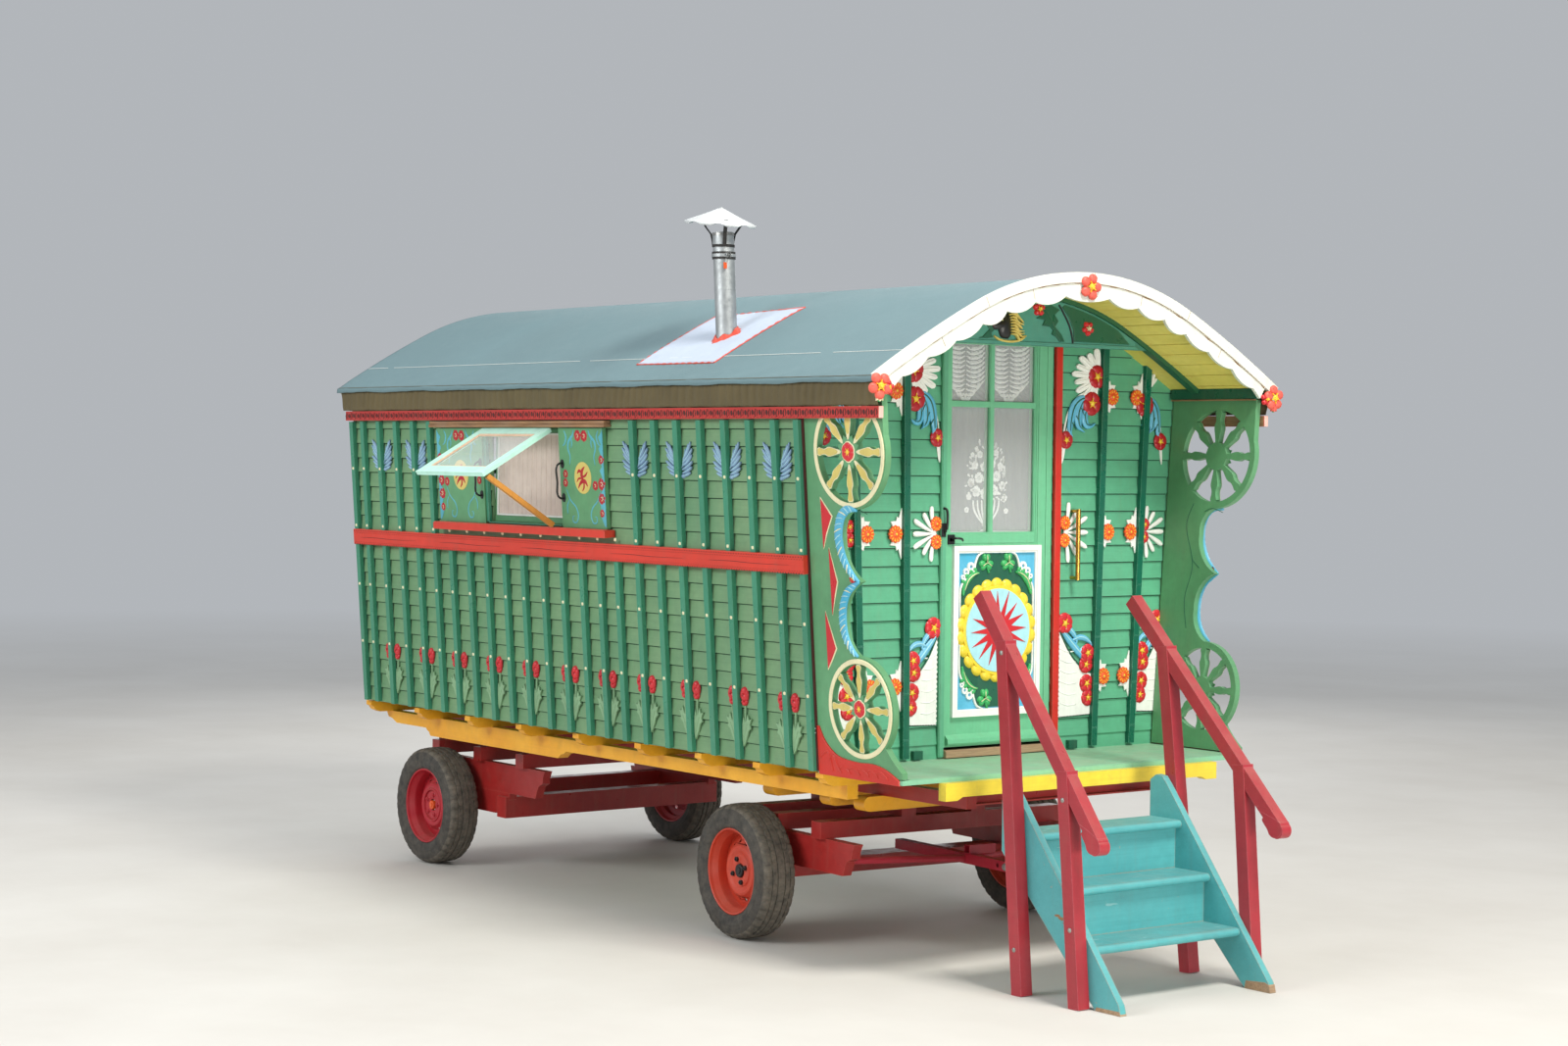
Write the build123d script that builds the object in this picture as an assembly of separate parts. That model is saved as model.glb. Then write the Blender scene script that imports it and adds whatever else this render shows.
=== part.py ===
# Bow-topped living wagon (vardo) on four road wheels, with a front porch,
# carved brackets, a glazed door, propped-open side windows, a stove chimney
# and a flight of wooden steps with handrails.  Millimetres, +Z up, +X to the
# door end, ground at Z = 0, origin at the middle of the whole footprint.
from build123d import *
import os
from math import atan, asin, sin, cos, pi, degrees

os.makedirs("parts", exist_ok=True)

# ------------------------------------------------------------------ sizes
# stations are measured along X from the outer face of the front wall
SHIFT_X = 1294.0          # moves the front wall so that the footprint is centred
ZF = 880.0                # bottom edge of the side boards above the ground
CAB_REAR = -4030.0        # outer face of the rear wall
PORCH_X = 575.0           # front edge of the porch floor
HALF_FLOOR = 1020.0       # half width of the cabin at the floor
HALF_EAVE = 1130.0        # half width of the cabin under the crown board
WALL_RISE = 1515.0        # height between those two
WALL_T = 24.0             # side board thickness
END_T = 32.0              # end wall thickness
FLOOR_T = 22.0
RIDGE_R = 1410.0          # outer radius of the canvas over the ridge
RIDGE_ZC = 740.0          # centre of that arc above the board edge
FLANK_R = 5980.0          # radius of the flatter arcs on both flanks
FLANK_A = atan(0.5)       # where they meet, angle from the ridge
CANVAS_T = 4.0
EAVE_T = 14.0             # boards under the canvas at the eaves
BOARD_T = 42.0            # boards, rafters and ceiling together, above the room
ROOF_REAR = -4098.0
ROOF_HALF = 1188.0        # half width of the roof at the eaves
BELT = (845.0, 927.0)     # belt rail above the board edge
CROWN = (1513.0, 1563.0)  # crown board above the board edge

WHEEL_R = 312.0
TYRE_W = 185.0
RIM_R = 200.0
WHEEL_Y = 808.0           # tyre centre plane
REAR_AXLE_X = -3635.0
KING_X = -756.0           # king pin of the front turntable
BOGIE_TURN = -4.0         # the bogie stands turned a little to the right

DOOR = (-313.0, 332.0)    # doorway edges across the wagon
DOOR_Z = (48.0, 1925.0)
DOOR_T = 40.0
HINGE = (-44.0, 334.0)    # door hinge axis, x and y: the door opens inwards

WIN = (-2612.0, -1938.0)  # side window opening along X
WIN_Z = (1003.0, 1472.0)
SASH_LEN = 440.0
SASH_DROP = 30.0          # sash stands this far below the level, degrees

FLARE = atan((HALF_EAVE - HALF_FLOOR) / WALL_RISE)
FLARE_DEG = degrees(FLARE)


# ------------------------------------------------------------- primitives
def box(x0, x1, y0, y1, z0, z1):
    return Pos((x0 + x1) / 2, (y0 + y1) / 2, (z0 + z1) / 2) * Box(abs(x1 - x0), abs(y1 - y0), abs(z1 - z0))


def prism_x(pts, x0, x1):
    """polygon given as (y, z) points, pulled along X"""
    f = make_face(Polyline(*[(0, y, z) for y, z in pts], close=True))
    return Pos(x0, 0, 0) * extrude(f, amount=x1 - x0, dir=(1, 0, 0))


def prism_y(pts, y0, y1):
    """polygon given as (x, z) points, pulled along Y"""
    f = make_face(Polyline(*[(x, 0, z) for x, z in pts], close=True))
    return Pos(0, y0, 0) * extrude(f, amount=y1 - y0, dir=(0, 1, 0))


def prism_z(pts, z0, z1):
    """polygon given as (x, y) points, pulled along Z"""
    f = make_face(Polyline(*[(x, y, 0) for x, y in pts], close=True))
    return Pos(0, 0, z0) * extrude(f, amount=z1 - z0, dir=(0, 0, 1))


def cyl(p, q, r):
    """round bar from p to q"""
    a, b = Vector(*p), Vector(*q)
    d = b - a
    pl = Plane(origin=a, z_dir=d)
    return pl * Pos(0, 0, d.length / 2) * Cylinder(r, d.length)


def bar(p, q, w, h, side=(0, 1, 0)):
    """square bar from p to q, w across 'side', h across the rest"""
    a, b = Vector(*p), Vector(*q)
    d = b - a
    pl = Plane(origin=a, x_dir=side, z_dir=d)
    return pl * Pos(0, 0, d.length / 2) * Box(w, h, d.length)


def wall_y(z, inset=0.0):
    """outer half width of the side wall at height z above the board edge"""
    return HALF_FLOOR + (HALF_EAVE - HALF_FLOOR) * z / WALL_RISE - inset


def wall_plane(inset=0.0):
    """plane of the right-hand side wall, u along +X, v up the wall, normal outwards"""
    return Plane(origin=(0, -HALF_FLOOR + inset, ZF), x_dir=(1, 0, 0), z_dir=(0, -cos(FLARE), -sin(FLARE)))


def slab(u0, u1, v0, v1, t0, t1):
    """board on the right-hand wall plane: u along X, v up, from t0 to t1 outwards"""
    return wall_plane() * Pos((u0 + u1) / 2, (v0 + v1) / 2, (t0 + t1) / 2) * Box(u1 - u0, v1 - v0, t1 - t0)


def mirrored(shapes):
    return [s.mirror(Plane.XZ) for s in shapes]


RIDGE_S = RIDGE_R * FLANK_A       # length of the ridge arc, from the middle
FLANK_Y = (RIDGE_R - FLANK_R) * sin(FLANK_A)
FLANK_Z = RIDGE_ZC + (RIDGE_R - FLANK_R) * cos(FLANK_A)


def roof_pt(s, d):
    """point of the roof arc at length s from the ridge and depth d below the canvas face"""
    if abs(s) <= RIDGE_S:
        a = s / RIDGE_R
        return (0, (RIDGE_R - d) * sin(a), ZF + RIDGE_ZC + (RIDGE_R - d) * cos(a))
    a = FLANK_A + (abs(s) - RIDGE_S) / FLANK_R
    y = FLANK_Y + (FLANK_R - d) * sin(a)
    return (0, y if s > 0 else -y, ZF + FLANK_Z + (FLANK_R - d) * cos(a))


def roof_s(half):
    """length from the ridge to where the canvas face has this half width"""
    return RIDGE_S + FLANK_R * (asin((half - FLANK_Y) / FLANK_R) - FLANK_A)


def roof_arcs(d, s):
    k = RIDGE_S
    return [ThreePointArc(roof_pt(-s, d), roof_pt(-(s + k) / 2, d), roof_pt(-k, d)),
            ThreePointArc(roof_pt(-k, d), roof_pt(0, d), roof_pt(k, d)),
            ThreePointArc(roof_pt(k, d), roof_pt((s + k) / 2, d), roof_pt(s, d))]


def arch_ring(d0, d1, x0, x1, half):
    """piece of the roof arc between two depths, cut square to the arc at a half width"""
    s = roof_s(half)
    f = make_face(roof_arcs(d0, s) + [Line(roof_pt(s, d0), roof_pt(s, d1)), Line(roof_pt(-s, d1), roof_pt(-s, d0))]
                  + roof_arcs(d1, s))
    return Pos(x0, 0, 0) * extrude(f, amount=x1 - x0, dir=(1, 0, 0))


def under_roof(d, x0, x1):
    """everything below the roof arc at depth d"""
    s = roof_s(1300)
    a, b = roof_pt(-s, d), roof_pt(s, d)
    f = make_face(roof_arcs(d, s) + [Line(b, (0, b[1], ZF - 400)), Line((0, b[1], ZF - 400), (0, a[1], ZF - 400)),
                                     Line((0, a[1], ZF - 400), a)])
    return Pos(x0, 0, 0) * extrude(f, amount=x1 - x0, dir=(1, 0, 0))


def solids_of(shape):
    if isinstance(shape, (list, tuple, ShapeList)):
        out = []
        for s in shape:
            out += solids_of(s)
        return out
    return list(shape.solids())


NODES = {}


def node(name, shapes):
    sol = solids_of(shapes)
    place = Location((SHIFT_X, 0, 0))
    NODES[name] = [s.moved(place) for s in sol]


# ------------------------------------------------------------------ floor
# joists: station along X; the ends are cut to an ogee below the floor edge
JOISTS = (-4030, -3500, -2975, -2470, -1940, -1400, -905, -455, 5)
JOIST_W = 52.0
JOIST_H = 62.0


def joist(x):
    z1 = ZF - FLOOR_T
    z0 = z1 - JOIST_H
    h = HALF_FLOOR - 4
    pts = [(-h, z1), (h, z1), (h, z1 - 24), (h - 14, z1 - 30), (h - 26, z1 - 48), (h - 58, z0),
           (-(h - 58), z0), (-(h - 26), z1 - 48), (-(h - 14), z1 - 30), (-h, z1 - 24)]
    return prism_x(pts, x - JOIST_W / 2, x + JOIST_W / 2)


node("floor_joists", [joist(x) for x in JOISTS])

# long sills under the joists, doubled over the rear axle, ogee ends
SILL_Y = 850.0
SILL_W = 60.0
z_j = ZF - FLOOR_T - JOIST_H
sill_pts = [(-4075, z_j), (30, z_j), (30, z_j - 62), (-3960, z_j - 62), (-4010, z_j - 40), (-4050, z_j - 34)]
dbl_pts = [(-3640, z_j - 62), (-2240, z_j - 62), (-2255, z_j - 74), (-2285, z_j - 82), (-2312, z_j - 102),
           (-3590, z_j - 102), (-3605, z_j - 82), (-3625, z_j - 74)]
sills = []
for s in (-1, 1):
    y0, y1 = s * SILL_Y - SILL_W / 2, s * SILL_Y + SILL_W / 2
    sills += [prism_y(sill_pts, y0, y1) + prism_y(dbl_pts, y0, y1)]
node("floor_sills", sills)

# the porch deck has a low rebate all round, where the wall and brackets stand
node("floor_boards", box(CAB_REAR + 2, 1, -HALF_FLOOR + WALL_T + 4, HALF_FLOOR - WALL_T - 4, ZF - FLOOR_T, ZF)
     + box(1, PORCH_X, -HALF_FLOOR + 2, HALF_FLOOR - 2, ZF - FLOOR_T, ZF - 2)
     + box(44, PORCH_X - 12, -972, 972, ZF - FLOOR_T, ZF))

# thick footboard under the porch edge, its ends stepped at the bottom
foot_pts = [(-812, ZF - 22), (812, ZF - 22), (812, ZF - 98), (745, ZF - 98), (715, ZF - 84), (690, ZF - 84),
            (-690, ZF - 84), (-715, ZF - 84), (-745, ZF - 98), (-812, ZF - 98)]
foot = prism_x(foot_pts, PORCH_X - 10, PORCH_X + 36)
node("porch_footboard", foot)

# three bolsters with round ends over the turntable
BOLSTERS = (-703.0, -277.0, -34.0)
Z_B1 = z_j - 62
Z_B0 = ZF - 212.0
bol = []
for x in BOLSTERS:
    b = box(x - 38, x + 38, -730, 730, Z_B0, Z_B1)
    ends = [Pos(x, s * 730, (Z_B0 + Z_B1) / 2) * Rot(0, 90, 0) * Cylinder((Z_B1 - Z_B0) / 2, 76) for s in (-1, 1)]
    bol.append(b + ends[0] + ends[1])
node("front_bolsters", bol)

# painted long rails below the joists: front pair under the porch, and a steel
# channel across their front ends that the steps hang on
rails = []
for s in (-1, 1):
    rails.append(box(-4000, 566, s * 628 - 28, s * 628 + 28, z_j - 62, z_j))
ch = box(508, 562, -598, 598, z_j - 50, z_j) - box(516, 580, -610, 610, z_j - 44, z_j - 6)
node("chassis_rails", rails + [ch])

# ------------------------------------------------------------------ walls
side_outline = [(-(HALF_FLOOR + (HALF_EAVE - HALF_FLOOR) * z / WALL_RISE) + dy, ZF + z)
                for z, dy in ((-18, 0), (1680, 0), (1680, WALL_T), (-18, WALL_T))]
side_r = prism_x(side_outline, CAB_REAR, 0)
side_r = side_r - box(WIN[0], WIN[1], -1300, -900, ZF + WIN_Z[0], ZF + WIN_Z[1])
node("side_wall_right", side_r)
node("side_wall_left", mirrored([side_r]))

# end walls fill the arch between the side walls
IN_D = CANVAS_T + BOARD_T + 1


def end_wall(x0, x1):
    pts = [(-wall_y(0, WALL_T + 1), ZF), (wall_y(0, WALL_T + 1), ZF),
           (wall_y(1620, WALL_T + 1), ZF + 1620), (wall_y(1620, WALL_T + 1), ZF + 2300),
           (-wall_y(1620, WALL_T + 1), ZF + 2300), (-wall_y(1620, WALL_T + 1), ZF + 1620)]
    return prism_x(pts, x0, x1) & under_roof(IN_D, x0 - 5, x1 + 5)


front = end_wall(-END_T, 0) - box(-100, 100, DOOR[0] - 3, DOOR[1] + 3, ZF - 50, ZF + DOOR_Z[1] + 3)
node("front_wall", front)
REAR_WIN = (250.0, 1040.0, 1440.0)   # half width, bottom, top
rear = end_wall(CAB_REAR, CAB_REAR + END_T) - box(CAB_REAR - 50, CAB_REAR + 100, -REAR_WIN[0], REAR_WIN[0],
                                                    ZF + REAR_WIN[1], ZF + REAR_WIN[2])
node("rear_wall", rear)

# ribs (standards) on the right wall: stations along X
RIBS = (-19, -186, -371, -558, -745, -931, -1112, -1290, -1467, -1620, -1778, -1952, -2129, -2313,
        -2487, -2663, -2835, -3011, -3176, -3349, -3531, -3714, -3891, -4011)
RIB_W = 36.0
RIB_T = 24.0
SHUT_SPAN = (-3142.0, -1492.0)
ribs = []
for x in RIBS:
    ribs.append(slab(x - RIB_W / 2, x + RIB_W / 2, -14, BELT[0] - 1, 0, RIB_T))
    if not (SHUT_SPAN[0] < x < SHUT_SPAN[1] + 30):
        ribs.append(slab(x - RIB_W / 2, x + RIB_W / 2, BELT[1] + 1, CROWN[0] - 1, 0, RIB_T))
node("side_ribs_right", ribs)
node("side_ribs_left", mirrored(ribs))

# ribs on the end walls: y at the foot, y at the head, foot and head heights
FRONT_RIBS = ((-542, -562, 10, 2000), (-792, -871, 10, 2000), (602, 653, 10, 2000), (843, 937, 10, 2000))
REAR_RIBS = ((-880, -968, 0, 1999), (-590, -655, 0, 1999), (-310, -330, 0, 998), (0, 0, 0, 998),
             (310, 330, 0, 998), (590, 655, 0, 1999), (880, 968, 0, 1999), (-318, -345, 1482, 2200),
             (0, 0, 1482, 2200), (318, 345, 1482, 2200))


def end_rib(x0, x1, yb, yt, z0, z1, w=36.0):
    return prism_x([(yb - w / 2, ZF + z0), (yb + w / 2, ZF + z0), (yt + w / 2, ZF + z1), (yt - w / 2, ZF + z1)], x0, x1)


below = under_roof(IN_D, -5000, 1000)
er = [end_rib(0, 24, *r) & below for r in FRONT_RIBS]
for r in REAR_RIBS:
    if r[2] > BELT[1]:
        er.append(end_rib(CAB_REAR - 24, CAB_REAR, *r) & below)
        continue
    f = (BELT[0] - 1 - r[2]) / (r[3] - r[2])
    g = (BELT[1] + 1 - r[2]) / (r[3] - r[2])
    er.append(end_rib(CAB_REAR - 24, CAB_REAR, r[0], r[0] + (r[1] - r[0]) * f, r[2], BELT[0] - 1))
    er.append(end_rib(CAB_REAR - 24, CAB_REAR, r[0] + (r[1] - r[0]) * g, r[1], BELT[1] + 1, r[3]) & below)
node("end_ribs", er)

# belt rails: right, left and rear
belt_r = slab(CAB_REAR - 2, 2, BELT[0], BELT[1], 0, 32)
belt_b = prism_x([(-wall_y(BELT[0]), ZF + BELT[0]), (wall_y(BELT[0]), ZF + BELT[0]),
                  (wall_y(BELT[1]), ZF + BELT[1]), (-wall_y(BELT[1]), ZF + BELT[1])], CAB_REAR - 32, CAB_REAR - 3)
node("belt_rails", [belt_r] + mirrored([belt_r]) + [belt_b])

# crown boards run along both eaves and on past the porch
crown_r = box(-4045, 563, -1164, -1140, ZF + CROWN[0], ZF + CROWN[1])
crown_r = crown_r + box(-4030, 0, -1142, -1134, ZF + CROWN[0] + 4, ZF + CROWN[1])
node("crown_boards", [crown_r] + mirrored([crown_r]))

# ------------------------------------------------------------------- roof
CEIL_D = CANVAS_T + BOARD_T
BOW_T = 24.0
node("roof_boards", arch_ring(CANVAS_T, CANVAS_T + EAVE_T, ROOF_REAR + 21, 560, ROOF_HALF - 3)
     + arch_ring(CANVAS_T + EAVE_T, CEIL_D, ROOF_REAR + 21, 560, 1122))
node("roof_canvas", arch_ring(0, CANVAS_T, ROOF_REAR, 560, ROOF_HALF))
TYM_X = 172.0             # the last bow frames the board over the door
BOWS = (-3300, -2500, -1700, -900, TYM_X)
bows = []
for x in BOWS:
    bows.append(arch_ring(CEIL_D, CEIL_D + BOW_T, x - 22, x + 22, 1118))
node("roof_bows", bows)

# cloth skirt below the canvas edge on each side
skirt = prism_x([(-1187, ZF + 1660), (-1176, ZF + 1660), (-1158, ZF + 1566), (-1169, ZF + 1566)],
                ROOF_REAR + 21, 556)
node("canvas_skirts", [skirt] + mirrored([skirt]))

# front fascia: a plain band with a scalloped board below it
FAS_D = (-20.0, 26.0)     # depth of the band's two edges
FAS_HALF = 1196.0
# points between the scallops: length from the ridge, depth, and depth of the lobe on its inner side
CUSPS = ((140, 83, 110), (332, 86, 110), (512, 81, 110), (669, 80, 110), (838, 80, 100), (1013, 68, 92), (1178, 70, 88))
FAS_END = 1240.0


def on_arc(s, d):
    p = roof_pt(s, d)
    return (p[1], p[2])


row = [(-k, d) for k, d, m in reversed(CUSPS)] + [(k, d) for k, d, m in CUSPS]
lobes = [m for k, d, m in reversed(CUSPS)][:-1] + [CUSPS[0][2]] + [m for k, d, m in CUSPS[1:]]
with BuildSketch(Plane.YZ.offset(561)) as fs:
    with BuildLine():
        Line(on_arc(-FAS_END, FAS_D[1]), on_arc(-FAS_END, 84))
        Line(on_arc(-FAS_END, 84), on_arc(*row[0]))
        for (a0, r0), (a1, r1), lb in zip(row[:-1], row[1:], lobes):
            ThreePointArc(on_arc(a0, r0), on_arc((a0 + a1) / 2, lb), on_arc(a1, r1))
        Line(on_arc(*row[-1]), on_arc(FAS_END, 84))
        Line(on_arc(FAS_END, 84), on_arc(FAS_END, FAS_D[1]))
        ThreePointArc(on_arc(FAS_END, FAS_D[1]), on_arc((FAS_END + RIDGE_S) / 2, FAS_D[1]), on_arc(RIDGE_S, FAS_D[1]))
        ThreePointArc(on_arc(RIDGE_S, FAS_D[1]), on_arc(0, FAS_D[1]), on_arc(-RIDGE_S, FAS_D[1]))
        ThreePointArc(on_arc(-RIDGE_S, FAS_D[1]), on_arc(-(FAS_END + RIDGE_S) / 2, FAS_D[1]), on_arc(-FAS_END, FAS_D[1]))
    make_face()
lower = extrude(fs.sketch, amount=16)
band = arch_ring(FAS_D[0], FAS_D[1], 561, 585, FAS_HALF)
node("roof_fascias", [band + lower, arch_ring(CANVAS_T, 86, ROOF_REAR, ROOF_REAR + 20, ROOF_HALF - 3)])

# board over the door, inside the arch of the last bow
TYM_Z = ZF + 1860.0
tym = under_roof(CEIL_D + BOW_T + 0.5, TYM_X - 11, TYM_X + 11) & box(100, 300, -1000, 1000, TYM_Z, ZF + 2400)
node("tympanum", tym)

# --------------------------------------------------------- porch brackets
BR_T = 30.0
W1 = (310.0, 1375.0, 246.0)    # upper fretted wheel: x, height, radius
W2_ = (312.0, 281.0, 222.0)    # lower fretted wheel
with BuildSketch() as bs:
    with BuildLine():
        l1 = Line((10, 2), (10, 1640))
        l2 = Line((10, 1640), (545, 1640))
        l2b = Line((545, 1640), (545, 1447.8))
        l3 = ThreePointArc((545, 1447.8), (556, 1375), (343, 1131))
        l4 = ThreePointArc((343, 1131), (268, 1100), (236, 1010))
        l5 = ThreePointArc((236, 1010), (268, 890), (353, 824))
        l6 = ThreePointArc((353, 824), (262, 760), (232, 650))
        l7 = ThreePointArc((232, 650), (250, 560), (312, 503))
        l8 = ThreePointArc((312, 503), (534, 281), (470, 126))
        l9 = ThreePointArc((470, 126), (520, 70), (572, 28))
        l10 = Line((572, 28), (572, 2))
        l11 = Line((572, 2), (10, 2))
    make_face()
bracket = extrude(bs.sketch, amount=-BR_T)
SPOKES = 8
for (wx, wz, wr) in (W1, W2_):
    hole = Pos(wx, wz, -BR_T / 2) * (Cylinder(wr - 30, BR_T + 20) - Cylinder(48, BR_T + 30))
    for k in range(SPOKES):
        hole = hole - Pos(wx, wz, -BR_T / 2) * Rot(0, 0, 45 * k) * Pos(wr / 2, 0, 0) * Box(wr + 10, 22, BR_T + 40)
    bracket = bracket - hole
bracket_r = wall_plane(2.0) * bracket
node("porch_bracket_right", bracket_r)
node("porch_bracket_left", mirrored([bracket_r]))

# brass grab rail on the front wall
gx = 46.0
grab = cyl((gx, 460, ZF + 790), (gx, 460, ZF + 1120), 11)
for z in (800, 1110):
    grab = grab + cyl((0, 460, ZF + z), (gx, 460, ZF + z), 8)
node("grab_rail", grab)

# ------------------------------------------------------------------- door
DX = (-DOOR_T + 2, 2.0)
dl = (DOOR[0] + 4, DOOR[1] - 3)
leaf = box(DX[0], DX[1], dl[0], dl[1], ZF + DOOR_Z[0], ZF + DOOR_Z[1] - 4)
# panes: y0, y1, z0, z1 above the board edge
PANES = ((-284, -53, 1606, 1868), (-31, 220, 1606, 1868), (-284, -53, 1013, 1584), (-31, 220, 1013, 1584))
for y0, y1, z0, z1 in PANES:
    leaf = leaf - box(-80, 60, y0, y1, ZF + z0, ZF + z1)
node("door_leaf", leaf)
node("door_glass", [box(-20, -16, y0, y1, ZF + z0, ZF + z1) for y0, y1, z0, z1 in PANES])
node("door_curtains", [box(-52, -40, -290, 226, ZF + 1600, ZF + 1876), box(-52, -40, -290, 226, ZF + 1008, ZF + 1592)])
pan = box(DX[1], DX[1] + 10, -272, 256, ZF + 182, ZF + 955)
ov = Pos(DX[1] + 8, -10, ZF + 570) * Rot(0, 90, 0) * extrude(Ellipse(236, 238), amount=10)
node("door_panel", pan + ov)
latch = box(DX[1], DX[1] + 6, -300, -262, ZF + 962, ZF + 1006) + box(DX[1] + 6, DX[1] + 20, -290, -276, ZF + 976, ZF + 990)
hinges = []
for z in (300, 960, 1600):
    hinges.append(Pos(HINGE[0], HINGE[1], ZF + z) * Cylinder(5.0, 90)
                  + box(HINGE[0], DX[0] - 0.05, 262, HINGE[1], ZF + z - 14, ZF + z + 14))
node("door_fittings", [latch] + hinges)
frame = box(0, 14, DOOR[0] - 34, DOOR[0] - 4, ZF + 6, ZF + DOOR_Z[1] + 3)
red = box(0, 20, DOOR[1] + 4, DOOR[1] + 42, ZF + 6, ZF + DOOR_Z[1] + 3)
sill = box(-END_T, 30, DOOR[0] - 3, DOOR[1] + 3, ZF + 1, ZF + 40)
node("door_frame", [frame, red, sill])

# ---------------------------------------------------------------- windows
head = slab(-3137, -1487, 1482, 1512, 0, 42)
ledge = slab(-3108, -1498, 957, 992, 0, 62)
jl = slab(WIN[0] - 24, WIN[0] - 2, 1003, 1472, 0, 18)
jr = slab(WIN[1] + 2, WIN[1] + 16, 1003, 1472, 0, 12)
trims = [head, ledge, jl, jr] + mirrored([head, ledge, jl, jr])
sh_l = slab(-3087, WIN[0] - 26, 996, 1478, 2, 24)
sh_r = slab(WIN[1] + 21, -1530, 996, 1478, 2, 24)
node("sliding_shutters", [sh_l, sh_r] + mirrored([sh_l, sh_r]))
# inner boarded shutter with its frame, set back in the opening
inner = box(WIN[0] + 2, WIN[1] - 2, -1078, -1060, ZF + WIN_Z[0] + 2, ZF + WIN_Z[1] - 2)
node("inner_shutters", [inner] + mirrored([inner]))

# top-hung sash, propped open
ang = SASH_DROP
hy, hz = -(HALF_EAVE + 28.0), ZF + 1463.0
sash_loc = Location((0, hy, hz), (ang, 0, 0))
sx0, sx1 = -2607.0, -1968.0
SASH_T = 10.0            # half thickness
STILE = 55.0


def on_sash(u0, u1, v0, v1, t0, t1):
    """u along X, v out from the hinge, t above the sash face"""
    return sash_loc * box(u0, u1, -v1, -v0, t0, t1)


sash = on_sash(sx0, sx1, 0, SASH_LEN, -SASH_T, SASH_T) - on_sash(sx0 + STILE, sx1 - STILE, STILE, SASH_LEN - 60, -30, 30)
node("window_sashes", [sash] + mirrored([sash]))
pane = on_sash(sx0 + STILE, sx1 - STILE, STILE, SASH_LEN - 60, -2, 2)
ptop = (sash_loc * Pos(0, -(SASH_LEN - 34), -SASH_T - 2)).position
prop = bar((-1956, -1150, ZF + 1000), (-1990, ptop.Y, ptop.Z - 12), 24, 24, side=(1, 0, 0))
node("sash_props", [prop] + mirrored([prop]))

# rear window: frame, glass
rw = box(CAB_REAR - 26, CAB_REAR, -REAR_WIN[0] - 40, REAR_WIN[0] + 40, ZF + REAR_WIN[1] - 40, ZF + REAR_WIN[2] + 40) \
    - box(CAB_REAR - 60, CAB_REAR + 10, -REAR_WIN[0], REAR_WIN[0], ZF + REAR_WIN[1], ZF + REAR_WIN[2])
node("window_trims", trims + [rw])
node("window_glass", [pane] + mirrored([pane]) + [box(CAB_REAR + 12, CAB_REAR + 16, -REAR_WIN[0], REAR_WIN[0], ZF + REAR_WIN[1], ZF + REAR_WIN[2])])

# ---------------------------------------------------------------- chimney
CH_Y, CH_R = -820.0, 50.0
CH_LEAN = -31.0 / 389.0       # the pipe leans back along the wagon
CH_TOP = 2385.0               # heights above the board edge
CH_FOOT = 1902.0


def ch_at(z):
    """middle of the pipe at a height above the board edge"""
    return (-992.0 + CH_LEAN * (z - 1963.0), CH_Y, ZF + z)


outside = box(-5000, 2000, -2000, 2000, 0, 5000) - under_roof(-0.2, -4500, 1500)
pipe = cyl(ch_at(CH_FOOT - 70), ch_at(CH_TOP), CH_R) - cyl(ch_at(CH_FOOT - 100), ch_at(CH_TOP + 30), CH_R - 3)
node("chimney_pipe", pipe & outside)
patch = arch_ring(-2.2, -0.2, -1400, -715, 1200) & prism_z(
    [(-1380, -1053), (-752, -1056), (-732, -556), (-1362, -616)], 0, 5000)
collar = cyl(ch_at(CH_FOOT - 40), ch_at(CH_FOOT + 40), CH_R + 22)
collar = collar & arch_ring(-20, -1, -1200, -800, 1200)
hole = cyl(ch_at(CH_FOOT - 150), ch_at(CH_FOOT + 150), CH_R + 0.2)
node("chimney_flashing", (patch + collar) - hole)
CAP_AT = (-1048.0, CH_Y, ZF + 2433.0)
CAP_R = 169.0
cap_plane = Plane(origin=CAP_AT, x_dir=(68, 0, -8), z_dir=(8, 0, 68))
cap = cap_plane * Pos(0, 0, 34) * (Cone(CAP_R, 14, 68) - Pos(0, 0, -3) * Cone(CAP_R - 4, 10, 68))
cap_all = cap
foot_c = ch_at(CH_TOP - 50)
for k in range(3):
    a = (90 + 120 * k) * pi / 180
    c, s = cos(a), sin(a)
    cap_all = cap_all + bar((foot_c[0] + c * 54, CH_Y + s * 54, foot_c[2]),
                            (CAP_AT[0] + 5 + c * 66, CH_Y + s * 66, CAP_AT[2] + 43), 16, 3, side=(-s, c, 0))
node("chimney_cap", cap_all)

# ---------------------------------------------------------- rear running gear
Z_T1, Z_T0 = ZF - 238.0, ZF - 312.0          # cross timbers, top and bottom
Z_L1, Z_L0 = ZF - 312.0, ZF - 462.0          # long boards
AX_Z = WHEEL_R            # axle height


def long_board(x0, x1, y, t=46.0):
    pts = [(x0, Z_L1), (x1, Z_L1), (x1 - 18, Z_L1 - 34), (x1 - 22, Z_L1 - 66), (x1 - 62, Z_L1 - 84), (x1 - 92, Z_L0),
           (x0 + 92, Z_L0), (x0 + 62, Z_L1 - 84), (x0 + 22, Z_L1 - 66), (x0 + 18, Z_L1 - 34)]
    return prism_y(pts, y - t / 2, y + t / 2)


# cross timbers, packed down from the painted rails by blocks
rear_fr = long_board(REAR_AXLE_X - 300, -2760, -650) + long_board(REAR_AXLE_X - 300, -2760, 650)
for x in (-3840, -3400, -2970):
    rear_fr = rear_fr + box(x - 38, x + 38, -700, 700, Z_T0, Z_T1)
    for s in (-1, 1):
        rear_fr = rear_fr + box(x - 38, x + 38, s * 628 - 30, s * 628 + 30, Z_T1, z_j - 62)
node("rear_frame", rear_fr)
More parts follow.
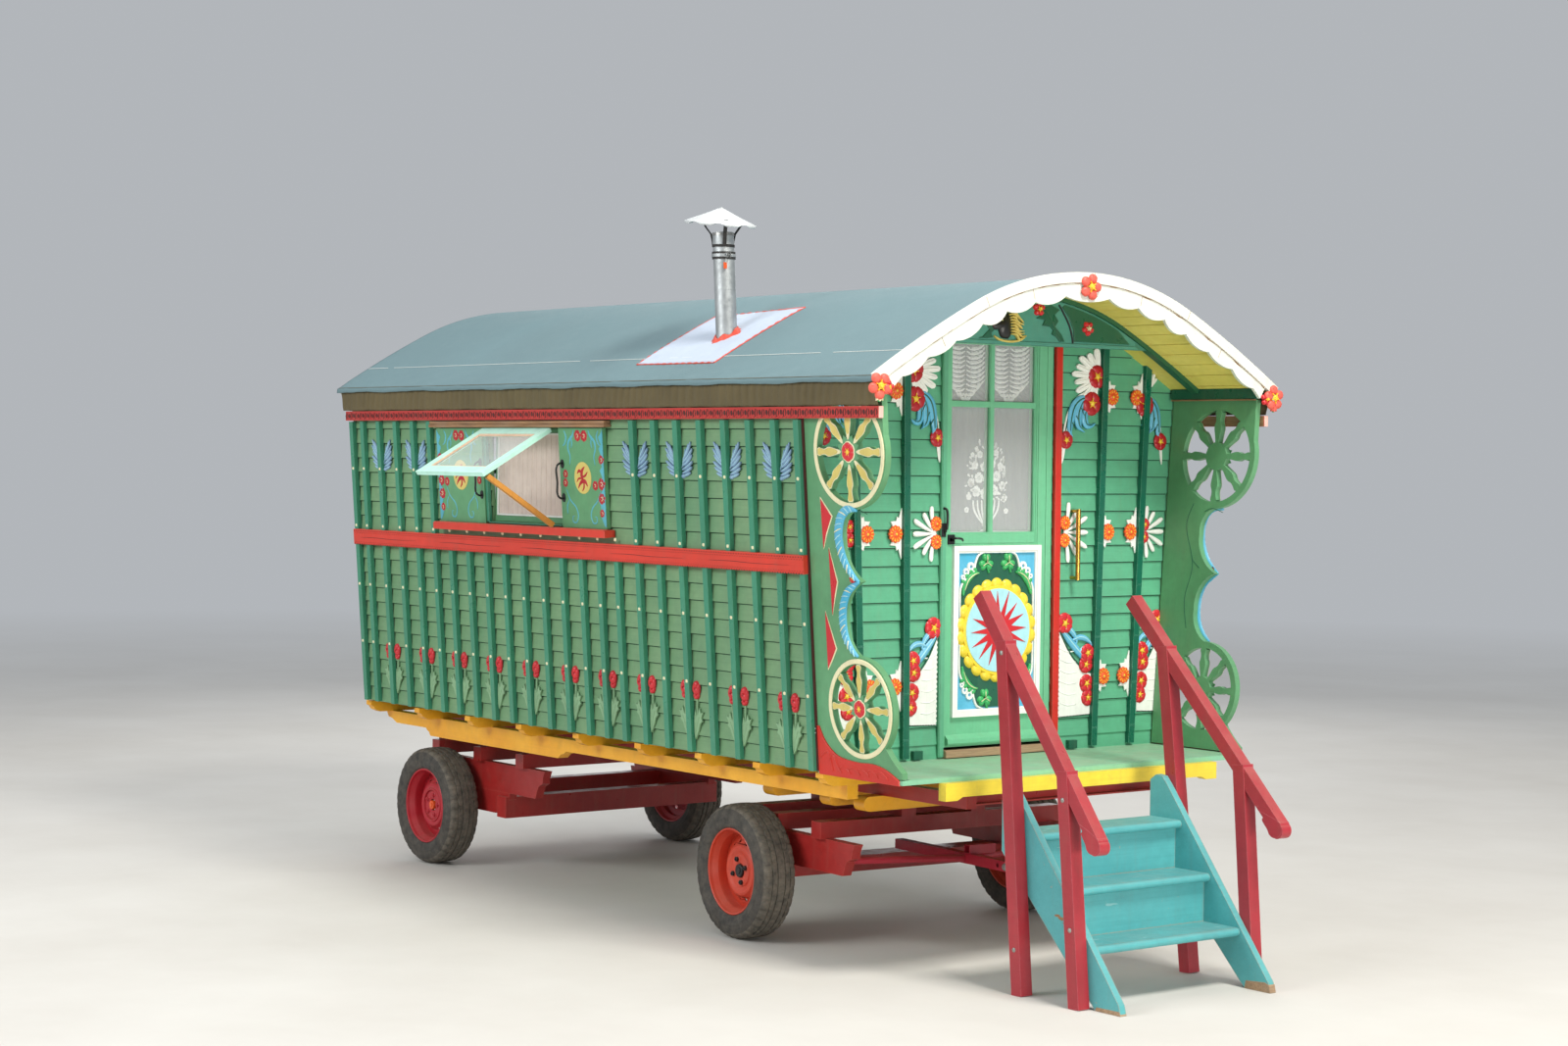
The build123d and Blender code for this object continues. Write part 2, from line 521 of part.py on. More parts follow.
# axle boards below the long boards, a cross beam, the axle beam and its stubs
axle_pts = [(REAR_AXLE_X - 250, Z_L0), (-3105, Z_L0), (-3112, Z_L0 - 34), (-3190, Z_L0 - 74), (-3250, Z_L0 - 118),
            (REAR_AXLE_X - 150, Z_L0 - 118), (REAR_AXLE_X - 200, Z_L0 - 74), (REAR_AXLE_X - 240, Z_L0 - 34)]
rear_axle = box(REAR_AXLE_X - 40, REAR_AXLE_X + 40, -660, 660, AX_Z - 34, Z_L0)
rear_axle = rear_axle + box(-3205, -3115, -690, 690, Z_L0 - 132, Z_L0 - 20)
for s in (-1, 1):
    rear_axle = rear_axle + prism_y(axle_pts, s * 650 - 23, s * 650 + 23)
    rear_axle = rear_axle + cyl((REAR_AXLE_X, s * 640, AX_Z), (REAR_AXLE_X, s * 800, AX_Z), 22)
node("rear_axle", rear_axle)


# ----------------------------------------------------------------- wheels
def tyre():
    """tyre on the Y axis, outer face towards -Y"""
    prof = make_face(Polyline(
        (RIM_R + 1, 0, -78), (RIM_R + 22, 0, -90), (RIM_R + 55, 0, -92.5), (WHEEL_R - 16, 0, -82), (WHEEL_R - 2, 0, -70),
        (WHEEL_R, 0, -50), (WHEEL_R, 0, 50), (WHEEL_R - 2, 0, 70), (WHEEL_R - 16, 0, 82), (RIM_R + 55, 0, 92.5),
        (RIM_R + 22, 0, 90), (RIM_R + 1, 0, 78), (RIM_R + 12, 0, 60), (RIM_R + 40, 0, 30), (RIM_R + 40, 0, -30),
        (RIM_R + 12, 0, -60), close=True))
    t = revolve(prof, Axis.Z)
    return Rot(-90, 0, 0) * t


def rim():
    """pressed steel wheel with a dished centre, outer face towards -Y; bore clears the stub"""
    prof = make_face(Polyline(
        (RIM_R + 0.5, 0, 78), (RIM_R - 6, 0, 78), (RIM_R - 14, 0, 52), (RIM_R - 24, 0, 36), (RIM_R - 24, 0, -10),
        (150, 0, 0), (118, 0, 26), (104, 0, 34), (60, 0, 22), (30, 0, 22), (30, 0, 14),
        (60, 0, 14), (104, 0, 26), (114, 0, 18), (146, 0, -8), (RIM_R - 30, 0, -20), (RIM_R - 30, 0, -40),
        (RIM_R - 14, 0, -56), (RIM_R - 6, 0, -78), (RIM_R + 0.5, 0, -78), (RIM_R + 0.3, 0, -74), (RIM_R - 8, 0, -52),
        (RIM_R - 20, 0, -38), (RIM_R - 20, 0, 38), (RIM_R - 8, 0, 52), (RIM_R, 0, 74), close=True))
    w = revolve(prof, Axis.Z)
    hub = Pos(0, 0, 5) * (Cylinder(58, 34) - Pos(0, 0, -10) * Cylinder(26, 34))
    return Rot(90, 0, 0) * (w + hub)


TYRE, RIM = tyre(), rim()


def wheel_at(x, y, turn=0.0):
    """turn is about the king pin"""
    t, r = TYRE, RIM
    if y > 0:
        r = Rot(0, 0, 180) * r
    loc = Pos(x, y, AX_Z)
    a, b = loc * t, loc * r
    if turn:
        piv = Pos(KING_X, 0, 0) * Rot(0, 0, turn) * Pos(-KING_X, 0, 0)
        a, b = piv * a, piv * b
    return a, b


for nm, x, y, turn in (("rear_right", REAR_AXLE_X, -WHEEL_Y, 0.0), ("rear_left", REAR_AXLE_X, WHEEL_Y, 0.0),
                       ("front_right", KING_X, -WHEEL_Y, BOGIE_TURN), ("front_left", KING_X, WHEEL_Y, BOGIE_TURN)):
    t, r = wheel_at(x, y, turn)
    node("tyre_" + nm, t)
    node("rim_" + nm, r)

# --------------------------------------------------------- front turntable
PIV = Pos(KING_X, 0, 0) * Rot(0, 0, BOGIE_TURN) * Pos(-KING_X, 0, 0)
PLATE_R = 330.0
node("turntable_top_plate", Pos(KING_X, 0, Z_B0 - 9.0) * (Cylinder(PLATE_R, 18) - Cylinder(PLATE_R - 70, 30))
     + Pos(KING_X, 0, Z_B0 - 9.0) * (Box(2 * PLATE_R - 60, 90, 18) - Cylinder(21, 30)))
Z_P1 = Z_B0 - 19.0
lower = Pos(KING_X, 0, Z_P1 - 9.0) * (Cylinder(PLATE_R, 18) - Cylinder(PLATE_R - 70, 30)) \
    + Pos(KING_X, 0, Z_P1 - 9.0) * Box(90, 2 * PLATE_R - 60, 18) + cyl((KING_X, 0, Z_P1 - 18), (KING_X, 0, Z_B0 - 2), 19)
node("turntable_plate", PIV * lower)
Z_C1 = ZF - 302.0
Z_C0 = ZF - 378.0
bt = [box(KING_X + dx - 38, KING_X + dx + 38, -690, 690, Z_C0, Z_C1) for dx in (-270, 60, 407)]
bf = bt[0] + bt[1] + bt[2]
for s in (-1, 1):
    bf = bf + box(KING_X - 308, KING_X + 445, s * 200 - 40, s * 200 + 40, Z_C1, Z_P1 - 18)
node("bogie_frame", PIV * bf)
Z_S1, Z_S0 = Z_C0, ZF - 528.0


def bogie_board(y):
    x0, x1 = KING_X - 400, KING_X + 677
    pts = [(x0, Z_S1), (x1, Z_S1), (x1 - 18, Z_S1 - 34), (x1 - 22, Z_S1 - 66), (x1 - 62, Z_S1 - 84), (x1 - 92, Z_S0),
           (x0 + 92, Z_S0), (x0 + 62, Z_S1 - 84), (x0 + 22, Z_S1 - 66), (x0 + 18, Z_S1 - 34)]
    return prism_y(pts, y - 24, y + 24)


node("bogie_boards", [PIV * bogie_board(s * 640) for s in (-1, 1)])
fa = box(KING_X - 50, KING_X + 90, -670, 670, AX_Z - 34, Z_S0)
for s in (-1, 1):
    fa = fa + cyl((KING_X, s * 640, AX_Z), (KING_X, s * 800, AX_Z), 22)
node("front_axle", PIV * fa)
TIP = 985.0               # open end of the drawbar tube, ahead of the king pin
HOLE_BACK = 98.0          # pin hole, back from the open end
zt = ZF - 485.0
outer = box(KING_X + 91, KING_X + TIP, -23, 23, zt - 23, zt + 23)
tube = (outer - box(KING_X + TIP - 240, KING_X + TIP + 10, -18, 18, zt - 18, zt + 18)
        - cyl((KING_X + TIP - HOLE_BACK, -60, zt), (KING_X + TIP - HOLE_BACK, 60, zt), 9))
# short square tube lying across it
cross = box(KING_X + TIP - 345, KING_X + TIP - 303, -26, 124, zt + 23, zt + 65) \
    - box(KING_X + TIP - 341, KING_X + TIP - 307, -40, 140, zt + 27, zt + 61)
node("drawbar", PIV * (tube + cross))
braces = [cyl((KING_X + 560, s * 612, zt + 20), (KING_X + TIP - 350, s * 10, zt), 17) - outer for s in (-1, 1)]
node("drawbar_braces", [PIV * b for b in braces])

# ------------------------------------------------------------------ steps
NOSE = ((942.0, 210.0), (1118.0, 420.0), (1294.0, 630.0))     # tread nose x, depth below the board edge
ST_Y = (-630.0, 272.0)
ST_T = 34.0


def stringer(y0, y1):
    pts = [(765, ZF - 50), (800, ZF - 26), (838, ZF - 30), (872, ZF - 68), (1480, ZF - 838), (1492, 0), (1345, 0), (1040, ZF - 575), (765, ZF - 300)]
    return prism_y(pts, y0, y1)


st = [stringer(ST_Y[0], ST_Y[0] + ST_T), stringer(ST_Y[1] - ST_T, ST_Y[1])]
node("step_stringers", st)
tr = []
yi0, yi1 = ST_Y[0] + ST_T, ST_Y[1] - ST_T
for i, (x, dz) in enumerate(NOSE):
    z = ZF - dz
    tread = box(x - (170 if i == 0 else 210), x, yi0, yi1, z - 36, z)
    tr.append(tread)
    if i < 2:
        tr.append(box(x - 40, x - 18, yi0, yi1, ZF - NOSE[i + 1][1], z - 36))
node("step_treads", tr)

# handrail posts: foot x, head x, head height above the board edge, y
POSTS = ((940, 810, 600, -663), (1284, 1194, 40, -663), (956, 785, 440, 305), (1330, 1252, -80, 305))
# rails: upper end x and height, lower end x and height, y
RAILS = ((655, 776, 1390, -198, -663), (575, 728, 1476, -190, 305))
PW = 62.0


def rail_z(r, x):
    return r[1] + (r[3] - r[1]) * (x - r[0]) / (r[2] - r[0])


hr, hp = [], []
for r in RAILS:
    s = bar((r[0], r[4], ZF + r[1]), (r[2], r[4], ZF + r[3]), 56, 58)
    s = s + cyl((r[2], r[4] - 28, ZF + r[3] - 10), (r[2], r[4] + 28, ZF + r[3] - 10), 34)
    hr.append(s)
for fx, hx, hz_, y in POSTS:
    r = RAILS[0] if y < 0 else RAILS[1]
    p = bar((fx, y, 0), (hx, y, ZF + rail_z(r, hx) + 20), PW, PW)
    foot_cut = box(fx - 200, fx + 200, y - 100, y + 100, -100, 0)
    p = p - foot_cut
    for q in hr:
        p = p - q
    big = sorted(p.solids(), key=lambda k: k.volume)[-1]
    hp.append(big)
node("handrails", hr)
node("handrail_posts", hp)

# ------------------------------------------------------------------ write
lo = [1e9] * 3
hi = [-1e9] * 3
for name, sol in NODES.items():
    shape = sol[0] if len(sol) == 1 else Compound(children=sol)
    bb = shape.bounding_box()
    for i, (a, b) in enumerate(((bb.min.X, bb.max.X), (bb.min.Y, bb.max.Y), (bb.min.Z, bb.max.Z))):
        lo[i] = min(lo[i], a)
        hi[i] = max(hi[i], b)
    export_step(shape, "parts/" + name + ".step")
print("nodes", len(NODES), "box", [round(v, 1) for v in lo], [round(v, 1) for v in hi])
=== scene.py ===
import bpy, bmesh, random
from math import sin, cos, pi, atan, asin, atan2, sqrt, radians, floor
from mathutils import Vector, Matrix
from mathutils.geometry import tessellate_polygon


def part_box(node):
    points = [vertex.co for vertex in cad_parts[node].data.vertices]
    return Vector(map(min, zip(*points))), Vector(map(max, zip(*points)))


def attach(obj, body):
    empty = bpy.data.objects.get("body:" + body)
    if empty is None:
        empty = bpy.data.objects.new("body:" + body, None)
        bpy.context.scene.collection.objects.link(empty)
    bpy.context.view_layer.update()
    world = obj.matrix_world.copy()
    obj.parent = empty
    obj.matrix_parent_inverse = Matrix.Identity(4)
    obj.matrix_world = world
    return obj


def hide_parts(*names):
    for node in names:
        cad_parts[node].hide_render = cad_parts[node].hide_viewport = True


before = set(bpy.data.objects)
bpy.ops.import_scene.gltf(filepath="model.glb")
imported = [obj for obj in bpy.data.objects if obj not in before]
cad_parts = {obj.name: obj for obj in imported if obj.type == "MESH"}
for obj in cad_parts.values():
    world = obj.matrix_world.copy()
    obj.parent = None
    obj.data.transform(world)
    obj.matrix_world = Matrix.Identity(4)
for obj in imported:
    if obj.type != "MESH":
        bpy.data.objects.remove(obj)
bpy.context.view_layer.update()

random.seed(11)

# All shapes below are given in millimetres: x from the outer face of the front
# wall, y to the wagon's left, z from the bottom edge of the side boards.
SX, ZF = 1294.0, 880.0


def W(p):
    return ((p[0] + SX) / 1000.0, p[1] / 1000.0, (p[2] + ZF) / 1000.0)


# ---------------------------------------------------------------- materials
def lin(h):
    h = h.lstrip("#")
    out = []
    for i in (0, 2, 4):
        c = int(h[i:i + 2], 16) / 255.0
        out.append(c / 12.92 if c <= 0.04045 else ((c + 0.055) / 1.055) ** 2.4)
    return (out[0], out[1], out[2], 1.0)


def dim(c, k):
    return (c[0] * k, c[1] * k, c[2] * k, 1.0)


class Nodes:
    """small helper that adds shader nodes and links what it is given"""

    def __init__(self, name):
        self.mat = bpy.data.materials.new(name)
        self.mat.use_nodes = True
        self.nt = self.mat.node_tree
        self.bsdf = self.nt.nodes["Principled BSDF"]
        self.out = self.nt.nodes["Material Output"]
        tc = self.nt.nodes.new("ShaderNodeTexCoord")
        self.co = tc.outputs["Object"]

    def add(self, kind, ins=None, **props):
        n = self.nt.nodes.new("ShaderNode" + kind)
        for k, v in props.items():
            setattr(n, k, v)
        for k, v in (ins or {}).items():
            if isinstance(v, bpy.types.NodeSocket):
                self.nt.links.new(v, n.inputs[k])
            else:
                n.inputs[k].default_value = v
        return n

    def link(self, a, b):
        self.nt.links.new(a, b)

    def mapped(self, scale, rot=(0, 0, 0)):
        return self.add("Mapping", {"Vector": self.co, "Scale": scale, "Rotation": rot}).outputs[0]

    def noise(self, scale, detail=4.0, rough=0.55, vec=None, dist=0.0):
        return self.add("TexNoise", {"Vector": vec or self.co, "Scale": scale, "Detail": detail, "Roughness": rough, "Distortion": dist}).outputs["Fac"]

    def ramp(self, fac, a, b, ca=0.0, cb=1.0):
        return self.add("MapRange", {"Value": fac, "From Min": a, "From Max": b, "To Min": ca, "To Max": cb}).outputs[0]

    def mix(self, fac, a, b, blend="MIX"):
        n = self.nt.nodes.new("ShaderNodeMix")
        n.data_type = "RGBA"
        n.blend_type = blend
        for i, v in ((0, fac), (6, a), (7, b)):
            if isinstance(v, bpy.types.NodeSocket):
                self.nt.links.new(v, n.inputs[i])
            else:
                n.inputs[i].default_value = v
        return n.outputs[2]

    def math(self, op, a, b=0.0):
        n = self.nt.nodes.new("ShaderNodeMath")
        n.operation = op
        for i, v in ((0, a), (1, b)):
            if isinstance(v, bpy.types.NodeSocket):
                self.nt.links.new(v, n.inputs[i])
            else:
                n.inputs[i].default_value = v
        return n.outputs[0]

    def upward(self):
        g = self.add("NewGeometry")
        s = self.add("SeparateXYZ", {0: g.outputs["Normal"]})
        return s.outputs[2]

    def edges(self, radius, samples=3):
        """about 1 along edges, 0 on the flat"""
        b = self.add("Bevel", {"Radius": radius}, samples=samples)
        g = self.add("NewGeometry")
        d = self.add("VectorMath", {0: b.outputs[0], 1: g.outputs["Normal"]}, operation="DOT_PRODUCT")
        return self.ramp(d.outputs["Value"], 0.995, 0.86)

    def bump(self, height, strength, dist):
        return self.add("Bump", {"Height": height, "Strength": strength, "Distance": dist}).outputs[0]


M = {}


def paint(name, col, rough=0.38, var=0.12, grain="z", grain_amt=0.25, chip=None, chip_amt=0.35, dust=0.15, edge=0.0,
          col2=None, blot=2.4, spec=0.5, dirt=0.25, streak=0.12):
    """enamel on timber: brushed and slightly uneven, with grain below, chips and dust"""
    k = Nodes(name)
    base = lin(col)
    big = k.noise(blot, 5.0, 0.6)
    mid = k.noise(22.0, 5.0, 0.6)
    c = k.mix(k.ramp(big, 0.3, 0.7), dim(base, 1.0 - var), lin(col2) if col2 else dim(base, 1.0 + var))
    c = k.mix(k.ramp(mid, 0.35, 0.75, 0.0, 0.35), c, dim(base, 0.72))
    sc = {"x": (3, 120, 120), "y": (120, 3, 120), "z": (120, 120, 3)}[grain]
    g = k.noise(1.0, 6.0, 0.62, vec=k.mapped(sc), dist=0.4)
    c = k.mix(k.ramp(g, 0.45, 0.8, 0.0, grain_amt * 0.8), c, dim(base, 0.55))
    if streak:
        st = k.noise(1.0, 4.0, 0.6, vec=k.mapped((26, 26, 1.2)))
        c = k.mix(k.ramp(st, 0.52, 0.78, 0.0, streak), c, (0.20, 0.17, 0.12, 1.0))
    if dirt:
        dd = k.noise(7.0, 9.0, 0.7)
        c = k.mix(k.ramp(dd, 0.56, 0.8, 0.0, dirt), c, (0.12, 0.10, 0.07, 1.0))
    if chip:
        ch = k.noise(48.0, 7.0, 0.7, dist=0.6)
        if edge:
            em = k.edges(edge)
            th = k.math("ADD", k.math("MULTIPLY", em, 0.32), ch)
            m = k.ramp(th, 0.66, 0.72, 0.0, chip_amt)
        else:
            m = k.ramp(ch, 0.68, 0.72, 0.0, chip_amt)
        c = k.mix(m, c, lin(chip))
    if dust:
        up = k.ramp(k.upward(), 0.35, 0.95)
        dn = k.ramp(k.noise(9.0, 6.0, 0.65), 0.35, 0.7, 0.25, 1.0)
        c = k.mix(k.math("MULTIPLY", k.math("MULTIPLY", up, dn), dust), c, (0.42, 0.36, 0.27, 1.0))
    k.link(c, k.bsdf.inputs["Base Color"])
    r = k.ramp(k.noise(16.0, 6.0, 0.6), 0.3, 0.75, rough - 0.09, rough + 0.16)
    k.link(r, k.bsdf.inputs["Roughness"])
    k.bsdf.inputs["Specular IOR Level"].default_value = spec
    h = k.math("ADD", k.math("MULTIPLY", g, 0.8), k.math("MULTIPLY", k.noise(70.0, 3.0), 0.5))
    k.link(k.bump(h, 0.35, 0.0012), k.bsdf.inputs["Normal"])
    M[name] = k.mat
    return k


def bare_wood(name, col, col2, grain="x", rough=0.75):
    k = Nodes(name)
    sc = {"x": (4, 70, 70), "y": (70, 4, 70), "z": (70, 70, 4)}[grain]
    v = k.mapped(sc)
    g = k.noise(1.0, 8.0, 0.65, vec=v, dist=1.2)
    g2 = k.noise(0.35, 4.0, 0.6, vec=v, dist=2.0)
    c = k.mix(k.ramp(g, 0.35, 0.68), lin(col), lin(col2))
    c = k.mix(k.ramp(g2, 0.5, 0.75, 0.0, 0.55), c, dim(lin(col2), 0.6))
    c = k.mix(k.ramp(k.noise(5.0, 5.0), 0.45, 0.8, 0.0, 0.35), c, (0.25, 0.22, 0.19, 1.0))
    k.link(c, k.bsdf.inputs["Base Color"])
    k.link(k.ramp(g, 0.3, 0.7, rough - 0.1, rough + 0.12), k.bsdf.inputs["Roughness"])
    k.link(k.bump(g, 0.5, 0.002), k.bsdf.inputs["Normal"])
    M[name] = k.mat


def metal(name, col, rough=0.4, metallic=1.0, spot=None, spot_amt=0.4, blot=6.0, brush=0.2):
    k = Nodes(name)
    base = lin(col)
    big = k.noise(blot, 6.0, 0.65)
    c = k.mix(k.ramp(big, 0.3, 0.7), dim(base, 0.78), dim(base, 1.12))
    if spot:
        s = k.noise(30.0, 8.0, 0.72)
        c = k.mix(k.ramp(s, 0.56, 0.68, 0.0, spot_amt), c, lin(spot))
        k.link(k.ramp(s, 0.56, 0.68, metallic, metallic * 0.35), k.bsdf.inputs["Metallic"])
    else:
        k.bsdf.inputs["Metallic"].default_value = metallic
    k.link(c, k.bsdf.inputs["Base Color"])
    k.link(k.ramp(k.noise(40.0, 6.0), 0.3, 0.7, rough - 0.1, rough + 0.15), k.bsdf.inputs["Roughness"])
    h = k.math("ADD", k.noise(120.0, 4.0), k.math("MULTIPLY", k.noise(14.0, 4.0), 1.5))
    k.link(k.bump(h, brush, 0.001), k.bsdf.inputs["Normal"])
    M[name] = k.mat


def cloth(name, col, rough=0.9, weave=900.0, var=0.15, fade="#ffffff", fade_amt=0.25, seam=None, stain=0.3):
    k = Nodes(name)
    base = lin(col)
    big = k.noise(1.6, 6.0, 0.6)
    c = k.mix(k.ramp(big, 0.3, 0.72), dim(base, 1.0 - var), dim(base, 1.0 + var))
    c = k.mix(k.ramp(k.noise(5.0, 8.0, 0.7), 0.45, 0.8, 0.0, stain), c, dim(base, 0.6))
    c = k.mix(k.ramp(k.noise(11.0, 7.0, 0.7), 0.5, 0.85, 0.0, fade_amt), c, lin(fade))
    wx = k.add("TexWave", {"Vector": k.co, "Scale": weave / 6.28, "Distortion": 0.4}, wave_type="BANDS", bands_direction="X").outputs["Fac"]
    wy = k.add("TexWave", {"Vector": k.co, "Scale": weave / 6.28, "Distortion": 0.4}, wave_type="BANDS", bands_direction="Y").outputs["Fac"]
    h = k.math("ADD", wx, wy)
    c = k.mix(k.ramp(h, 0.3, 1.7, 0.0, 0.18), c, dim(base, 0.6))
    k.link(c, k.bsdf.inputs["Base Color"])
    k.link(k.ramp(big, 0.3, 0.7, rough - 0.1, min(1.0, rough + 0.08)), k.bsdf.inputs["Roughness"])
    hh = k.math("ADD", k.math("MULTIPLY", h, 0.4), k.math("MULTIPLY", k.noise(30.0, 6.0, 0.6), 1.4))
    k.link(k.bump(hh, 0.4, 0.0015), k.bsdf.inputs["Normal"])
    M[name] = k.mat
    return k


# body colours
paint("side_board", "#6c9a72", 0.45, 0.10, "x", 0.3, chip="#8aa892", chip_amt=0.2, dust=0.1, col2="#7fa276", dirt=0.14)
paint("side_rib", "#3c8a6c", 0.33, 0.12, "z", 0.2, chip="#7fae97", chip_amt=0.35, edge=0.004, dust=0.08)
paint("front_board", "#5ca783", 0.42, 0.07, "y", 0.22, chip="#a4d0b8", chip_amt=0.25, dust=0.1, col2="#5fb18a", dirt=0.14)
paint("front_rib", "#0d614a", 0.3, 0.15, "z", 0.2, chip="#8fd0b8", chip_amt=0.5, edge=0.004, dust=0.05)
paint("dark_green", "#1d5c46", 0.32, 0.12, "z", 0.2, chip="#5c9a80", chip_amt=0.3, dust=0.05)
paint("bow_green", "#1f5c40", 0.4, 0.15, "y", 0.2, dust=0.05)
paint("teal", "#3f7f6d", 0.4, 0.1, "y", 0.2, dust=0.05)
paint("belt_red", "#d43927", 0.38, 0.10, "x", 0.3, chip="#e07a62", chip_amt=0.5, edge=0.004, dust=0.2)
paint("crown_red", "#b8302a", 0.42, 0.12, "x", 0.3, chip="#d8806c", chip_amt=0.4, edge=0.003, dust=0.1)
# dark red for the punched marks, also used as painted shade in the gap beside each bracket
paint("punch_and_shade_dark", "#4a1512", 0.6, 0.2, "x", 0.2, dust=0.0)
paint("ivory", "#dcded2", 0.45, 0.04, "y", 0.12, chip="#cfc8a8", chip_amt=0.3, dust=0.05, col2="#e6e8de", dirt=0.08, streak=0.06)
paint("ceiling", "#ecd660", 0.5, 0.06, "x", 0.2, dust=0.0, col2="#f4e27c", dirt=0.08, streak=0.05)
paint("sill_yellow", "#f0a41c", 0.38, 0.08, "x", 0.2, chip="#f4cc70", chip_amt=0.3, edge=0.004, dust=0.1, col2="#f4b432", dirt=0.14, streak=0.05)
paint("deck_yellow", "#f2d640", 0.42, 0.10, "y", 0.3, chip="#8a7a4a", chip_amt=0.5, edge=0.004, dust=0.25)
paint("deck_green", "#86c4a0", 0.5, 0.10, "y", 0.35, chip="#9a9a84", chip_amt=0.4, dust=0.4)
paint("chassis_red", "#9c2424", 0.36, 0.12, "x", 0.3, chip="#c86a5a", chip_amt=0.4, edge=0.005, dust=0.3, col2="#ae2c28")
paint("steps_teal", "#52a9ad", 0.46, 0.08, "y", 0.35, chip="#a8927a", chip_amt=0.8, edge=0.008, dust=0.2, col2="#5eb4b6", dirt=0.2)
paint("raspberry", "#a42a36", 0.36, 0.12, "x", 0.25, chip="#c87880", chip_amt=0.4, edge=0.006, dust=0.3, col2="#b2323c")
paint("door_mint", "#6dbb90", 0.4, 0.06, "z", 0.2, chip="#a8d0b8", chip_amt=0.3, edge=0.003, dust=0.05)
paint("frame_red", "#c8281c", 0.36, 0.10, "z", 0.2, chip="#e07a5c", chip_amt=0.3, edge=0.003, dust=0.05)
paint("white", "#eef0ea", 0.45, 0.04, "z", 0.15, chip="#c8c8bc", chip_amt=0.3, dust=0.1, dirt=0.14)
paint("cream", "#e9e2b8", 0.42, 0.05, "z", 0.12, chip="#b8ac80", chip_amt=0.3, dust=0.1, dirt=0.12)
paint("mustard", "#d2bd63", 0.42, 0.10, "z", 0.15, chip="#a89858", chip_amt=0.3, dust=0.1, col2="#dcca74")
paint("acanthus", "#3fb2d6", 0.38, 0.12, "z", 0.15, chip="#a8d4e4", chip_amt=0.4, dust=0.1, col2="#78bede")
paint("pale_blue", "#a9dde6", 0.4, 0.06, "z", 0.12, dust=0.05, dirt=0.08)
paint("petal_red", "#c8202a", 0.32, 0.14, "z", 0.1, chip="#e86a60", chip_amt=0.3, dust=0.08, col2="#da3038", dirt=0.1, streak=0.0)
paint("petal_dark", "#b01a26", 0.32, 0.14, "z", 0.1, dust=0.05, dirt=0.1, streak=0.0)
paint("petal_orange", "#e8541e", 0.34, 0.14, "z", 0.1, dust=0.08, col2="#f06a2c", dirt=0.1, streak=0.0)
paint("petal_coral", "#e2564a", 0.36, 0.16, "z", 0.1, dust=0.08, col2="#ee8272", dirt=0.12, streak=0.0)
paint("flower_yellow", "#eec83c", 0.38, 0.10, "z", 0.1, dust=0.05, dirt=0.1, streak=0.0)
paint("feather", "#7d9fc0", 0.42, 0.14, "z", 0.15, chip="#c4d4e0", chip_amt=0.4, edge=0.003, dust=0.1, col2="#93b4d0")
paint("sage", "#86ad84", 0.45, 0.12, "z", 0.15, chip="#b4c8a8", chip_amt=0.3, dust=0.1)
paint("leaf_green", "#2ea45c", 0.36, 0.14, "z", 0.15, dust=0.05, col2="#48bd6c", streak=0.0)
paint("sash_mint", "#bff2e0", 0.36, 0.05, "x", 0.2, chip="#d8e8dc", chip_amt=0.4, edge=0.003, dust=0.1)
paint("shutter", "#5b9668", 0.42, 0.10, "z", 0.2, dust=0.05, col2="#66a374")
paint("rose_white", "#dcc8bc", 0.6, 0.08, "z", 0.3, dust=0.05, col2="#e8d8cc", dirt=0.25)
paint("prop_orange", "#c8812c", 0.5, 0.14, "z", 0.5, chip="#e0b070", chip_amt=0.4, dust=0.1, col2="#d8963c")
paint("rim_orange", "#c6402e", 0.4, 0.12, "z", 0.05, chip="#8a3a2c", chip_amt=0.4, dust=0.25, col2="#d24a30", streak=0.0, dirt=0.4)
paint("rim_crimson", "#b01e2c", 0.4, 0.12, "z", 0.05, chip="#8a3a2c", chip_amt=0.4, dust=0.25, col2="#be2834", streak=0.0, dirt=0.4)
paint("tube_red", "#b8263a", 0.36, 0.10, "x", 0.1, chip="#7a4a40", chip_amt=0.5, dust=0.2, streak=0.0)
paint("black_paint", "#16181a", 0.4, 0.2, "z", 0.1, chip="#4a4a46", chip_amt=0.4, dust=0.15, streak=0.0)
bare_wood("raw_wood", "#a8805a", "#7c5a3c", "x")
bare_wood("worn_wood", "#b89878", "#8c7458", "y", 0.85)
metal("zinc", "#b4b8b8", 0.45, 0.85, "#8a8d8a", 0.5, 9.0, 0.25)
metal("zinc_white", "#d8dcdc", 0.5, 0.35, "#a8aca8", 0.35, 9.0, 0.2)
metal("soot", "#3a3836", 0.6, 0.5, "#1c1a18", 0.6, 12.0, 0.3)
metal("brass", "#c89a48", 0.3, 1.0, "#8a6a34", 0.3, 14.0, 0.1)
metal("steel", "#a8a8a4", 0.35, 0.95, "#7a6a58", 0.3, 20.0, 0.15)
metal("rust_red", "#7c2a24", 0.6, 0.2, "#5c3424", 0.5, 14.0, 0.3)

# canvas: even grey-blue with a fine weave and faded, dusty cloudings
k = cloth("canvas", "#6b868b", 0.72, 1400.0, 0.05, fade="#869da3", fade_amt=0.22, stain=0.12)
k = cloth("skirt", "#675c40", 0.92, 900.0, 0.22, fade="#746a4c", fade_amt=0.3, stain=0.5)
k = cloth("lead_white", "#bcc8d8", 0.55, 400.0, 0.05, fade="#d2dae6", fade_amt=0.3, stain=0.3)


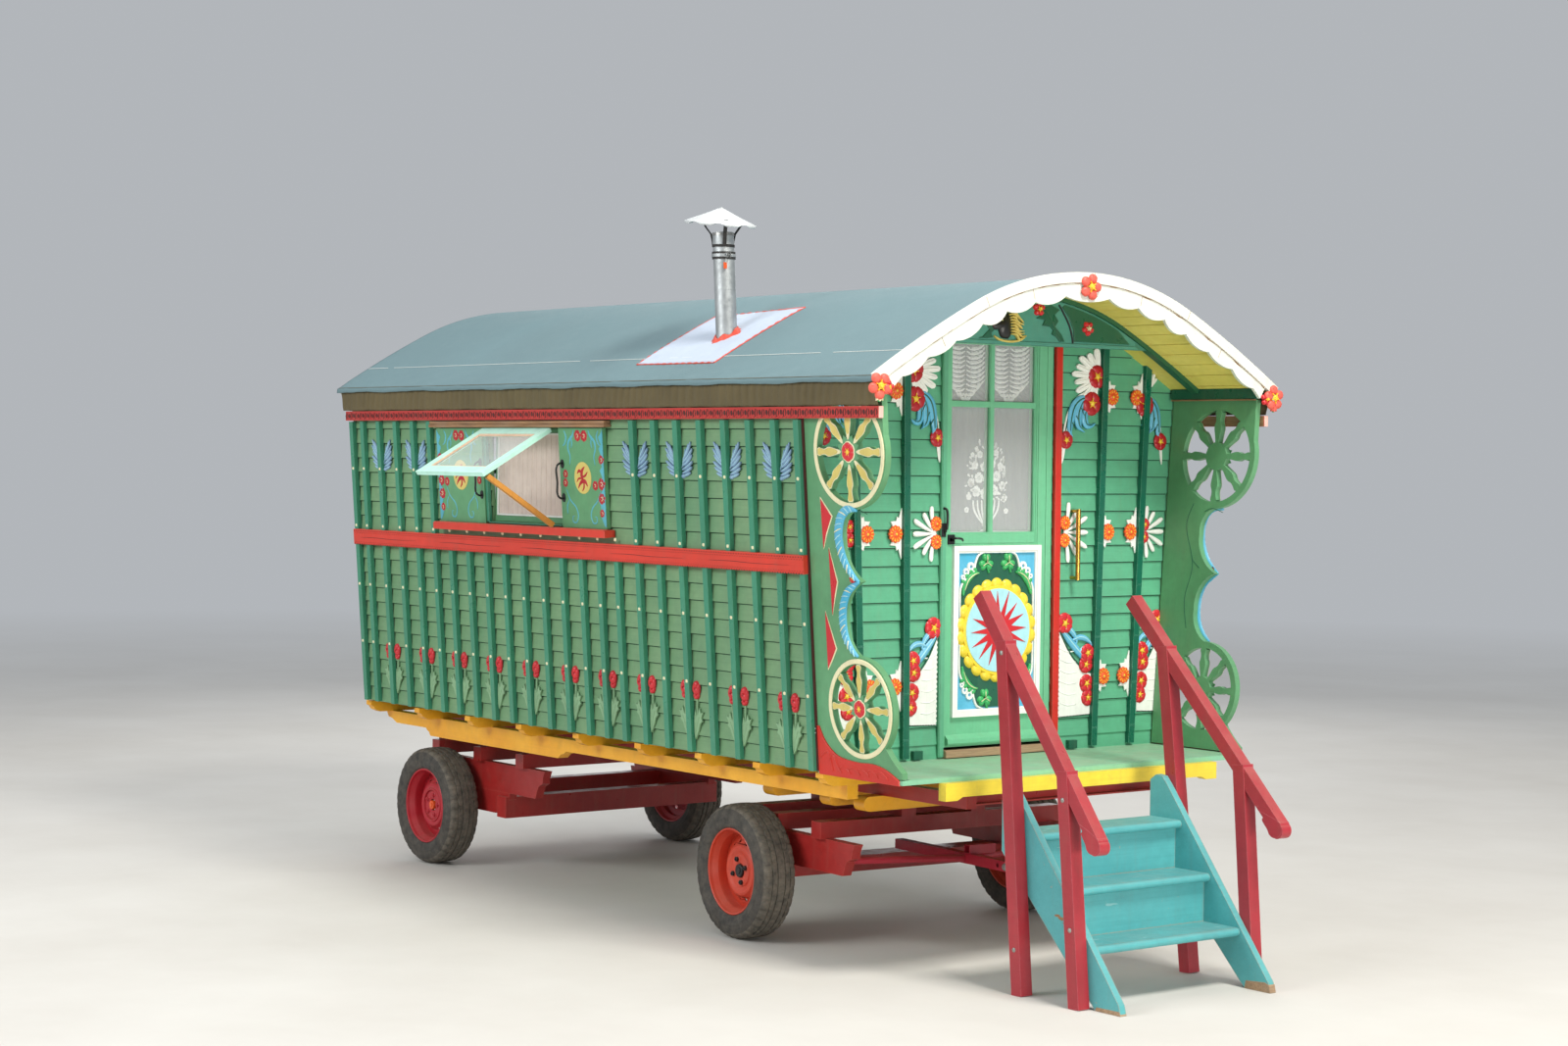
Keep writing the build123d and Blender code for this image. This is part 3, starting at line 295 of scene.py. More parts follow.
def glass_mat():
    k = Nodes("glass")
    k.bsdf.inputs["Base Color"].default_value = (0.92, 0.97, 0.96, 1)
    k.link(k.ramp(k.noise(9.0, 5.0), 0.3, 0.8, 0.02, 0.09), k.bsdf.inputs["Roughness"])
    k.bsdf.inputs["IOR"].default_value = 1.45
    k.bsdf.inputs["Alpha"].default_value = 0.22
    k.bsdf.inputs["Specular IOR Level"].default_value = 0.8
    k.link(k.bump(k.noise(3.0, 2.0), 0.05, 0.002), k.bsdf.inputs["Normal"])
    M["glass"] = k.mat


glass_mat()


def net_mat():
    """fine machine net: rows of threads with gaps between them, coloured dark grey as painted shade of the dark room
    seen through it
    """
    k = Nodes("net")
    a = k.add("TexWave", {"Vector": k.co, "Scale": 62.0, "Distortion": 1.2, "Detail": 2.0, "Detail Scale": 3.0}, wave_type="BANDS", bands_direction="Y").outputs["Fac"]
    b = k.noise(160.0, 3.0)
    # dark grey threads and darker gaps: painted shade of the room behind the net
    c = k.mix(k.ramp(a, 0.3, 0.8), lin("#43454d"), lin("#63656d"))
    c = k.mix(k.ramp(b, 0.4, 0.7, 0.0, 0.4), c, lin("#383a42"))
    k.link(c, k.bsdf.inputs["Base Color"])
    k.bsdf.inputs["Roughness"].default_value = 0.95
    k.link(k.bump(a, 0.4, 0.002), k.bsdf.inputs["Normal"])
    M["net"] = k.mat
    k = Nodes("lace")
    b = k.noise(120.0, 4.0)
    k.link(k.mix(k.ramp(b, 0.35, 0.7), lin("#d8d8da"), lin("#f4f4f2")), k.bsdf.inputs["Base Color"])
    k.link(k.ramp(b, 0.3, 0.7, 0.82, 0.98), k.bsdf.inputs["Roughness"])
    k.link(k.bump(b, 0.5, 0.001), k.bsdf.inputs["Normal"])
    M["lace"] = k.mat


net_mat()


def rubber(name, col, dusty):
    k = Nodes(name)
    base = lin(col)
    c = k.mix(k.ramp(k.noise(8.0, 6.0, 0.65), 0.3, 0.75), dim(base, 0.75), dim(base, 1.35))
    c = k.mix(k.ramp(k.noise(26.0, 7.0, 0.7), 0.35, 0.75, 0.0, dusty), c, lin("#8a8072"))
    k.link(c, k.bsdf.inputs["Base Color"])
    k.link(k.ramp(k.noise(18.0, 5.0), 0.3, 0.7, 0.62, 0.88), k.bsdf.inputs["Roughness"])
    k.bsdf.inputs["Specular IOR Level"].default_value = 0.3
    k.link(k.bump(k.noise(90.0, 5.0, 0.6), 0.35, 0.0015), k.bsdf.inputs["Normal"])
    M[name] = k.mat


rubber("tyre_side", "#3a3937", 0.35)
rubber("tyre_tread", "#4a4742", 0.65)


# ------------------------------------------------------------ mesh building
class Part:
    def __init__(self):
        self.v, self.f, self.m, self.s = [], [], [], []

    def add(self, vs, fs, m=0, smooth=False):
        o = len(self.v)
        self.v += [tuple(p) for p in vs]
        for f in fs:
            self.f.append(tuple(i + o for i in f))
            self.m.append(m)
            self.s.append(smooth)

    def extend(self, other):
        o = len(self.v)
        self.v += other.v
        self.f += [tuple(i + o for i in f) for f in other.f]
        self.m += other.m
        self.s += other.s

    def mirrored(self):
        p = Part()
        p.v = [(x, -y, z) for x, y, z in self.v]
        p.f = [tuple(reversed(f)) for f in self.f]
        p.m, p.s = list(self.m), list(self.s)
        return p

    def moved(self, fn):
        p = Part()
        p.v = [fn(q) for q in self.v]
        p.f, p.m, p.s = list(self.f), list(self.m), list(self.s)
        return p


def make(name, part, mats, body="wagon", replaces=(), bevel=0.0, seg=2, angle=35.0):
    me = bpy.data.meshes.new(name)
    me.from_pydata([W(p) for p in part.v], [], part.f)
    for m in mats:
        me.materials.append(M[m])
    me.polygons.foreach_set("material_index", part.m)
    me.polygons.foreach_set("use_smooth", part.s)
    bm = bmesh.new()
    bm.from_mesh(me)
    bmesh.ops.recalc_face_normals(bm, faces=bm.faces)
    bm.to_mesh(me)
    bm.free()
    ob = bpy.data.objects.new(name, me)
    bpy.context.collection.objects.link(ob)
    if bevel:
        b = ob.modifiers.new("edge", "BEVEL")
        b.width = bevel / 1000.0
        b.segments = seg
        b.limit_method = "ANGLE"
        b.angle_limit = radians(angle)
        b.harden_normals = False
    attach(ob, body)
    if replaces:
        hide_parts(*replaces)
    return ob


FL = atan(110.0 / 1515.0)
SF, CF = sin(FL), cos(FL)


def RIGHT(u, v, t):
    return (u, -1020.0 - v * SF - t * CF, v * CF - t * SF)


def BRK(u, v, t):
    return (u, -1018.0 - v * SF - t * CF, v * CF - t * SF)


def FRONT(u, v, t):
    return (t, u, v)


def REAR(u, v, t):
    return (-4030.0 - t, u, v)


def DOORS(u, v, t):
    return (2.0 + t, u, v)


def hexa(part, S, u0, u1, v0, v1, t0, t1, m=0):
    """plain block on a surface"""
    vs = [S(u, v, t) for t in (t0, t1) for v in (v0, v1) for u in (u0, u1)]
    part.add(vs, [(0, 1, 3, 2), (4, 6, 7, 5), (0, 4, 5, 1), (2, 3, 7, 6), (0, 2, 6, 4), (1, 5, 7, 3)], m)


def block(part, x0, x1, y0, y1, z0, z1, m=0):
    hexa(part, lambda u, v, t: (u, v, t), x0, x1, y0, y1, z0, z1, m)


def inset(poly, d):
    n = len(poly)
    area = sum(poly[i - 1][0] * poly[i][1] - poly[i][0] * poly[i - 1][1] for i in range(n))
    s = 1.0 if area > 0 else -1.0
    out = []
    for i in range(n):
        p0, p1, p2 = poly[i - 1], poly[i], poly[(i + 1) % n]
        e1 = (p1[0] - p0[0], p1[1] - p0[1])
        e2 = (p2[0] - p1[0], p2[1] - p1[1])
        l1, l2 = sqrt(e1[0] ** 2 + e1[1] ** 2) or 1.0, sqrt(e2[0] ** 2 + e2[1] ** 2) or 1.0
        n1 = (-e1[1] / l1 * s, e1[0] / l1 * s)
        n2 = (-e2[1] / l2 * s, e2[0] / l2 * s)
        b = (n1[0] + n2[0], n1[1] + n2[1])
        q = b[0] * n1[0] + b[1] * n1[1]
        k = d / max(q, 0.45)
        out.append((p1[0] + b[0] * k, p1[1] + b[1] * k))
    return out


def plate(part, S, poly, t0, t1, bev=2.0, m=0, mtop=None):
    """flat carved piece: outline on a surface, from t0 to t1, with a rounded rim"""
    n = len(poly)
    ins = inset(poly, bev)
    ins2 = inset(poly, bev * 0.3)
    rings = [[S(u, v, t0) for u, v in poly], [S(u, v, t1 - bev) for u, v in poly],
             [S(u, v, t1 - bev * 0.3) for u, v in ins2], [S(u, v, t1) for u, v in ins]]
    vs = [p for r in rings for p in r]
    fs, mm = [], m if mtop is None else mtop
    for k in range(3):
        for i in range(n):
            j = (i + 1) % n
            fs.append((k * n + i, k * n + j, (k + 1) * n + j, (k + 1) * n + i))
    part.add(vs, fs + [tuple(range(n))[::-1]], m)
    o = len(part.v) - n
    part.f.append(tuple(range(o, o + n)))
    part.m.append(mm)
    part.s.append(False)


def puff(part, S, poly, c, t0, h, m=0, rings=3):
    """domed piece over an outline round its centre"""
    n = len(poly)
    vs, fs = [], []
    for k in range(rings):
        a = k / rings * pi / 2
        q = cos(a)
        vs += [S(c[0] + (u - c[0]) * q, c[1] + (v - c[1]) * q, t0 + h * sin(a)) for u, v in poly]
    vs.append(S(c[0], c[1], t0 + h))
    for k in range(rings - 1):
        for i in range(n):
            j = (i + 1) % n
            fs.append((k * n + i, k * n + j, (k + 1) * n + j, (k + 1) * n + i))
    top = rings * n
    for i in range(n):
        fs.append(((rings - 1) * n + i, (rings - 1) * n + (i + 1) % n, top))
    part.add(vs, fs, m, True)
    part.add(vs[:n], [tuple(range(n))[::-1]], m)


def ell(c, rx, ry=None, rot=0.0, n=16):
    ry = rx if ry is None else ry
    out = []
    for i in range(n):
        a = 2 * pi * i / n
        x, y = rx * cos(a), ry * sin(a)
        out.append((c[0] + x * cos(rot) - y * sin(rot), c[1] + x * sin(rot) + y * cos(rot)))
    return out


def egg(c, ang, r0, r1, w, n=14):
    """petal outline pointing along ang from c, from r0 to r1, widest near the tip"""
    out = []
    for i in range(n):
        a = 2 * pi * i / n
        s = (1 + cos(a)) / 2
        x = r0 + (r1 - r0) * (1 - s)
        y = w / 2 * sin(a) * (0.55 + 0.75 * (1 - s))
        out.append((c[0] + x * cos(ang) - y * sin(ang), c[1] + x * sin(ang) + y * cos(ang)))
    return out


def flower(part, S, c, r, t0, m_pet, m_mid, n=5, h=9.0, rot=0.3, mid=0.26, sq=1.0, notch=False):
    for k in range(n):
        a = rot + 2 * pi * k / n
        o = egg(c, a, r * 0.12, r, r * 2 * sin(pi / n) * 0.98)
        if sq != 1.0:
            o = [(c[0] + (u - c[0]) * sq, v) for u, v in o]
        cc = (c[0] + cos(a) * r * 0.60 * sq, c[1] + sin(a) * r * 0.60)
        puff(part, S, o, cc, t0, h, m_pet)
    puff(part, S, ell(c, r * mid * sq, r * mid, 0, 12), c, t0 + h * 0.35, h * 0.9, m_mid)
    for k in range(n):
        a = rot + 2 * pi * (k + 0.5) / n
        st = [(c[0] + cos(a + e) * q * r * sq, c[1] + sin(a + e) * q * r) for e, q in ((-0.16, 0.24), (0.16, 0.24), (0.05, 0.44), (-0.05, 0.44))]
        plate(part, S, st, t0 + h * 0.3, t0 + h * 0.98, 0.6, m_mid)


def daisy(part, S, c, r, t0, m_ring, m_mid, m_dot, h=9.0, sq=1.0):
    n = 12
    o = []
    for i in range(n * 4):
        a = 2 * pi * i / (n * 4)
        q = r * (0.95 + 0.06 * cos(a * n))
        o.append((c[0] + q * cos(a) * sq, c[1] + q * sin(a)))
    plate(part, S, o, t0, t0 + h, 3.0, m_ring)
    for k in range(n):
        a = 2 * pi * (k + 0.5) / n
        st = [(c[0] + cos(a + e) * q * r * sq, c[1] + sin(a + e) * q * r) for e, q in ((-0.05, 0.50), (0.05, 0.50), (0.07, 0.82), (-0.07, 0.82))]
        plate(part, S, st, t0 + h - 1, t0 + h + 1.6, 0.5, m_dot)
    puff(part, S, ell(c, r * 0.40 * sq, r * 0.40, 0, 14), c, t0 + h - 1, 5.0, m_mid)
    puff(part, S, ell(c, r * 0.16 * sq, r * 0.16, 0, 10), c, t0 + h + 2.5, 4.0, m_dot)


def smooth_path(pts, per=6):
    """Catmull-Rom through points (any length tuples)"""
    P = [pts[0]] + list(pts) + [pts[-1]]
    out = []
    for i in range(1, len(P) - 2):
        for s in range(per):
            t = s / per
            out.append(tuple(0.5 * (2 * b + (c - a) * t + (2 * a - 5 * b + 4 * c - d) * t * t + (3 * b - a - 3 * c + d) * t ** 3)
                             for a, b, c, d in zip(P[i - 1], P[i], P[i + 1], P[i + 2])))
    out.append(tuple(float(q) for q in pts[-1]))
    return out


def stroke(part, S, pts, t0, h, m=0, per=5, flat=False):
    """ribbon in relief along (u, v, width) points"""
    path = smooth_path(pts, per)
    n = len(path)
    prof = ((-0.5, 0.0), (-0.44, 0.62), (-0.22, 0.92), (0.0, 1.0), (0.22, 0.92), (0.44, 0.62), (0.5, 0.0))
    if flat:
        prof = ((-0.5, 0.0), (-0.5, 0.8), (-0.4, 1.0), (0.4, 1.0), (0.5, 0.8), (0.5, 0.0))
    q = len(prof)
    vs, fs = [], []
    for i, (u, v, w) in enumerate(path):
        a, b = path[max(0, i - 1)], path[min(n - 1, i + 1)]
        du, dv = b[0] - a[0], b[1] - a[1]
        l = sqrt(du * du + dv * dv) or 1.0
        nu, nv = -dv / l, du / l
        for e, g in prof:
            vs.append(S(u + nu * e * w, v + nv * e * w, t0 + h * g))
    for i in range(n - 1):
        for j in range(q):
            jj = (j + 1) % q
            fs.append((i * q + j, i * q + jj, (i + 1) * q + jj, (i + 1) * q + j))
    part.add(vs, fs + [tuple(range(q)), tuple(range((n - 1) * q, n * q))[::-1]], m, not flat)


def tube(part, pts, r, m=0, n=12, caps=True):
    """round bar along 3-D points (mm)"""
    vs, fs = [], []
    P = [Vector(p) for p in pts]
    rr = r if isinstance(r, (list, tuple)) else [r] * len(P)
    for i, p in enumerate(P):
        d = (P[min(i + 1, len(P) - 1)] - P[max(i - 1, 0)]).normalized()
        ref = Vector((0, 0, 1)) if abs(d.z) < 0.9 else Vector((1, 0, 0))
        a = d.cross(ref).normalized()
        b = d.cross(a).normalized()
        for k in range(n):
            t = 2 * pi * k / n
            vs.append(tuple(p + (a * cos(t) + b * sin(t)) * rr[i]))
    for i in range(len(P) - 1):
        for k in range(n):
            kk = (k + 1) % n
            fs.append((i * n + k, i * n + kk, (i + 1) * n + kk, (i + 1) * n + k))
    part.add(vs, fs, m, True)
    if caps:
        part.add(vs[:n], [tuple(range(n))], m)
        part.add(vs[-n:], [tuple(range(n))[::-1]], m)


def holed(part, S, outer, holes, t0, t1, m_out=0, m_side=0, m_in=0):
    """flat board with holes right through, from t0 (inner face) to t1 (outer face)"""
    loops = [outer] + holes
    tris = tessellate_polygon([[Vector((u, v, 0)) for u, v in l] for l in loops])
    flat = [p for l in loops for p in l]
    n = len(flat)
    vs = [S(u, v, t1) for u, v in flat] + [S(u, v, t0) for u, v in flat]
    part.add(vs, [tuple(t) for t in tris], m_out)
    o = len(part.v) - 2 * n
    for t in tris:
        part.f.append(tuple(o + n + i for i in reversed(t)))
        part.m.append(m_in)
        part.s.append(False)
    base = 0
    for l in loops:
        for i in range(len(l)):
            j = (i + 1) % len(l)
            part.f.append((o + base + i, o + base + j, o + n + base + j, o + n + base + i))
            part.m.append(m_side)
            part.s.append(False)
        base += len(l)


def prism(part, pts, axis, a0, a1, m=0):
    """polygon pulled along an axis: x -> (y, z), y -> (x, z), z -> (x, y)"""
    def P(u, v, t):
        return {"x": (t, u, v), "y": (u, t, v), "z": (u, v, t)}[axis]
    n = len(pts)
    vs = [P(u, v, a0) for u, v in pts] + [P(u, v, a1) for u, v in pts]
    part.add(vs, [tuple(range(n)), tuple(range(n, 2 * n))[::-1]] + [(i, (i + 1) % n, n + (i + 1) % n, n + i) for i in range(n)], m)


def recolour(node, mat, *more):
    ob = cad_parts[node]
    mats = (mat,) + more
    if not ob.data.materials:
        ob.data.materials.append(M[mat])
    for i in range(len(ob.material_slots)):
        ob.material_slots[i].material = M[mats[min(i, len(mats) - 1)]]
    return ob


# ------------------------------------------------------------- camera, light
scene = bpy.context.scene
cam_d = bpy.data.cameras.new("camera")
cam_d.lens = 63.72
cam_d.sensor_width = 36.0
cam_d.sensor_fit = "HORIZONTAL"
cam_d.clip_end = 200.0
cam = bpy.data.objects.new("camera", cam_d)
bpy.context.collection.objects.link(cam)
yaw, pitch, roll = radians(37.183), radians(1.42), radians(0.687)
fwd = Vector((-cos(yaw) * cos(pitch), sin(yaw) * cos(pitch), -sin(pitch)))
rgt = fwd.cross(Vector((0, 0, 1))).normalized()
up = rgt.cross(fwd)
r2 = cos(roll) * rgt + sin(roll) * up
u2 = -sin(roll) * rgt + cos(roll) * up
rot = Matrix((r2, u2, -fwd)).transposed()
cam.matrix_world = Matrix.Translation((9.4852 + SX / 1000.0, -8.4162, ZF / 1000.0 + 1.3585)) @ rot.to_4x4()
scene.camera = cam
scene.view_settings.view_transform = "Standard"

world = bpy.data.worlds.new("studio")
scene.world = world
world.use_nodes = True
world.node_tree.nodes["Background"].inputs[0].default_value = (0.86, 0.90, 0.95, 1.0)
world.node_tree.nodes["Background"].inputs[1].default_value = 0.52


def area(name, loc, target, size, power, col=(1, 1, 1)):
    d = bpy.data.lights.new(name, "AREA")
    d.shape = "RECTANGLE"
    d.size, d.size_y = size
    d.energy = power
    d.color = col
    o = bpy.data.objects.new(name, d)
    bpy.context.collection.objects.link(o)
    o.location = loc
    o.rotation_euler = (Vector(target) - Vector(loc)).to_track_quat("-Z", "Y").to_euler()
    return o


area("key", (6.6, -0.6, 9.0), (0.9, -0.1, 1.0), (2.4, 2.4), 820.0, (1.0, 0.97, 0.91))
area("fill", (-1.0, -11.0, 6.5), (-0.8, 0.0, 1.2), (6.0, 3.5), 640.0, (0.97, 0.99, 1.0))
area("bounce", (11.0, -1.6, 0.8), (1.6, 0.0, 2.6), (5.0, 1.4), 400.0, (1.0, 0.96, 0.88))
area("top", (-2.0, 0.5, 9.0), (-0.6, 0.0, 1.5), (8.0, 6.0), 230.0, (1.0, 1.0, 1.0))
area("back", (-9.0, 7.0, 5.0), (-0.6, 0.0, 1.4), (6.0, 4.0), 220.0, (1.0, 1.0, 1.0))

fl = Part()
R = 60000.0
ring = [(R * cos(2 * pi * i / 64), R * sin(2 * pi * i / 64), -ZF - 0.4) for i in range(64)]
fl.add(ring, [tuple(range(64))])
fm = Nodes("floor")
fc = fm.mix(fm.ramp(fm.noise(0.6, 6.0, 0.6), 0.3, 0.7), lin("#cdc9c2"), lin("#d8d5cf"))
fm.link(fc, fm.bsdf.inputs["Base Color"])
fm.link(fm.ramp(fm.noise(6.0, 5.0), 0.3, 0.7, 0.75, 0.9), fm.bsdf.inputs["Roughness"])
fm.link(fm.bump(fm.noise(60.0, 5.0), 0.15, 0.002), fm.bsdf.inputs["Normal"])
far = fm.add("VectorMath", {0: fm.co}, operation="LENGTH")
glow = fm.add("Emission", {"Color": (0.86, 0.90, 0.95, 1.0), "Strength": 0.52})
blendf = fm.ramp(far.outputs["Value"], 9.0, 26.0)
mixs = fm.add("MixShader", {0: blendf, 1: fm.bsdf.outputs[0], 2: glow.outputs[0]})
fm.link(mixs.outputs[0], fm.out.inputs["Surface"])
M["floor"] = fm.mat
fme = bpy.data.meshes.new("floor")
fme.from_pydata([W(p) for p in fl.v], [], fl.f)
fme.materials.append(M["floor"])
fob = bpy.data.objects.new("floor", fme)
bpy.context.collection.objects.link(fob)

# ------------------------------------------------------------------- sizes
RIBS = (-19, -186, -371, -558, -745, -931, -1112, -1290, -1467, -1620, -1778, -1952, -2129, -2313,
        -2487, -2663, -2835, -3011, -3176, -3349, -3531, -3714, -3891, -4011)
WX0, WX1, WV0, WV1 = -2612.0, -1938.0, 1005.6, 1475.9
RIDGE_R, RIDGE_Z, FLANK_R, FLANK_A = 1410.0, 740.0, 5980.0, atan(0.5)
RIDGE_S = RIDGE_R * FLANK_A
FLANK_Y = (RIDGE_R - FLANK_R) * sin(FLANK_A)
FLANK_Z = RIDGE_Z + (RIDGE_R - FLANK_R) * cos(FLANK_A)


def roof(s, d=0.0):
    """(y, z) of the roof arc at length s from the ridge, d below the canvas face"""
    if abs(s) <= RIDGE_S:
        return ((RIDGE_R - d) * sin(s / RIDGE_R), RIDGE_Z + (RIDGE_R - d) * cos(s / RIDGE_R))
    a = FLANK_A + (abs(s) - RIDGE_S) / FLANK_R
    y = FLANK_Y + (FLANK_R - d) * sin(a)
    return (y if s > 0 else -y, FLANK_Z + (FLANK_R - d) * cos(a))


def roof_at(y):
    """length from the ridge to where the canvas face stands y from the middle"""
    y = abs(y)
    if y < RIDGE_R * sin(FLANK_A):
        return RIDGE_R * asin(y / RIDGE_R)
    return RIDGE_S + FLANK_R * (asin((y - FLANK_Y) / FLANK_R) - FLANK_A)


def roof_half(z, d):
    """half width of the arc at depth d and height z"""
    if z > RIDGE_Z + (RIDGE_R - d) * cos(FLANK_A):
        return sqrt(max(0.0, (RIDGE_R - d) ** 2 - (z - RIDGE_Z) ** 2))
    return FLANK_Y + sqrt((FLANK_R - d) ** 2 - (z - FLANK_Z) ** 2)


def half_y(z, back=25.0):
    y = 1020.0 + 110.0 * z / 1515.0 - back
    if z > 1560:
        y = min(y, roof_half(z, 47.0))
    return y


# ---------------------------------------------------- lapped boards, side walls
# dark green for the strips under each board lap: painted shade under the lip above, with some dirt in the lap
paint("lap_shade_dirt", "#1d4733", 0.7, 0.10, "x", 0.2, dust=0.05, dirt=0.3)


def side_boards():
    p = Part()
    back, lap0, lap1 = -24.0, 0.8, -8.5
    for u0, u1, v0, v1 in ((-4030, WX0, -18, 1684), (WX1, 0, -18, 1684), (WX0, WX1, -18, WV0), (WX0, WX1, WV1, 1684)):
        hexa(p, RIGHT, u0, u1, v0, v1, back, -9.0)
    pitch, v = 78.4, -16.0
    rnd = random.Random(3)
    while v < 1680:
        top = min(v + pitch, 1684.0)
        j = rnd.uniform(-0.9, 0.6)
        cuts = [v] + [c for c in (WV0, WV1) if v + 1 < c < top - 1] + [top]
        for a, b in zip(cuts[:-1], cuts[1:]):
            mid = (a + b) / 2
            spans = ((-4030.0, WX0), (WX1, 0.0)) if WV0 < mid < WV1 else ((-4030.0, 0.0),)
            ta = lap0 + j + (lap1 - lap0) * (a - v) / pitch
            tb = lap0 + j + (lap1 - lap0) * (b - v) / pitch
            for u0, u1 in spans:
                r = 2.0 if a == v else 0.0
                if a == v and v > 0:
                    # dark strip just under this board's lower lip: painted shade of the lap, with some dirt
                    hexa(p, RIGHT, u0 + 1, u1 - 1, a - 4.6, a + 0.5, -9.2, lap1 + 1.5, 1)
                vs = [RIGHT(u0, a, -9.2), RIGHT(u1, a, -9.2), RIGHT(u0, a, ta - r), RIGHT(u1, a, ta - r),
                      RIGHT(u0, a + r, ta), RIGHT(u1, a + r, ta), RIGHT(u0, b, tb), RIGHT(u1, b, tb), RIGHT(u0, b, -9.2), RIGHT(u1, b, -9.2)]
                p.add(vs, [(0, 1, 3, 2), (2, 3, 5, 4), (4, 5, 7, 6), (6, 7, 9, 8), (8, 9, 1, 0), (0, 2, 4, 6, 8), (1, 9, 7, 5, 3)])
        v += pitch
    return p


sb = side_boards()
make("side_boards_right", sb, ["side_board", "lap_shade_dirt"], replaces=("side_wall_right",))
make("side_boards_left", sb.mirrored(), ["side_board", "lap_shade_dirt"], replaces=("side_wall_left",))


def end_boards(S, openings, z_end, first, pitch, seed, t_back, step=9.0):
    """lapped boards on an end wall; openings are (y0, y1, z0, z1)"""
    p = Part()
    rnd = random.Random(seed)
    levels = sorted(set([0.0] + [first + pitch * i for i in range(-1, 40) if 0 < first + pitch * i < z_end] + [z_end]))
    lap0, lap1 = 0.8, -step
    for a0, b0 in zip(levels[:-1], levels[1:]):
        j = rnd.uniform(-0.8, 0.5)
        cuts = [a0] + sorted(c for o in openings for c in (o[2], o[3]) if a0 + 0.5 < c < b0 - 0.5) + [b0]
        for a, b in zip(cuts[:-1], cuts[1:]):
            mid = (a + b) / 2
            gaps = [o for o in openings if o[2] < mid < o[3]]
            n = 6 if mid > 1560 else 2
            zs = [a + (b - a) * i / n for i in range(n + 1)]
            sides = [(None, gaps[0][0]), (gaps[0][1], None)] if gaps else [(None, None)]
            for l, r in sides:
                rows = []
                for z in zs:
                    y0 = -half_y(z) if l is None else l
                    y1 = half_y(z) if r is None else r
                    t = lap0 + j + (lap1 - lap0) * (z - a0) / pitch
                    rows.append((y0, y1, z, t))
                if rows[-1][1] - rows[-1][0] < 1.0:
                    rows = rows[:-1]
                if a == a0 and a0 > 0 and len(rows) > 1:
                    # dark strip just under this board's lower lip: painted shade of the lap, with some dirt
                    hexa(p, S, rows[0][0] + 6, rows[0][1] - 6, a - 4.6, a + 0.5, t_back + 2, lap1 + 1.5, 1)
                vs, fs = [], []
                for y0, y1, z, t in rows:
                    vs += [S(y0, z, t_back), S(y0, z, t), S(y1, z, t), S(y1, z, t_back)]
                for i in range(len(rows) - 1):
                    for k in range(4):
                        kk = (k + 1) % 4
                        fs.append((i * 4 + k, i * 4 + kk, (i + 1) * 4 + kk, (i + 1) * 4 + k))
                e = (len(rows) - 1) * 4
                p.add(vs, fs + [(0, 3, 2, 1), (e, e + 1, e + 2, e + 3)])
    return p


fw = end_boards(FRONT, [(-316.0, 335.0, -1.0, 1928.0)], 2101.0, 64.5, 80.5, 5, -32.0)
make("front_boards", fw, ["front_board", "lap_shade_dirt"], replaces=("front_wall",))
rw = end_boards(REAR, [(-250.0, 250.0, 1040.0, 1440.0)], 2101.0, 30.0, 78.4, 6, -32.0)
make("rear_boards", rw, ["side_board", "lap_shade_dirt"], replaces=("rear_wall",))

# ------------------------------------------------------ carried-over CAD parts
for n_, m_ in (("floor_joists", "sill_yellow"), ("floor_sills", "sill_yellow"), ("front_bolsters", "sill_yellow"), ("porch_footboard", "deck_yellow"),
               ("chassis_rails", "chassis_red"), ("side_ribs_right", "side_rib"), ("side_ribs_left", "side_rib"), ("end_ribs", "front_rib"),
               ("belt_rails", "belt_red"), ("crown_boards", "crown_red"), ("roof_boards", "ceiling"), ("roof_bows", "bow_green"), ("roof_fascias", "ivory"),
               ("tympanum", "teal"), ("grab_rail", "brass"), ("door_leaf", "door_mint"), ("door_glass", "glass"), ("window_sashes", "sash_mint"),
               ("window_glass", "glass"), ("sash_props", "prop_orange"), ("sliding_shutters", "shutter"), ("chimney_pipe", "zinc"),
               ("rear_frame", "chassis_red"), ("rear_axle", "chassis_red"), ("turntable_top_plate", "rust_red"), ("turntable_plate", "rust_red"),
               ("bogie_frame", "chassis_red"), ("bogie_boards", "chassis_red"), ("front_axle", "chassis_red"), ("drawbar", "tube_red"), ("drawbar_braces", "tube_red"),
               ("step_stringers", "steps_teal"), ("step_treads", "steps_teal"), ("handrail_posts", "raspberry"), ("handrails", "raspberry"),
               ("door_fittings", "black_paint"), ("floor_boards", "deck_green"), ("door_frame", "frame_red"), ("window_trims", "belt_red"),
               ("inner_shutters", "rose_white"), ("chimney_cap", "zinc_white"), ("chimney_flashing", "lead_white"), ("roof_canvas", "canvas"), ("canvas_skirts", "skirt"),
               ("porch_bracket_right", "side_rib"), ("porch_bracket_left", "side_rib"), ("door_panel", "white"), ("door_curtains", "net")):
    recolour(n_, m_)
for n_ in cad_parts:
    if n_.startswith("tyre_"):
        recolour(n_, "tyre_side")
    if n_.startswith("rim_"):
        recolour(n_, "rim_orange")

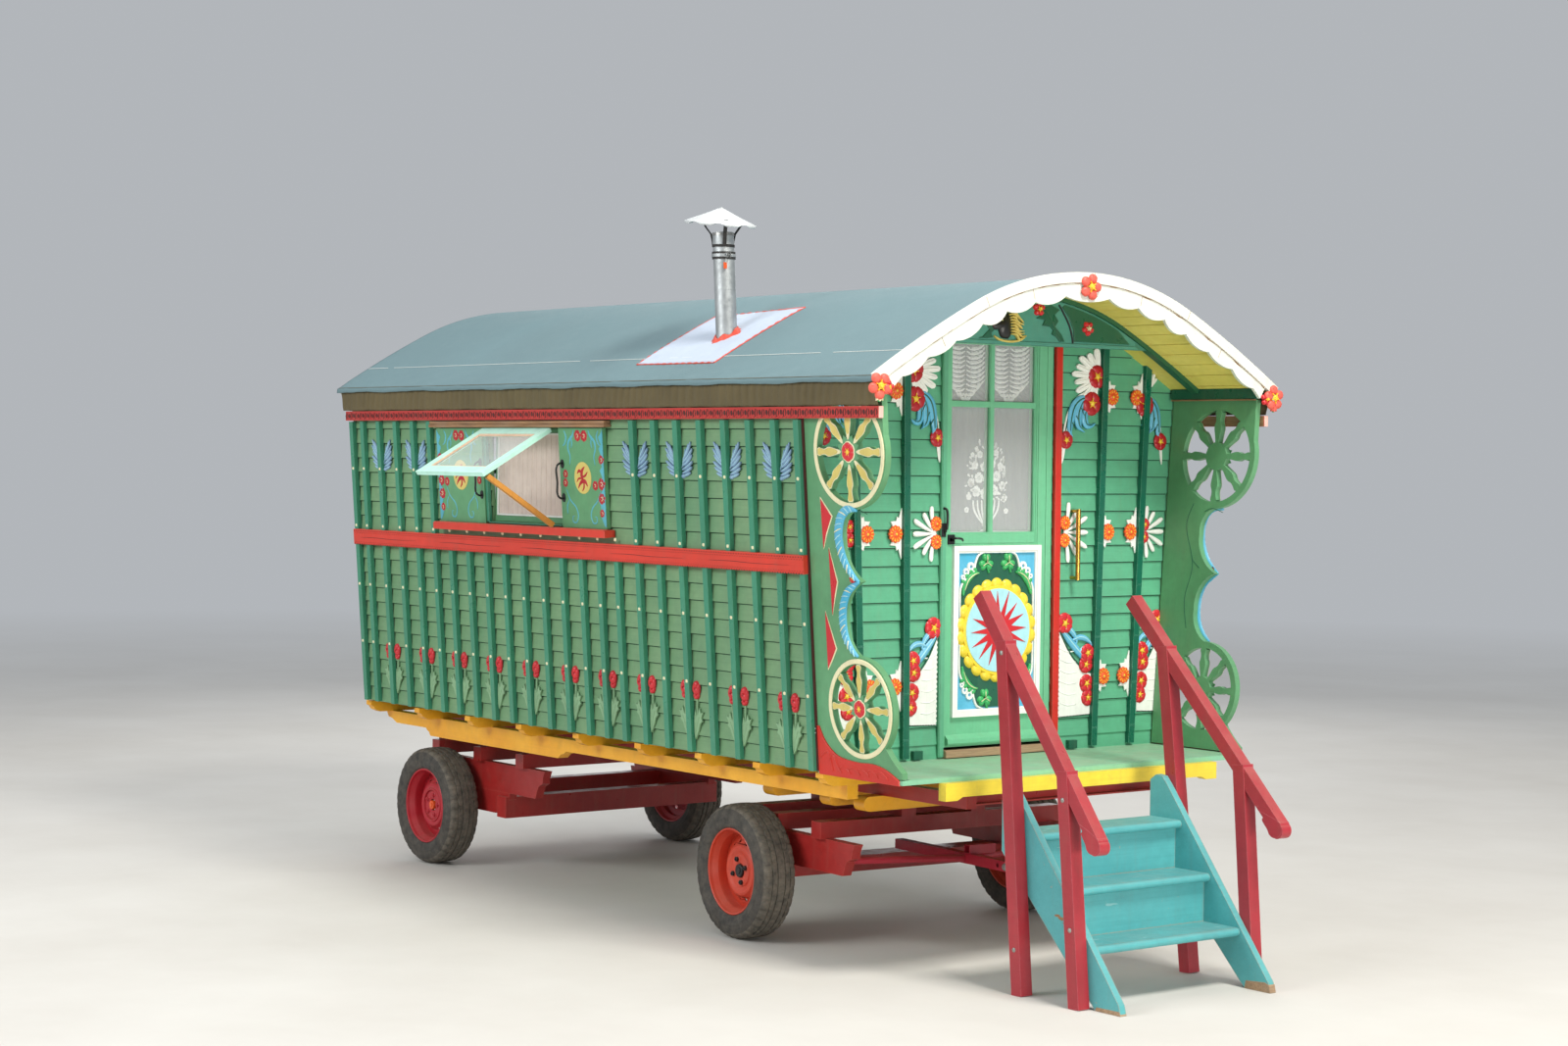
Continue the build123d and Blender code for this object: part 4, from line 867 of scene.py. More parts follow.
# ------------------------------------------------------------ porch brackets
def arc3(a, b, c, n=14):
    """points on the circle through three points, a to c, without c"""
    ax, ay, bx, by, cx, cy = *a, *b, *c
    d = 2 * (ax * (by - cy) + bx * (cy - ay) + cx * (ay - by))
    ux = ((ax * ax + ay * ay) * (by - cy) + (bx * bx + by * by) * (cy - ay) + (cx * cx + cy * cy) * (ay - by)) / d
    uy = ((ax * ax + ay * ay) * (cx - bx) + (bx * bx + by * by) * (ax - cx) + (cx * cx + cy * cy) * (bx - ax)) / d
    r = sqrt((ax - ux) ** 2 + (ay - uy) ** 2)
    ta, tb, tc = (atan2(q[1] - uy, q[0] - ux) for q in (a, b, c))
    two = 2 * pi
    if (tb - ta) % two < (tc - ta) % two:
        sweep = (tc - ta) % two
    else:
        sweep = -((ta - tc) % two)
    return [(ux + r * cos(ta + sweep * i / n), uy + r * sin(ta + sweep * i / n)) for i in range(n)]


BR_OUT = ([(10, 2), (10, 1640), (545, 1640)] + arc3((545, 1447.8), (556, 1375), (343, 1131), 26)
          + arc3((343, 1131), (268, 1100), (236, 1010), 10) + arc3((236, 1010), (268, 890), (353, 824), 12)
          + arc3((353, 824), (262, 760), (232, 650), 12) + arc3((232, 650), (250, 560), (312, 503), 10)
          + arc3((312, 503), (534, 281), (470, 126), 26) + arc3((470, 126), (520, 70), (572, 28), 8) + [(572, 28), (572, 2)])
WHEELS = ((310.0, 1375.0, 246.0), (312.0, 281.0, 222.0))
# half width of a turned spoke along its length, as shares of the open radius
SPOKE = ((0.24, 9.0), (0.31, 9.5), (0.40, 12.5), (0.50, 17.0), (0.60, 21.5), (0.67, 21.0), (0.73, 15.0), (0.79, 12.5), (0.86, 14.0),
         (0.93, 18.5), (0.965, 20.0), (0.975, 15.5), (1.0, 15.5))


def spoke_side(cx, cz, ro, a, sgn, grow=0.0, r_first=None):
    out = []
    for q, w in SPOKE:
        r = q * ro
        w = (w + grow) * ro / 216.0 * sgn
        out.append((cx + r * cos(a) - w * sin(a), cz + r * sin(a) + w * cos(a)))
    return out


def bracket_parts():
    board, over = Part(), Part()
    holes = []
    for cx, cz, r in WHEELS:
        ro = r - 30.0
        for k in range(8):
            a0, a1 = pi / 4 * k, pi / 4 * (k + 1)
            right = spoke_side(cx, cz, ro * 0.99, a0, 1.0)
            left = spoke_side(cx, cz, ro * 0.99, a1, -1.0)
            e0 = atan2(right[-1][1] - cz, right[-1][0] - cx)
            e1 = atan2(left[-1][1] - cz, left[-1][0] - cx)
            sw = (e1 - e0) % (2 * pi)
            rim_pts = [(cx + ro * cos(e0 + sw * i / 6), cz + ro * sin(e0 + sw * i / 6)) for i in range(7)]
            am = (a0 + a1) / 2
            root = [(cx + ro * 0.30 * cos(am), cz + ro * 0.30 * sin(am))]
            holes.append(root + right[1:-1] + rim_pts + list(reversed(left[1:-1])))
    holed(board, BRK, BR_OUT, holes, -30.0, 0.0, 0, 0, 0)
    # painted wheel: pale ring, pale edge lines, mustard spokes, red flower
    for cx, cz, r in WHEELS:
        ro = r - 30.0
        n = 56
        for ra, rb, t1, mat in ((ro + 1.0, r - 8.0, 5.0, 1),):
            vs, fs = [], []
            for i in range(n):
                a = 2 * pi * i / n
                for rr, t in ((ra, -0.5), (ra, t1 - 2), (ra + 3, t1), (rb - 3, t1), (rb, t1 - 2), (rb, -0.5)):
                    vs.append(BRK(cx + rr * cos(a), cz + rr * sin(a), t))
            for i in range(n):
                j = (i + 1) % n
                for q in range(6):
                    qq = (q + 1) % 6
                    fs.append((i * 6 + q, i * 6 + qq, j * 6 + qq, j * 6 + q))
            over.add(vs, fs, mat, False)
        for k in range(8):
            a = pi / 4 * k
            for grow, t0, t1, mat in ((-0.2, -0.5, 2.2, 1), (-3.4, 1.8, 4.2, 2)):
                l = spoke_side(cx, cz, ro * (0.985 if grow > -1 else 0.965), a, 1.0, grow)
                rr = spoke_side(cx, cz, ro * (0.985 if grow > -1 else 0.965), a, -1.0, grow)
                if grow > -1:
                    l, rr = l[1:], rr[1:]
                else:
                    l, rr = l[2:], rr[2:]
                tip = (cx + ro * (0.20 if grow > -1 else 0.34) * cos(a), cz + ro * (0.20 if grow > -1 else 0.34) * sin(a))
                plate(over, BRK, [tip] + list(rr) + list(reversed(l)), t0, t1, 1.0, mat)
        # star field and flower with a pale rim
        st = []
        for k in range(16):
            a = pi / 8 * k
            q = ro * (0.36 if k % 2 == 1 else 0.235)
            st.append((cx + q * cos(a), cz + q * sin(a)))
        plate(over, BRK, st, -0.5, 3.6, 1.0, 0)
        for k in range(6):
            a = 2 * pi * k / 6 + pi / 6
            puff(over, BRK, egg((cx, cz), a, 4, 47 * ro / 216, 46 * ro / 216), (cx + 24 * cos(a), cz + 24 * sin(a)), 3.2, 4.0, 1)
        flower(over, BRK, (cx, cz), 41 * ro / 216, 6.0, 3, 4, 6, 5.0, pi / 6)
    # acanthus edging down the waist: hollow crescents with cut veins
    for pts in (
            [(350, 1122, 10), (300, 1118, 36), (262, 1092, 50), (244, 1050, 54), (240, 1000, 52), (252, 948, 46), (276, 900, 38), (310, 860, 28), (346, 828, 10)],
            [(346, 820, 10), (306, 792, 30), (272, 762, 42), (250, 715, 48), (243, 665, 50), (246, 615, 46), (262, 572, 38), (290, 534, 26), (318, 508, 10)]):
        path = smooth_path(pts, 4)
        sh = []
        for i, (u, v, w) in enumerate(path):
            a, b = path[max(0, i - 1)], path[min(len(path) - 1, i + 1)]
            du, dv = b[0] - a[0], b[1] - a[1]
            l = sqrt(du * du + dv * dv) or 1.0
            sh.append((u + dv / l * w * 0.44, v - du / l * w * 0.44, w))
        stroke(over, BRK, [(u - 0, v, w) for u, v, w in sh], -0.5, 9.0, 5, 1)
        for i in range(3, len(sh) - 3, 2):
            u, v, w = sh[i]
            a, b = sh[i - 1], sh[i + 1]
            du, dv = b[0] - a[0], b[1] - a[1]
            l = sqrt(du * du + dv * dv) or 1.0
            nx, ny = dv / l, -du / l
            tx, ty = du / l, dv / l
            stroke(over, BRK, [(u - nx * w * 0.40 - tx * 10, v - ny * w * 0.40 - ty * 10, 3.0), (u, v, 6.5), (u + nx * w * 0.38 + tx * 14, v + ny * w * 0.38 + ty * 14, 2.5)],
                   6.0, 5.5, 6 if (i // 2) % 3 else 1, 3)
    flower(over, BRK, (300, 838), 22, -0.5, 3, 4, 5, 7.0)
    # three red kites with pale edges
    for tri in (((100, 1182), (182, 1100), (138, 1020), (110, 955)), ((146, 965), (200, 819), (180, 760), (152, 672)), ((102, 690), (172, 530), (140, 480), (103, 433))):
        plate(over, BRK, list(tri), -0.5, 2.4, 1.0, 1)
        plate(over, BRK, inset(list(tri), 6.5), 2.0, 4.6, 1.5, 3)
    # carved red foot
    foot = [(11, 186)] + smooth_path([(24, 186), (66, 120), (150, 66), (280, 50), (380, 52), (470, 36), (556, -2)], 4) + [(557, -26), (11, -26)]
    plate(over, BRK, foot, -0.5, 7.0, 3.0, 7)
    for q in range(7):
        x0 = 30 + q * 62
        stroke(over, BRK, [(x0, 6 + (q < 2) * 40, 3), (x0 + 26, 22 + (q < 2) * 46, 9), (x0 + 60, 14 + (q < 1) * 60, 8), (x0 + 84, -6, 3)], 5.5, 5.0, 7, 4)
    # incised line on the inner face, read from the porch
    return board, over


bb, bo = bracket_parts()
for nm, a_, b_ in (("right", bb, bo), ("left", bb.mirrored(), bo.mirrored())):
    make("bracket_board_" + nm, a_, ["shutter"], replaces=("porch_bracket_" + nm,), bevel=2.5, angle=50)
    make("bracket_carving_" + nm, b_, ["shutter", "cream", "mustard", "petal_red", "flower_yellow", "acanthus", "pale_blue", "frame_red"])
inner = Part()
for pts in ([(188, 1150, 3), (150, 1040, 3), (205, 860, 3), (168, 700, 3), (190, 560, 3)], [(205, 880, 3), (250, 846, 3)], [(262, 1112, 3), (310, 1128, 3), (380, 1110, 3)]):
    stroke(inner, lambda u, v, t: (u, 988.0 + v * SF + 0.0 - t, v), pts, 0.0, 1.6, 0, 8)
make("bracket_lines_left", inner, ["dark_green"])
make("bracket_lines_right", inner.mirrored(), ["dark_green"])
# dark edge strip between the bracket and the side boards: painted shade of the gap there
es = Part()
hexa(es, RIGHT, -2, 9.5, -14, 1640, -22, 6)
make("bracket_shade_strip_right", es, ["punch_and_shade_dark"])
make("bracket_shade_strip_left", es.mirrored(), ["punch_and_shade_dark"])


# --------------------------------------------------------- front wall carvings
# material numbers used below
FM = ["white", "acanthus", "dark_green", "petal_dark", "petal_red", "petal_orange", "flower_yellow", "pale_blue", "front_board", "black_paint"]
WH, AC, DG, PD, PR, PO, FY, PB, FB, BK = range(10)
FO = Part()
OUT = FRONT


def tab(u, v, s, hi=1.0):
    """pointed pale tab beside a rib, s = -1 points towards -Y"""
    o = [(u, v + 112 * hi), (u + s * 6, v + 96 * hi), (u + s * 16, v + 66), (u + s * 26, v + 74), (u + s * 30, v + 54), (u + s * 62, v + 52), (u + s * 48, v + 24), (u + s * 44, v),
         (u + s * 48, v - 24), (u + s * 64, v - 54), (u + s * 32, v - 56), (u + s * 27, v - 78), (u + s * 16, v - 70), (u + s * 7, v - 98 * hi), (u, v - 116 * hi)]
    plate(FO, OUT, o, 0.0, 7.0, 2.0, WH)


def finger(u, v, a, l, w, m=WH, t0=0.0, h=9.0, bend=0.0):
    pts = []
    for s, q in ((0.0, 0.25), (0.3, 0.55), (0.6, 0.85), (0.85, 1.0), (0.97, 0.72), (1.0, 0.3)):
        aa = a + bend * s
        pts.append((u + cos(aa) * l * s, v + sin(aa) * l * s, w * q))
    stroke(FO, OUT, pts, t0, h, m, 3)


def mid_fan(u, v, s, l=120.0, n=7, spread=1.15):
    """feather fan whose fingers point towards s"""
    for i in range(n):
        q = i / (n - 1) * 2 - 1
        a = q * spread
        ll = l * (1.0 - 0.16 * abs(q)) * (1.0 if i % 2 == 0 else 0.88)
        finger(u, v, a if s > 0 else pi - a, ll, 25.0, bend=-0.22 * q * s * -1)


def shell(c, rx, rz, a0, a1, n, r_in=0.24):
    """solid fan with rounded fingers, between two directions round its root"""
    o = []
    for i in range(n):
        b0, b1 = a0 + (a1 - a0) * i / n, a0 + (a1 - a0) * (i + 1) / n
        k_ = 1.0 if i % 2 == 0 else 0.92
        for f, q in ((0.0, 0.60), (0.07, 0.80), (0.20, 0.95), (0.38, 1.0), (0.62, 1.0), (0.80, 0.95), (0.93, 0.80)):
            a = b0 + (b1 - b0) * f
            q = q if f == 0.0 else q * k_
            o.append((c[0] + cos(a) * rx * q, c[1] + sin(a) * rz * q))
    o.append((c[0] + cos(a1) * rx * 0.6, c[1] + sin(a1) * rz * 0.6))
    o.append((c[0] + cos(a1) * rx * r_in, c[1] + sin(a1) * rz * r_in))
    o.append((c[0] + cos(a0) * rx * r_in, c[1] + sin(a0) * rz * r_in))
    plate(FO, OUT, o, 0.0, 9.0, 2.6, WH)
    for i in range(n):
        a = a0 + (a1 - a0) * (i + 0.5) / n
        stroke(FO, OUT, [(c[0] + cos(a) * rx * q, c[1] + sin(a) * rz * q, w) for q, w in ((0.30, 4), (0.55, 9), (0.80, 10), (0.92, 4))], 7.5, 4.0, WH, 3)


def bay(far, rib, zt_extra=0.0, upper=True, root_far=True):
    """carvings between the rib (y at the rib's edge) and the far side of a bay"""
    s = 1.0 if far > rib else -1.0
    w = abs(far - rib)

    def U(p):
        return rib + s * p * w

    # upper scroll: pale edge, dark line, blue leaves, red flowers
    if upper:
        arc_ = [(U(0.10), 1668), (U(0.35), 1664), (U(0.62), 1632), (U(0.82), 1572), (U(0.93), 1500), (U(0.97), 1440)]
        edge = arc_ + [(U(1.0), 1380), (U(0.99), 1330), (U(0.93), 1352), (U(0.88), 1400), (U(0.86), 1440), (U(0.80), 1500), (U(0.68), 1560), (U(0.40), 1600), (U(0.1), 1600)]
        plate(FO, OUT, smooth_closed(edge, 3), -1.0, 4.0, 1.5, WH)
        stroke(FO, OUT, [(U(0.08), 1656, 6), (U(0.35), 1650, 9), (U(0.60), 1620, 9), (U(0.78), 1562, 9), (U(0.87), 1500, 7), (U(0.90), 1452, 4)], 3.0, 5.0, DG)
        for pts in (
                [(U(0.15), 1634, 14), (U(0.42), 1630, 44), (U(0.64), 1596, 52), (U(0.74), 1536, 46), (U(0.77), 1480, 26), (U(0.70), 1458, 6)],
                [(U(0.40), 1618, 24), (U(0.52), 1566, 48), (U(0.51), 1512, 40), (U(0.42), 1488, 12), (U(0.34), 1478, 4)],
                [(U(0.22), 1602, 20), (U(0.33), 1556, 42), (U(0.28), 1512, 36), (U(0.12), 1508, 18), (U(0.02), 1520, 6)]):
            stroke(FO, OUT, pts, 3.0, 9.0, AC, 4)
            stroke(FO, OUT, [(a + s * 1.0, b + 3, c * 0.16 + 1.5) for a, b, c in pts[:-1]], 9.0, 4.5, DG, 3)
        for q in (0.46, 0.60, 0.72):
            stroke(FO, OUT, [(U(q), 1590 - (q - 0.46) * 260, 7), (U(q - 0.10), 1556 - (q - 0.46) * 260, 3)], 10.0, 3.0, DG, 3)
        flower(FO, OUT, (U(0.14), 1612), 57, 8.0, PD, FY, 5, 11.0, 0.9)
        flower(FO, OUT, (U(0.88), 1440), 42, 6.0, PD, FY, 5, 8.0, 0.2)
    # lower scroll and white panel
    arcz = [(0.0, 352), (0.2, 366), (0.45, 402), (0.68, 452), (0.86, 510), (1.0, 560)]
    pan = [(U(p), z - 6) for p, z in arcz]
    rim_ = []
    zz = 545.0
    i = 0
    while zz > 150:
        rim_.append((U(1.0) - s * (0.0 if i % 2 == 0 else 7.0), zz))
        zz -= 11.0
        i += 1
    plate(FO, OUT, smooth_path(pan, 3) + rim_ + [(U(1.0), 150), (U(0.0), 156)], -1.0, 4.0, 1.2, WH)
    stroke(FO, OUT, [(U(p), z + 2, 7 if 0 < p < 1 else 4) for p, z in arcz], 3.0, 5.5, DG, 4)
    i = 0
    while i * 9.0 < w - 4:
        plate(FO, OUT, ell((rib + s * (4 + i * 9.0), 151 + 6 * (1 - i * 9.0 / w)), 3.4, 3.0, 0, 8), 2.0, 6.0, 0.8, BK)
        i += 1
    for q in range(6):
        z = 470 - q * 50
        stroke(FO, OUT, [(U(0.96), z, 3), (U(0.72), z - 16, 7), (U(0.46), z - 12, 4)], 3.2, 2.6, WH, 3)
    for pts in (
            [(U(0.98), 566, 6), (U(0.80), 530, 30), (U(0.58), 486, 40), (U(0.34), 440, 36), (U(0.14), 412, 16)],
            [(U(0.90), 556, 10), (U(0.72), 562, 26), (U(0.58), 540, 28), (U(0.48), 510, 16), (U(0.50), 486, 6)],
            [(U(0.60), 506, 12), (U(0.40), 520, 28), (U(0.20), 512, 26), (U(0.04), 486, 12), (U(0.08), 468, 5)],
            [(U(0.40), 452, 10), (U(0.24), 470, 22), (U(0.08), 462, 16), (U(0.02), 446, 5)]):
        stroke(FO, OUT, pts, 2.0, 9.0, AC if pts[0][1] > 500 else PB, 4)
        stroke(FO, OUT, [(a, b + 2, c * 0.15 + 1.2) for a, b, c in pts[:-1]], 9.0, 3.2, PB, 3)
    flower(FO, OUT, (U(0.84), 588), 50, 5.0, PR, FY, 5, 10.0, 0.5)
    flower(FO, OUT, (U(0.16), 446), 43, 9.0, PR, FY, 5, 9.0, 0.1)
    flower(FO, OUT, (U(0.20), 392), 42, 7.0, PR, FY, 5, 9.0, 0.7)
    flower(FO, OUT, (U(0.16), 302), 44, 4.0, PR, FY, 5, 9.0, 0.4)
    flower(FO, OUT, (U(0.12), 236), 40, 4.0, PR, FY, 5, 9.0, 0.9)


def smooth_closed(pts, per=4):
    n = len(pts)
    out = []
    for i in range(n):
        a, b, c, d = pts[i - 1], pts[i], pts[(i + 1) % n], pts[(i + 2) % n]
        for s in range(per):
            t = s / per
            out.append(tuple(0.5 * (2 * q + (r - p) * t + (2 * p - 5 * q + 4 * r - w) * t * t + (3 * q - p - 3 * r + w) * t ** 3)
                             for p, q, r, w in zip(a, b, c, d)))
    return out


def rib_y(yb, yt, z):
    return yb + (yt - yb) * (z - 10.0) / 1990.0


for s, edge_y, r_in, r_out in ((-1, -349.0, (-542, -562), (-792, -871)), (1, 386.0, (602, 653), (843, 937))):
    yi = lambda z: rib_y(r_in[0], r_in[1], z)
    yo = lambda z: rib_y(r_out[0], r_out[1], z)
    hw = 19.0
    bay(edge_y, yi(600) - s * hw)
    wall_e = s * 1046.0
    bay(wall_e - s * 6, yo(600) + s * hw + s * 4)
    # fans
    mid_fan(edge_y + s * 22, 1010, s, 150.0 if s < 0 else 170.0)
    daisy(FO, OUT, (edge_y + s * 24, 1055), 34, 4.0, PO, PO, FY)
    daisy(FO, OUT, (edge_y + s * 22, 974), 34, 4.0, PO, PO, FY)
    mid_fan(yo(1010) + s * (hw + 10), 1010, s, 150.0)
    flower(FO, OUT, (yo(1030) + s * (hw + 16), 1044), 32, 6.0, PR, FY, 5, 8.0)
    flower(FO, OUT, (yo(980) + s * (hw + 14), 986), 32, 6.0, PR, FY, 5, 8.0, 0.8)
    # upper fans over the scroll, rooted at the rib
    ru = yi(1735) - s * (hw + 6)
    sp = (88, 262) if s > 0 else (92, -82)
    shell((ru, 1738), 176, 132, radians(sp[0]), radians(sp[1]), 9)
    flower(FO, OUT, (yi(1735) - s * (hw + 26), 1738), 56, 8.0, PD, FY, 5, 10.0, 0.4)
    ru = yo(1700) + s * (hw + 20)
    for i in range(3):
        finger(ru, 1700, radians(96 - 22 * i) if s > 0 else radians(84 + 22 * i), 78 - i * 14, 17.0)
    # tabs and daisies at three levels between the ribs
    for z, ro_, rr in ((1645, 1.0, 40), (1011, 1.0, 40), (333, 1.0, 40)):
        a_, b_ = yi(z) + s * hw, yo(z) - s * hw
        tab(a_, z + 4, s)
        tab(b_, z + 4, -s)
        daisy(FO, OUT, (a_ + s * 38, z), rr, 6.0, PO, PO, FY)
        daisy(FO, OUT, (b_ - s * 42, z), rr, 6.0, PO, PO, FY)
    # cleats at the wall foot
    block(FO, 0.5, 22, s * 470 - 26, s * 470 + 26, 3, 42, 2)
make("front_carvings", FO, FM)
for a_ in (-1, 1):
    dots = Part()
    for r_ in ((-542, -562), (-792, -871)) if a_ < 0 else ((602, 653), (843, 937)):
        for z in (95, 300, 520, 760, 960):
            y = rib_y(r_[0], r_[1], z)
            block(dots, 23.5, 25.2, y - 18.4, y + 18.4, z - 3.5, z + 3.5)
    make("rib_bands_" + ("right" if a_ < 0 else "left"), dots, ["front_rib"])

# -------------------------------------------------------------------- door
dm = Part()
PANES = ((-284, -53, 1606, 1868), (-31, 220, 1606, 1868), (-284, -53, 1013, 1584), (-31, 220, 1013, 1584))
for y0, y1, z0, z1 in PANES:
    w = 3.0
    o, i_ = [(y0 - 1, z0 - 1), (y1 + 1, z0 - 1), (y1 + 1, z1 + 1), (y0 - 1, z1 + 1)], [(y0 + w, z0 + w), (y1 - w, z0 + w), (y1 - w, z1 - w), (y0 + w, z1 - w)]
    holed(dm, DOORS, o, [i_], -14.0, -3.0)
# mouldings on the wide stile, the rails and the weather bar
for y0, y1 in ((228, 236), (292, 299)):
    hexa(dm, DOORS, y0, y1, 52, 1916, 0, 4)
plate(dm, DOORS, [(240, 60), (288, 60), (288, 1910), (240, 1910)], -0.5, 5.0, 2.0, 0)
prism(dm, [(2, 58), (22, 58), (26, 66), (24, 84), (2, 104)], "y", -302, 318, 0)
plate(dm, DOORS, [(-258, 966), (222, 966), (222, 1006), (-258, 1006)], -0.5, 4.0, 1.6, 0)
make("door_mouldings", dm, ["door_mint"], body="door", bevel=1.0)

# carved lower panel
DP = Part()
DMATS = ["white", "pale_blue", "dark_green", "mustard_bright", "petal_red", "leaf_green", "acanthus", "cream"]
paint("mustard_bright", "#f0cf2c", 0.38, 0.08, "z", 0.12, dust=0.05, col2="#f6dc4c", streak=0.0, dirt=0.1)
o = [(-272, 182), (256, 182), (256, 955), (-272, 955)]
i_ = [(-248, 206), (232, 206), (232, 931), (-248, 931)]
holed(DP, DOORS, o, [i_], 0.0, 17.0, 0, 0, 0)
o2 = [(-244, 210), (228, 210), (228, 927), (-244, 927)]
plate(DP, DOORS, i_, 0.0, 4.0, 0.5, 6)
# inner white bead with blue shadow line
holed(DP, DOORS, inset(i_, 0.5), [inset(i_, 9.0)], 3.0, 13.0, 0, 0, 0)
CX, CZ = -8.0, 570.0
half = [(0, 350), (70, 350), (110, 338), (128, 306), (136, 268), (160, 246), (196, 224), (214, 190), (216, 120), (216, 0)]
qd = [(CX + u, CZ + v) for u, v in half] + [(CX + u, CZ - v) for u, v in reversed(half[:-1])]
qd = qd + [(CX - u, CZ - v) for u, v in half[1:]] + [(CX - u, CZ + v) for u, v in reversed(half[1:-1])]
plate(DP, DOORS, qd, 3.0, 7.0, 1.0, 2)
for su in (-1, 1):
    for sv in (-1, 1):
        stroke(DP, DOORS, [(CX + su * u, CZ + sv * v, w) for u, v, w in ((74, 356, 5), (112, 342, 11), (131, 306, 12), (141, 266, 12), (166, 246, 12), (201, 222, 12), (219, 186, 11), (221, 120, 8), (221, 60, 4))], 4.0, 10.0, 0, 4)
        for u, v, r in ((158, 290, 21), (186, 268, 17), (204, 243, 12)):
            ringp = ell((CX + su * u, CZ + sv * v), r, r, 0, 20)
            holed(DP, DOORS, ringp, [list(reversed(ell((CX + su * u, CZ + sv * v), r * 0.42, r * 0.42, 0, 12)))], 3.0, 12.0, 0, 0, 0)
        # leaf scroll hugging the oval
        stroke(DP, DOORS, [(CX + su * u, CZ + sv * v, w) for u, v, w in ((112, 262, 8), (140, 258, 22), (170, 236, 30), (196, 200, 26), (206, 160, 10))], 6.0, 12.0, 5, 4)
        for q, (u, v) in enumerate(((128, 268), (152, 258), (176, 240), (196, 214))):
            puff(DP, DOORS, ell((CX + su * (u + 6), CZ + sv * (v + 8)), 15, 11, 0.7 * su * sv, 10), (CX + su * (u + 6), CZ + sv * (v + 8)), 8.0, 9.0, 5)
        stroke(DP, DOORS, [(CX + su * u, CZ + sv * v, w) for u, v, w in ((120, 262, 2), (150, 252, 5), (180, 228, 5), (200, 184, 2))], 17.0, 4.0, 7, 4)
        # shamrock
        sx, sz = CX + su * 66, CZ + sv * 308
        for a in (90, 210, 330):
            aa = radians(a) if sv > 0 else radians(a)
            for e in (-0.34, 0.34):
                ux, uz = sx + 24 * cos(aa + e), sz + 24 * sin(aa + e)
                puff(DP, DOORS, ell((ux, uz), 20, 15, aa + e, 12), (ux, uz), 6.0, 13.0, 5)
        stroke(DP, DOORS, [(sx, sz, 8), (sx + 6, sz - 26, 8), (sx + 16, sz - 46, 12)], 6.0, 9.0, 5, 3)
        for a in (90, 210, 330):
            stroke(DP, DOORS, [(sx, sz, 3), (sx + 30 * cos(radians(a)), sz + 30 * sin(radians(a)), 4)], 16.5, 4.0, 7, 2)
for k_ in range(22):
    a = 2 * pi * (k_ + 0.5) / 22
    puff(DP, DOORS, ell((CX + 214 * cos(a), CZ + 212 * sin(a)), 33, 27, a + pi / 2, 16), (CX + 214 * cos(a), CZ + 212 * sin(a)), 6.0, 15.0, 3)
plate(DP, DOORS, ell((CX, CZ), 206, 204, 0, 56), 6.0, 20.0, 3.0, 3)
plate(DP, DOORS, ell((CX, CZ), 192, 190, 0, 56), 18.0, 23.0, 2.0, 1)
rs = random.Random(8)
st = []
for k_ in range(32):
    a = 2 * pi * k_ / 32 + 0.05
    q = (176 + rs.uniform(-12, 10)) if k_ % 2 == 0 else (72 + rs.uniform(-6, 8))
    st.append((CX + q * cos(a), CZ + q * sin(a)))
plate(DP, DOORS, st, 22.0, 25.5, 1.0, 4)
make("door_carved_panel", DP, DMATS, body="door", replaces=("door_panel",))

# hasp: plate and pull on the door, staple and bar on the post
hp_ = Part()
plate(hp_, DOORS, [(-300, 962), (-262, 962), (-262, 1006), (-300, 1006)], -0.5, 6.5, 1.5, 0)
block(hp_, 8, 22, -290, -276, 976, 990)
tube(hp_, smooth_path([(8, -284, 984), (30, -274, 990), (36, -246, 988), (22, -226, 980)], 4), 5.0, 0, 10)
make("door_hasp", hp_, ["black_paint"], body="door", bevel=1.0)
hq_ = Part()
block(hq_, 13.5, 19, -346, -322, 996, 1058)
tube(hq_, smooth_path([(16, -332, 1016), (32, -330, 1030), (37, -330, 1070), (36, -331, 1108), (30, -334, 1122), (14, -336, 1124)], 4), 6.0, 0, 10)
make("post_staple", hq_, ["black_paint"], bevel=1.0)

# door frame, red strip and pale threshold
df = Part()
block(df, 0, 14, -347, -317, 6, 1928, 0)
block(df, 14, 17, -343, -336, 10, 1925, 0)
block(df, 0, 20, 336, 374, 6, 1928, 1)
block(df, -32, 26, -315, 334, 1, 36, 2)
block(df, 26, 30, -315, 334, 2, 30, 2)
make("door_surround", df, ["front_board", "frame_red", "worn_wood"], replaces=("door_frame",), bevel=1.5)

# curtains: a hanging net with a lace vase of flowers, and ruched swags above
def net_sheet(name, y0, y1, z0, z1, fn, nu, nv):
    p = Part()
    vs, fs = [], []
    for side in (0.45, -0.45):
        for j in range(nv + 1):
            for i in range(nu + 1):
                y, z = y0 + (y1 - y0) * i / nu, z0 + (z1 - z0) * j / nv
                x, dz = fn((y - y0) / (y1 - y0), (z - z0) / (z1 - z0), y, z)
                vs.append((x + side, y, z + dz))
    q = (nu + 1) * (nv + 1)
    for j in range(nv):
        for i in range(nu):
            a = j * (nu + 1) + i
            fs.append((a, a + 1, a + nu + 2, a + nu + 1))
            fs.append((q + a, q + a + nu + 1, q + a + nu + 2, q + a + 1))
    for i in range(nu):
        fs.append((i, q + i, q + i + 1, i + 1))
        a = nv * (nu + 1) + i
        fs.append((a, a + 1, q + a + 1, q + a))
    for j in range(nv):
        a = j * (nu + 1)
        fs.append((a, a + nu + 1, q + a + nu + 1, q + a))
        a += nu
        fs.append((a, q + a, q + a + nu + 1, a + nu + 1))
    p.add(vs, fs, 0, True)
    return p


lo_net = net_sheet("lower", -290, 226, 1010, 1592, lambda a, b, y, z: (-45 + 3.0 * sin(y / 9.0 + 0.6 * sin(z / 160.0)) + 1.2 * sin(y / 31.0), 0.0), 130, 20)
lower_net = make("curtain_net", lo_net, ["net"], body="door")


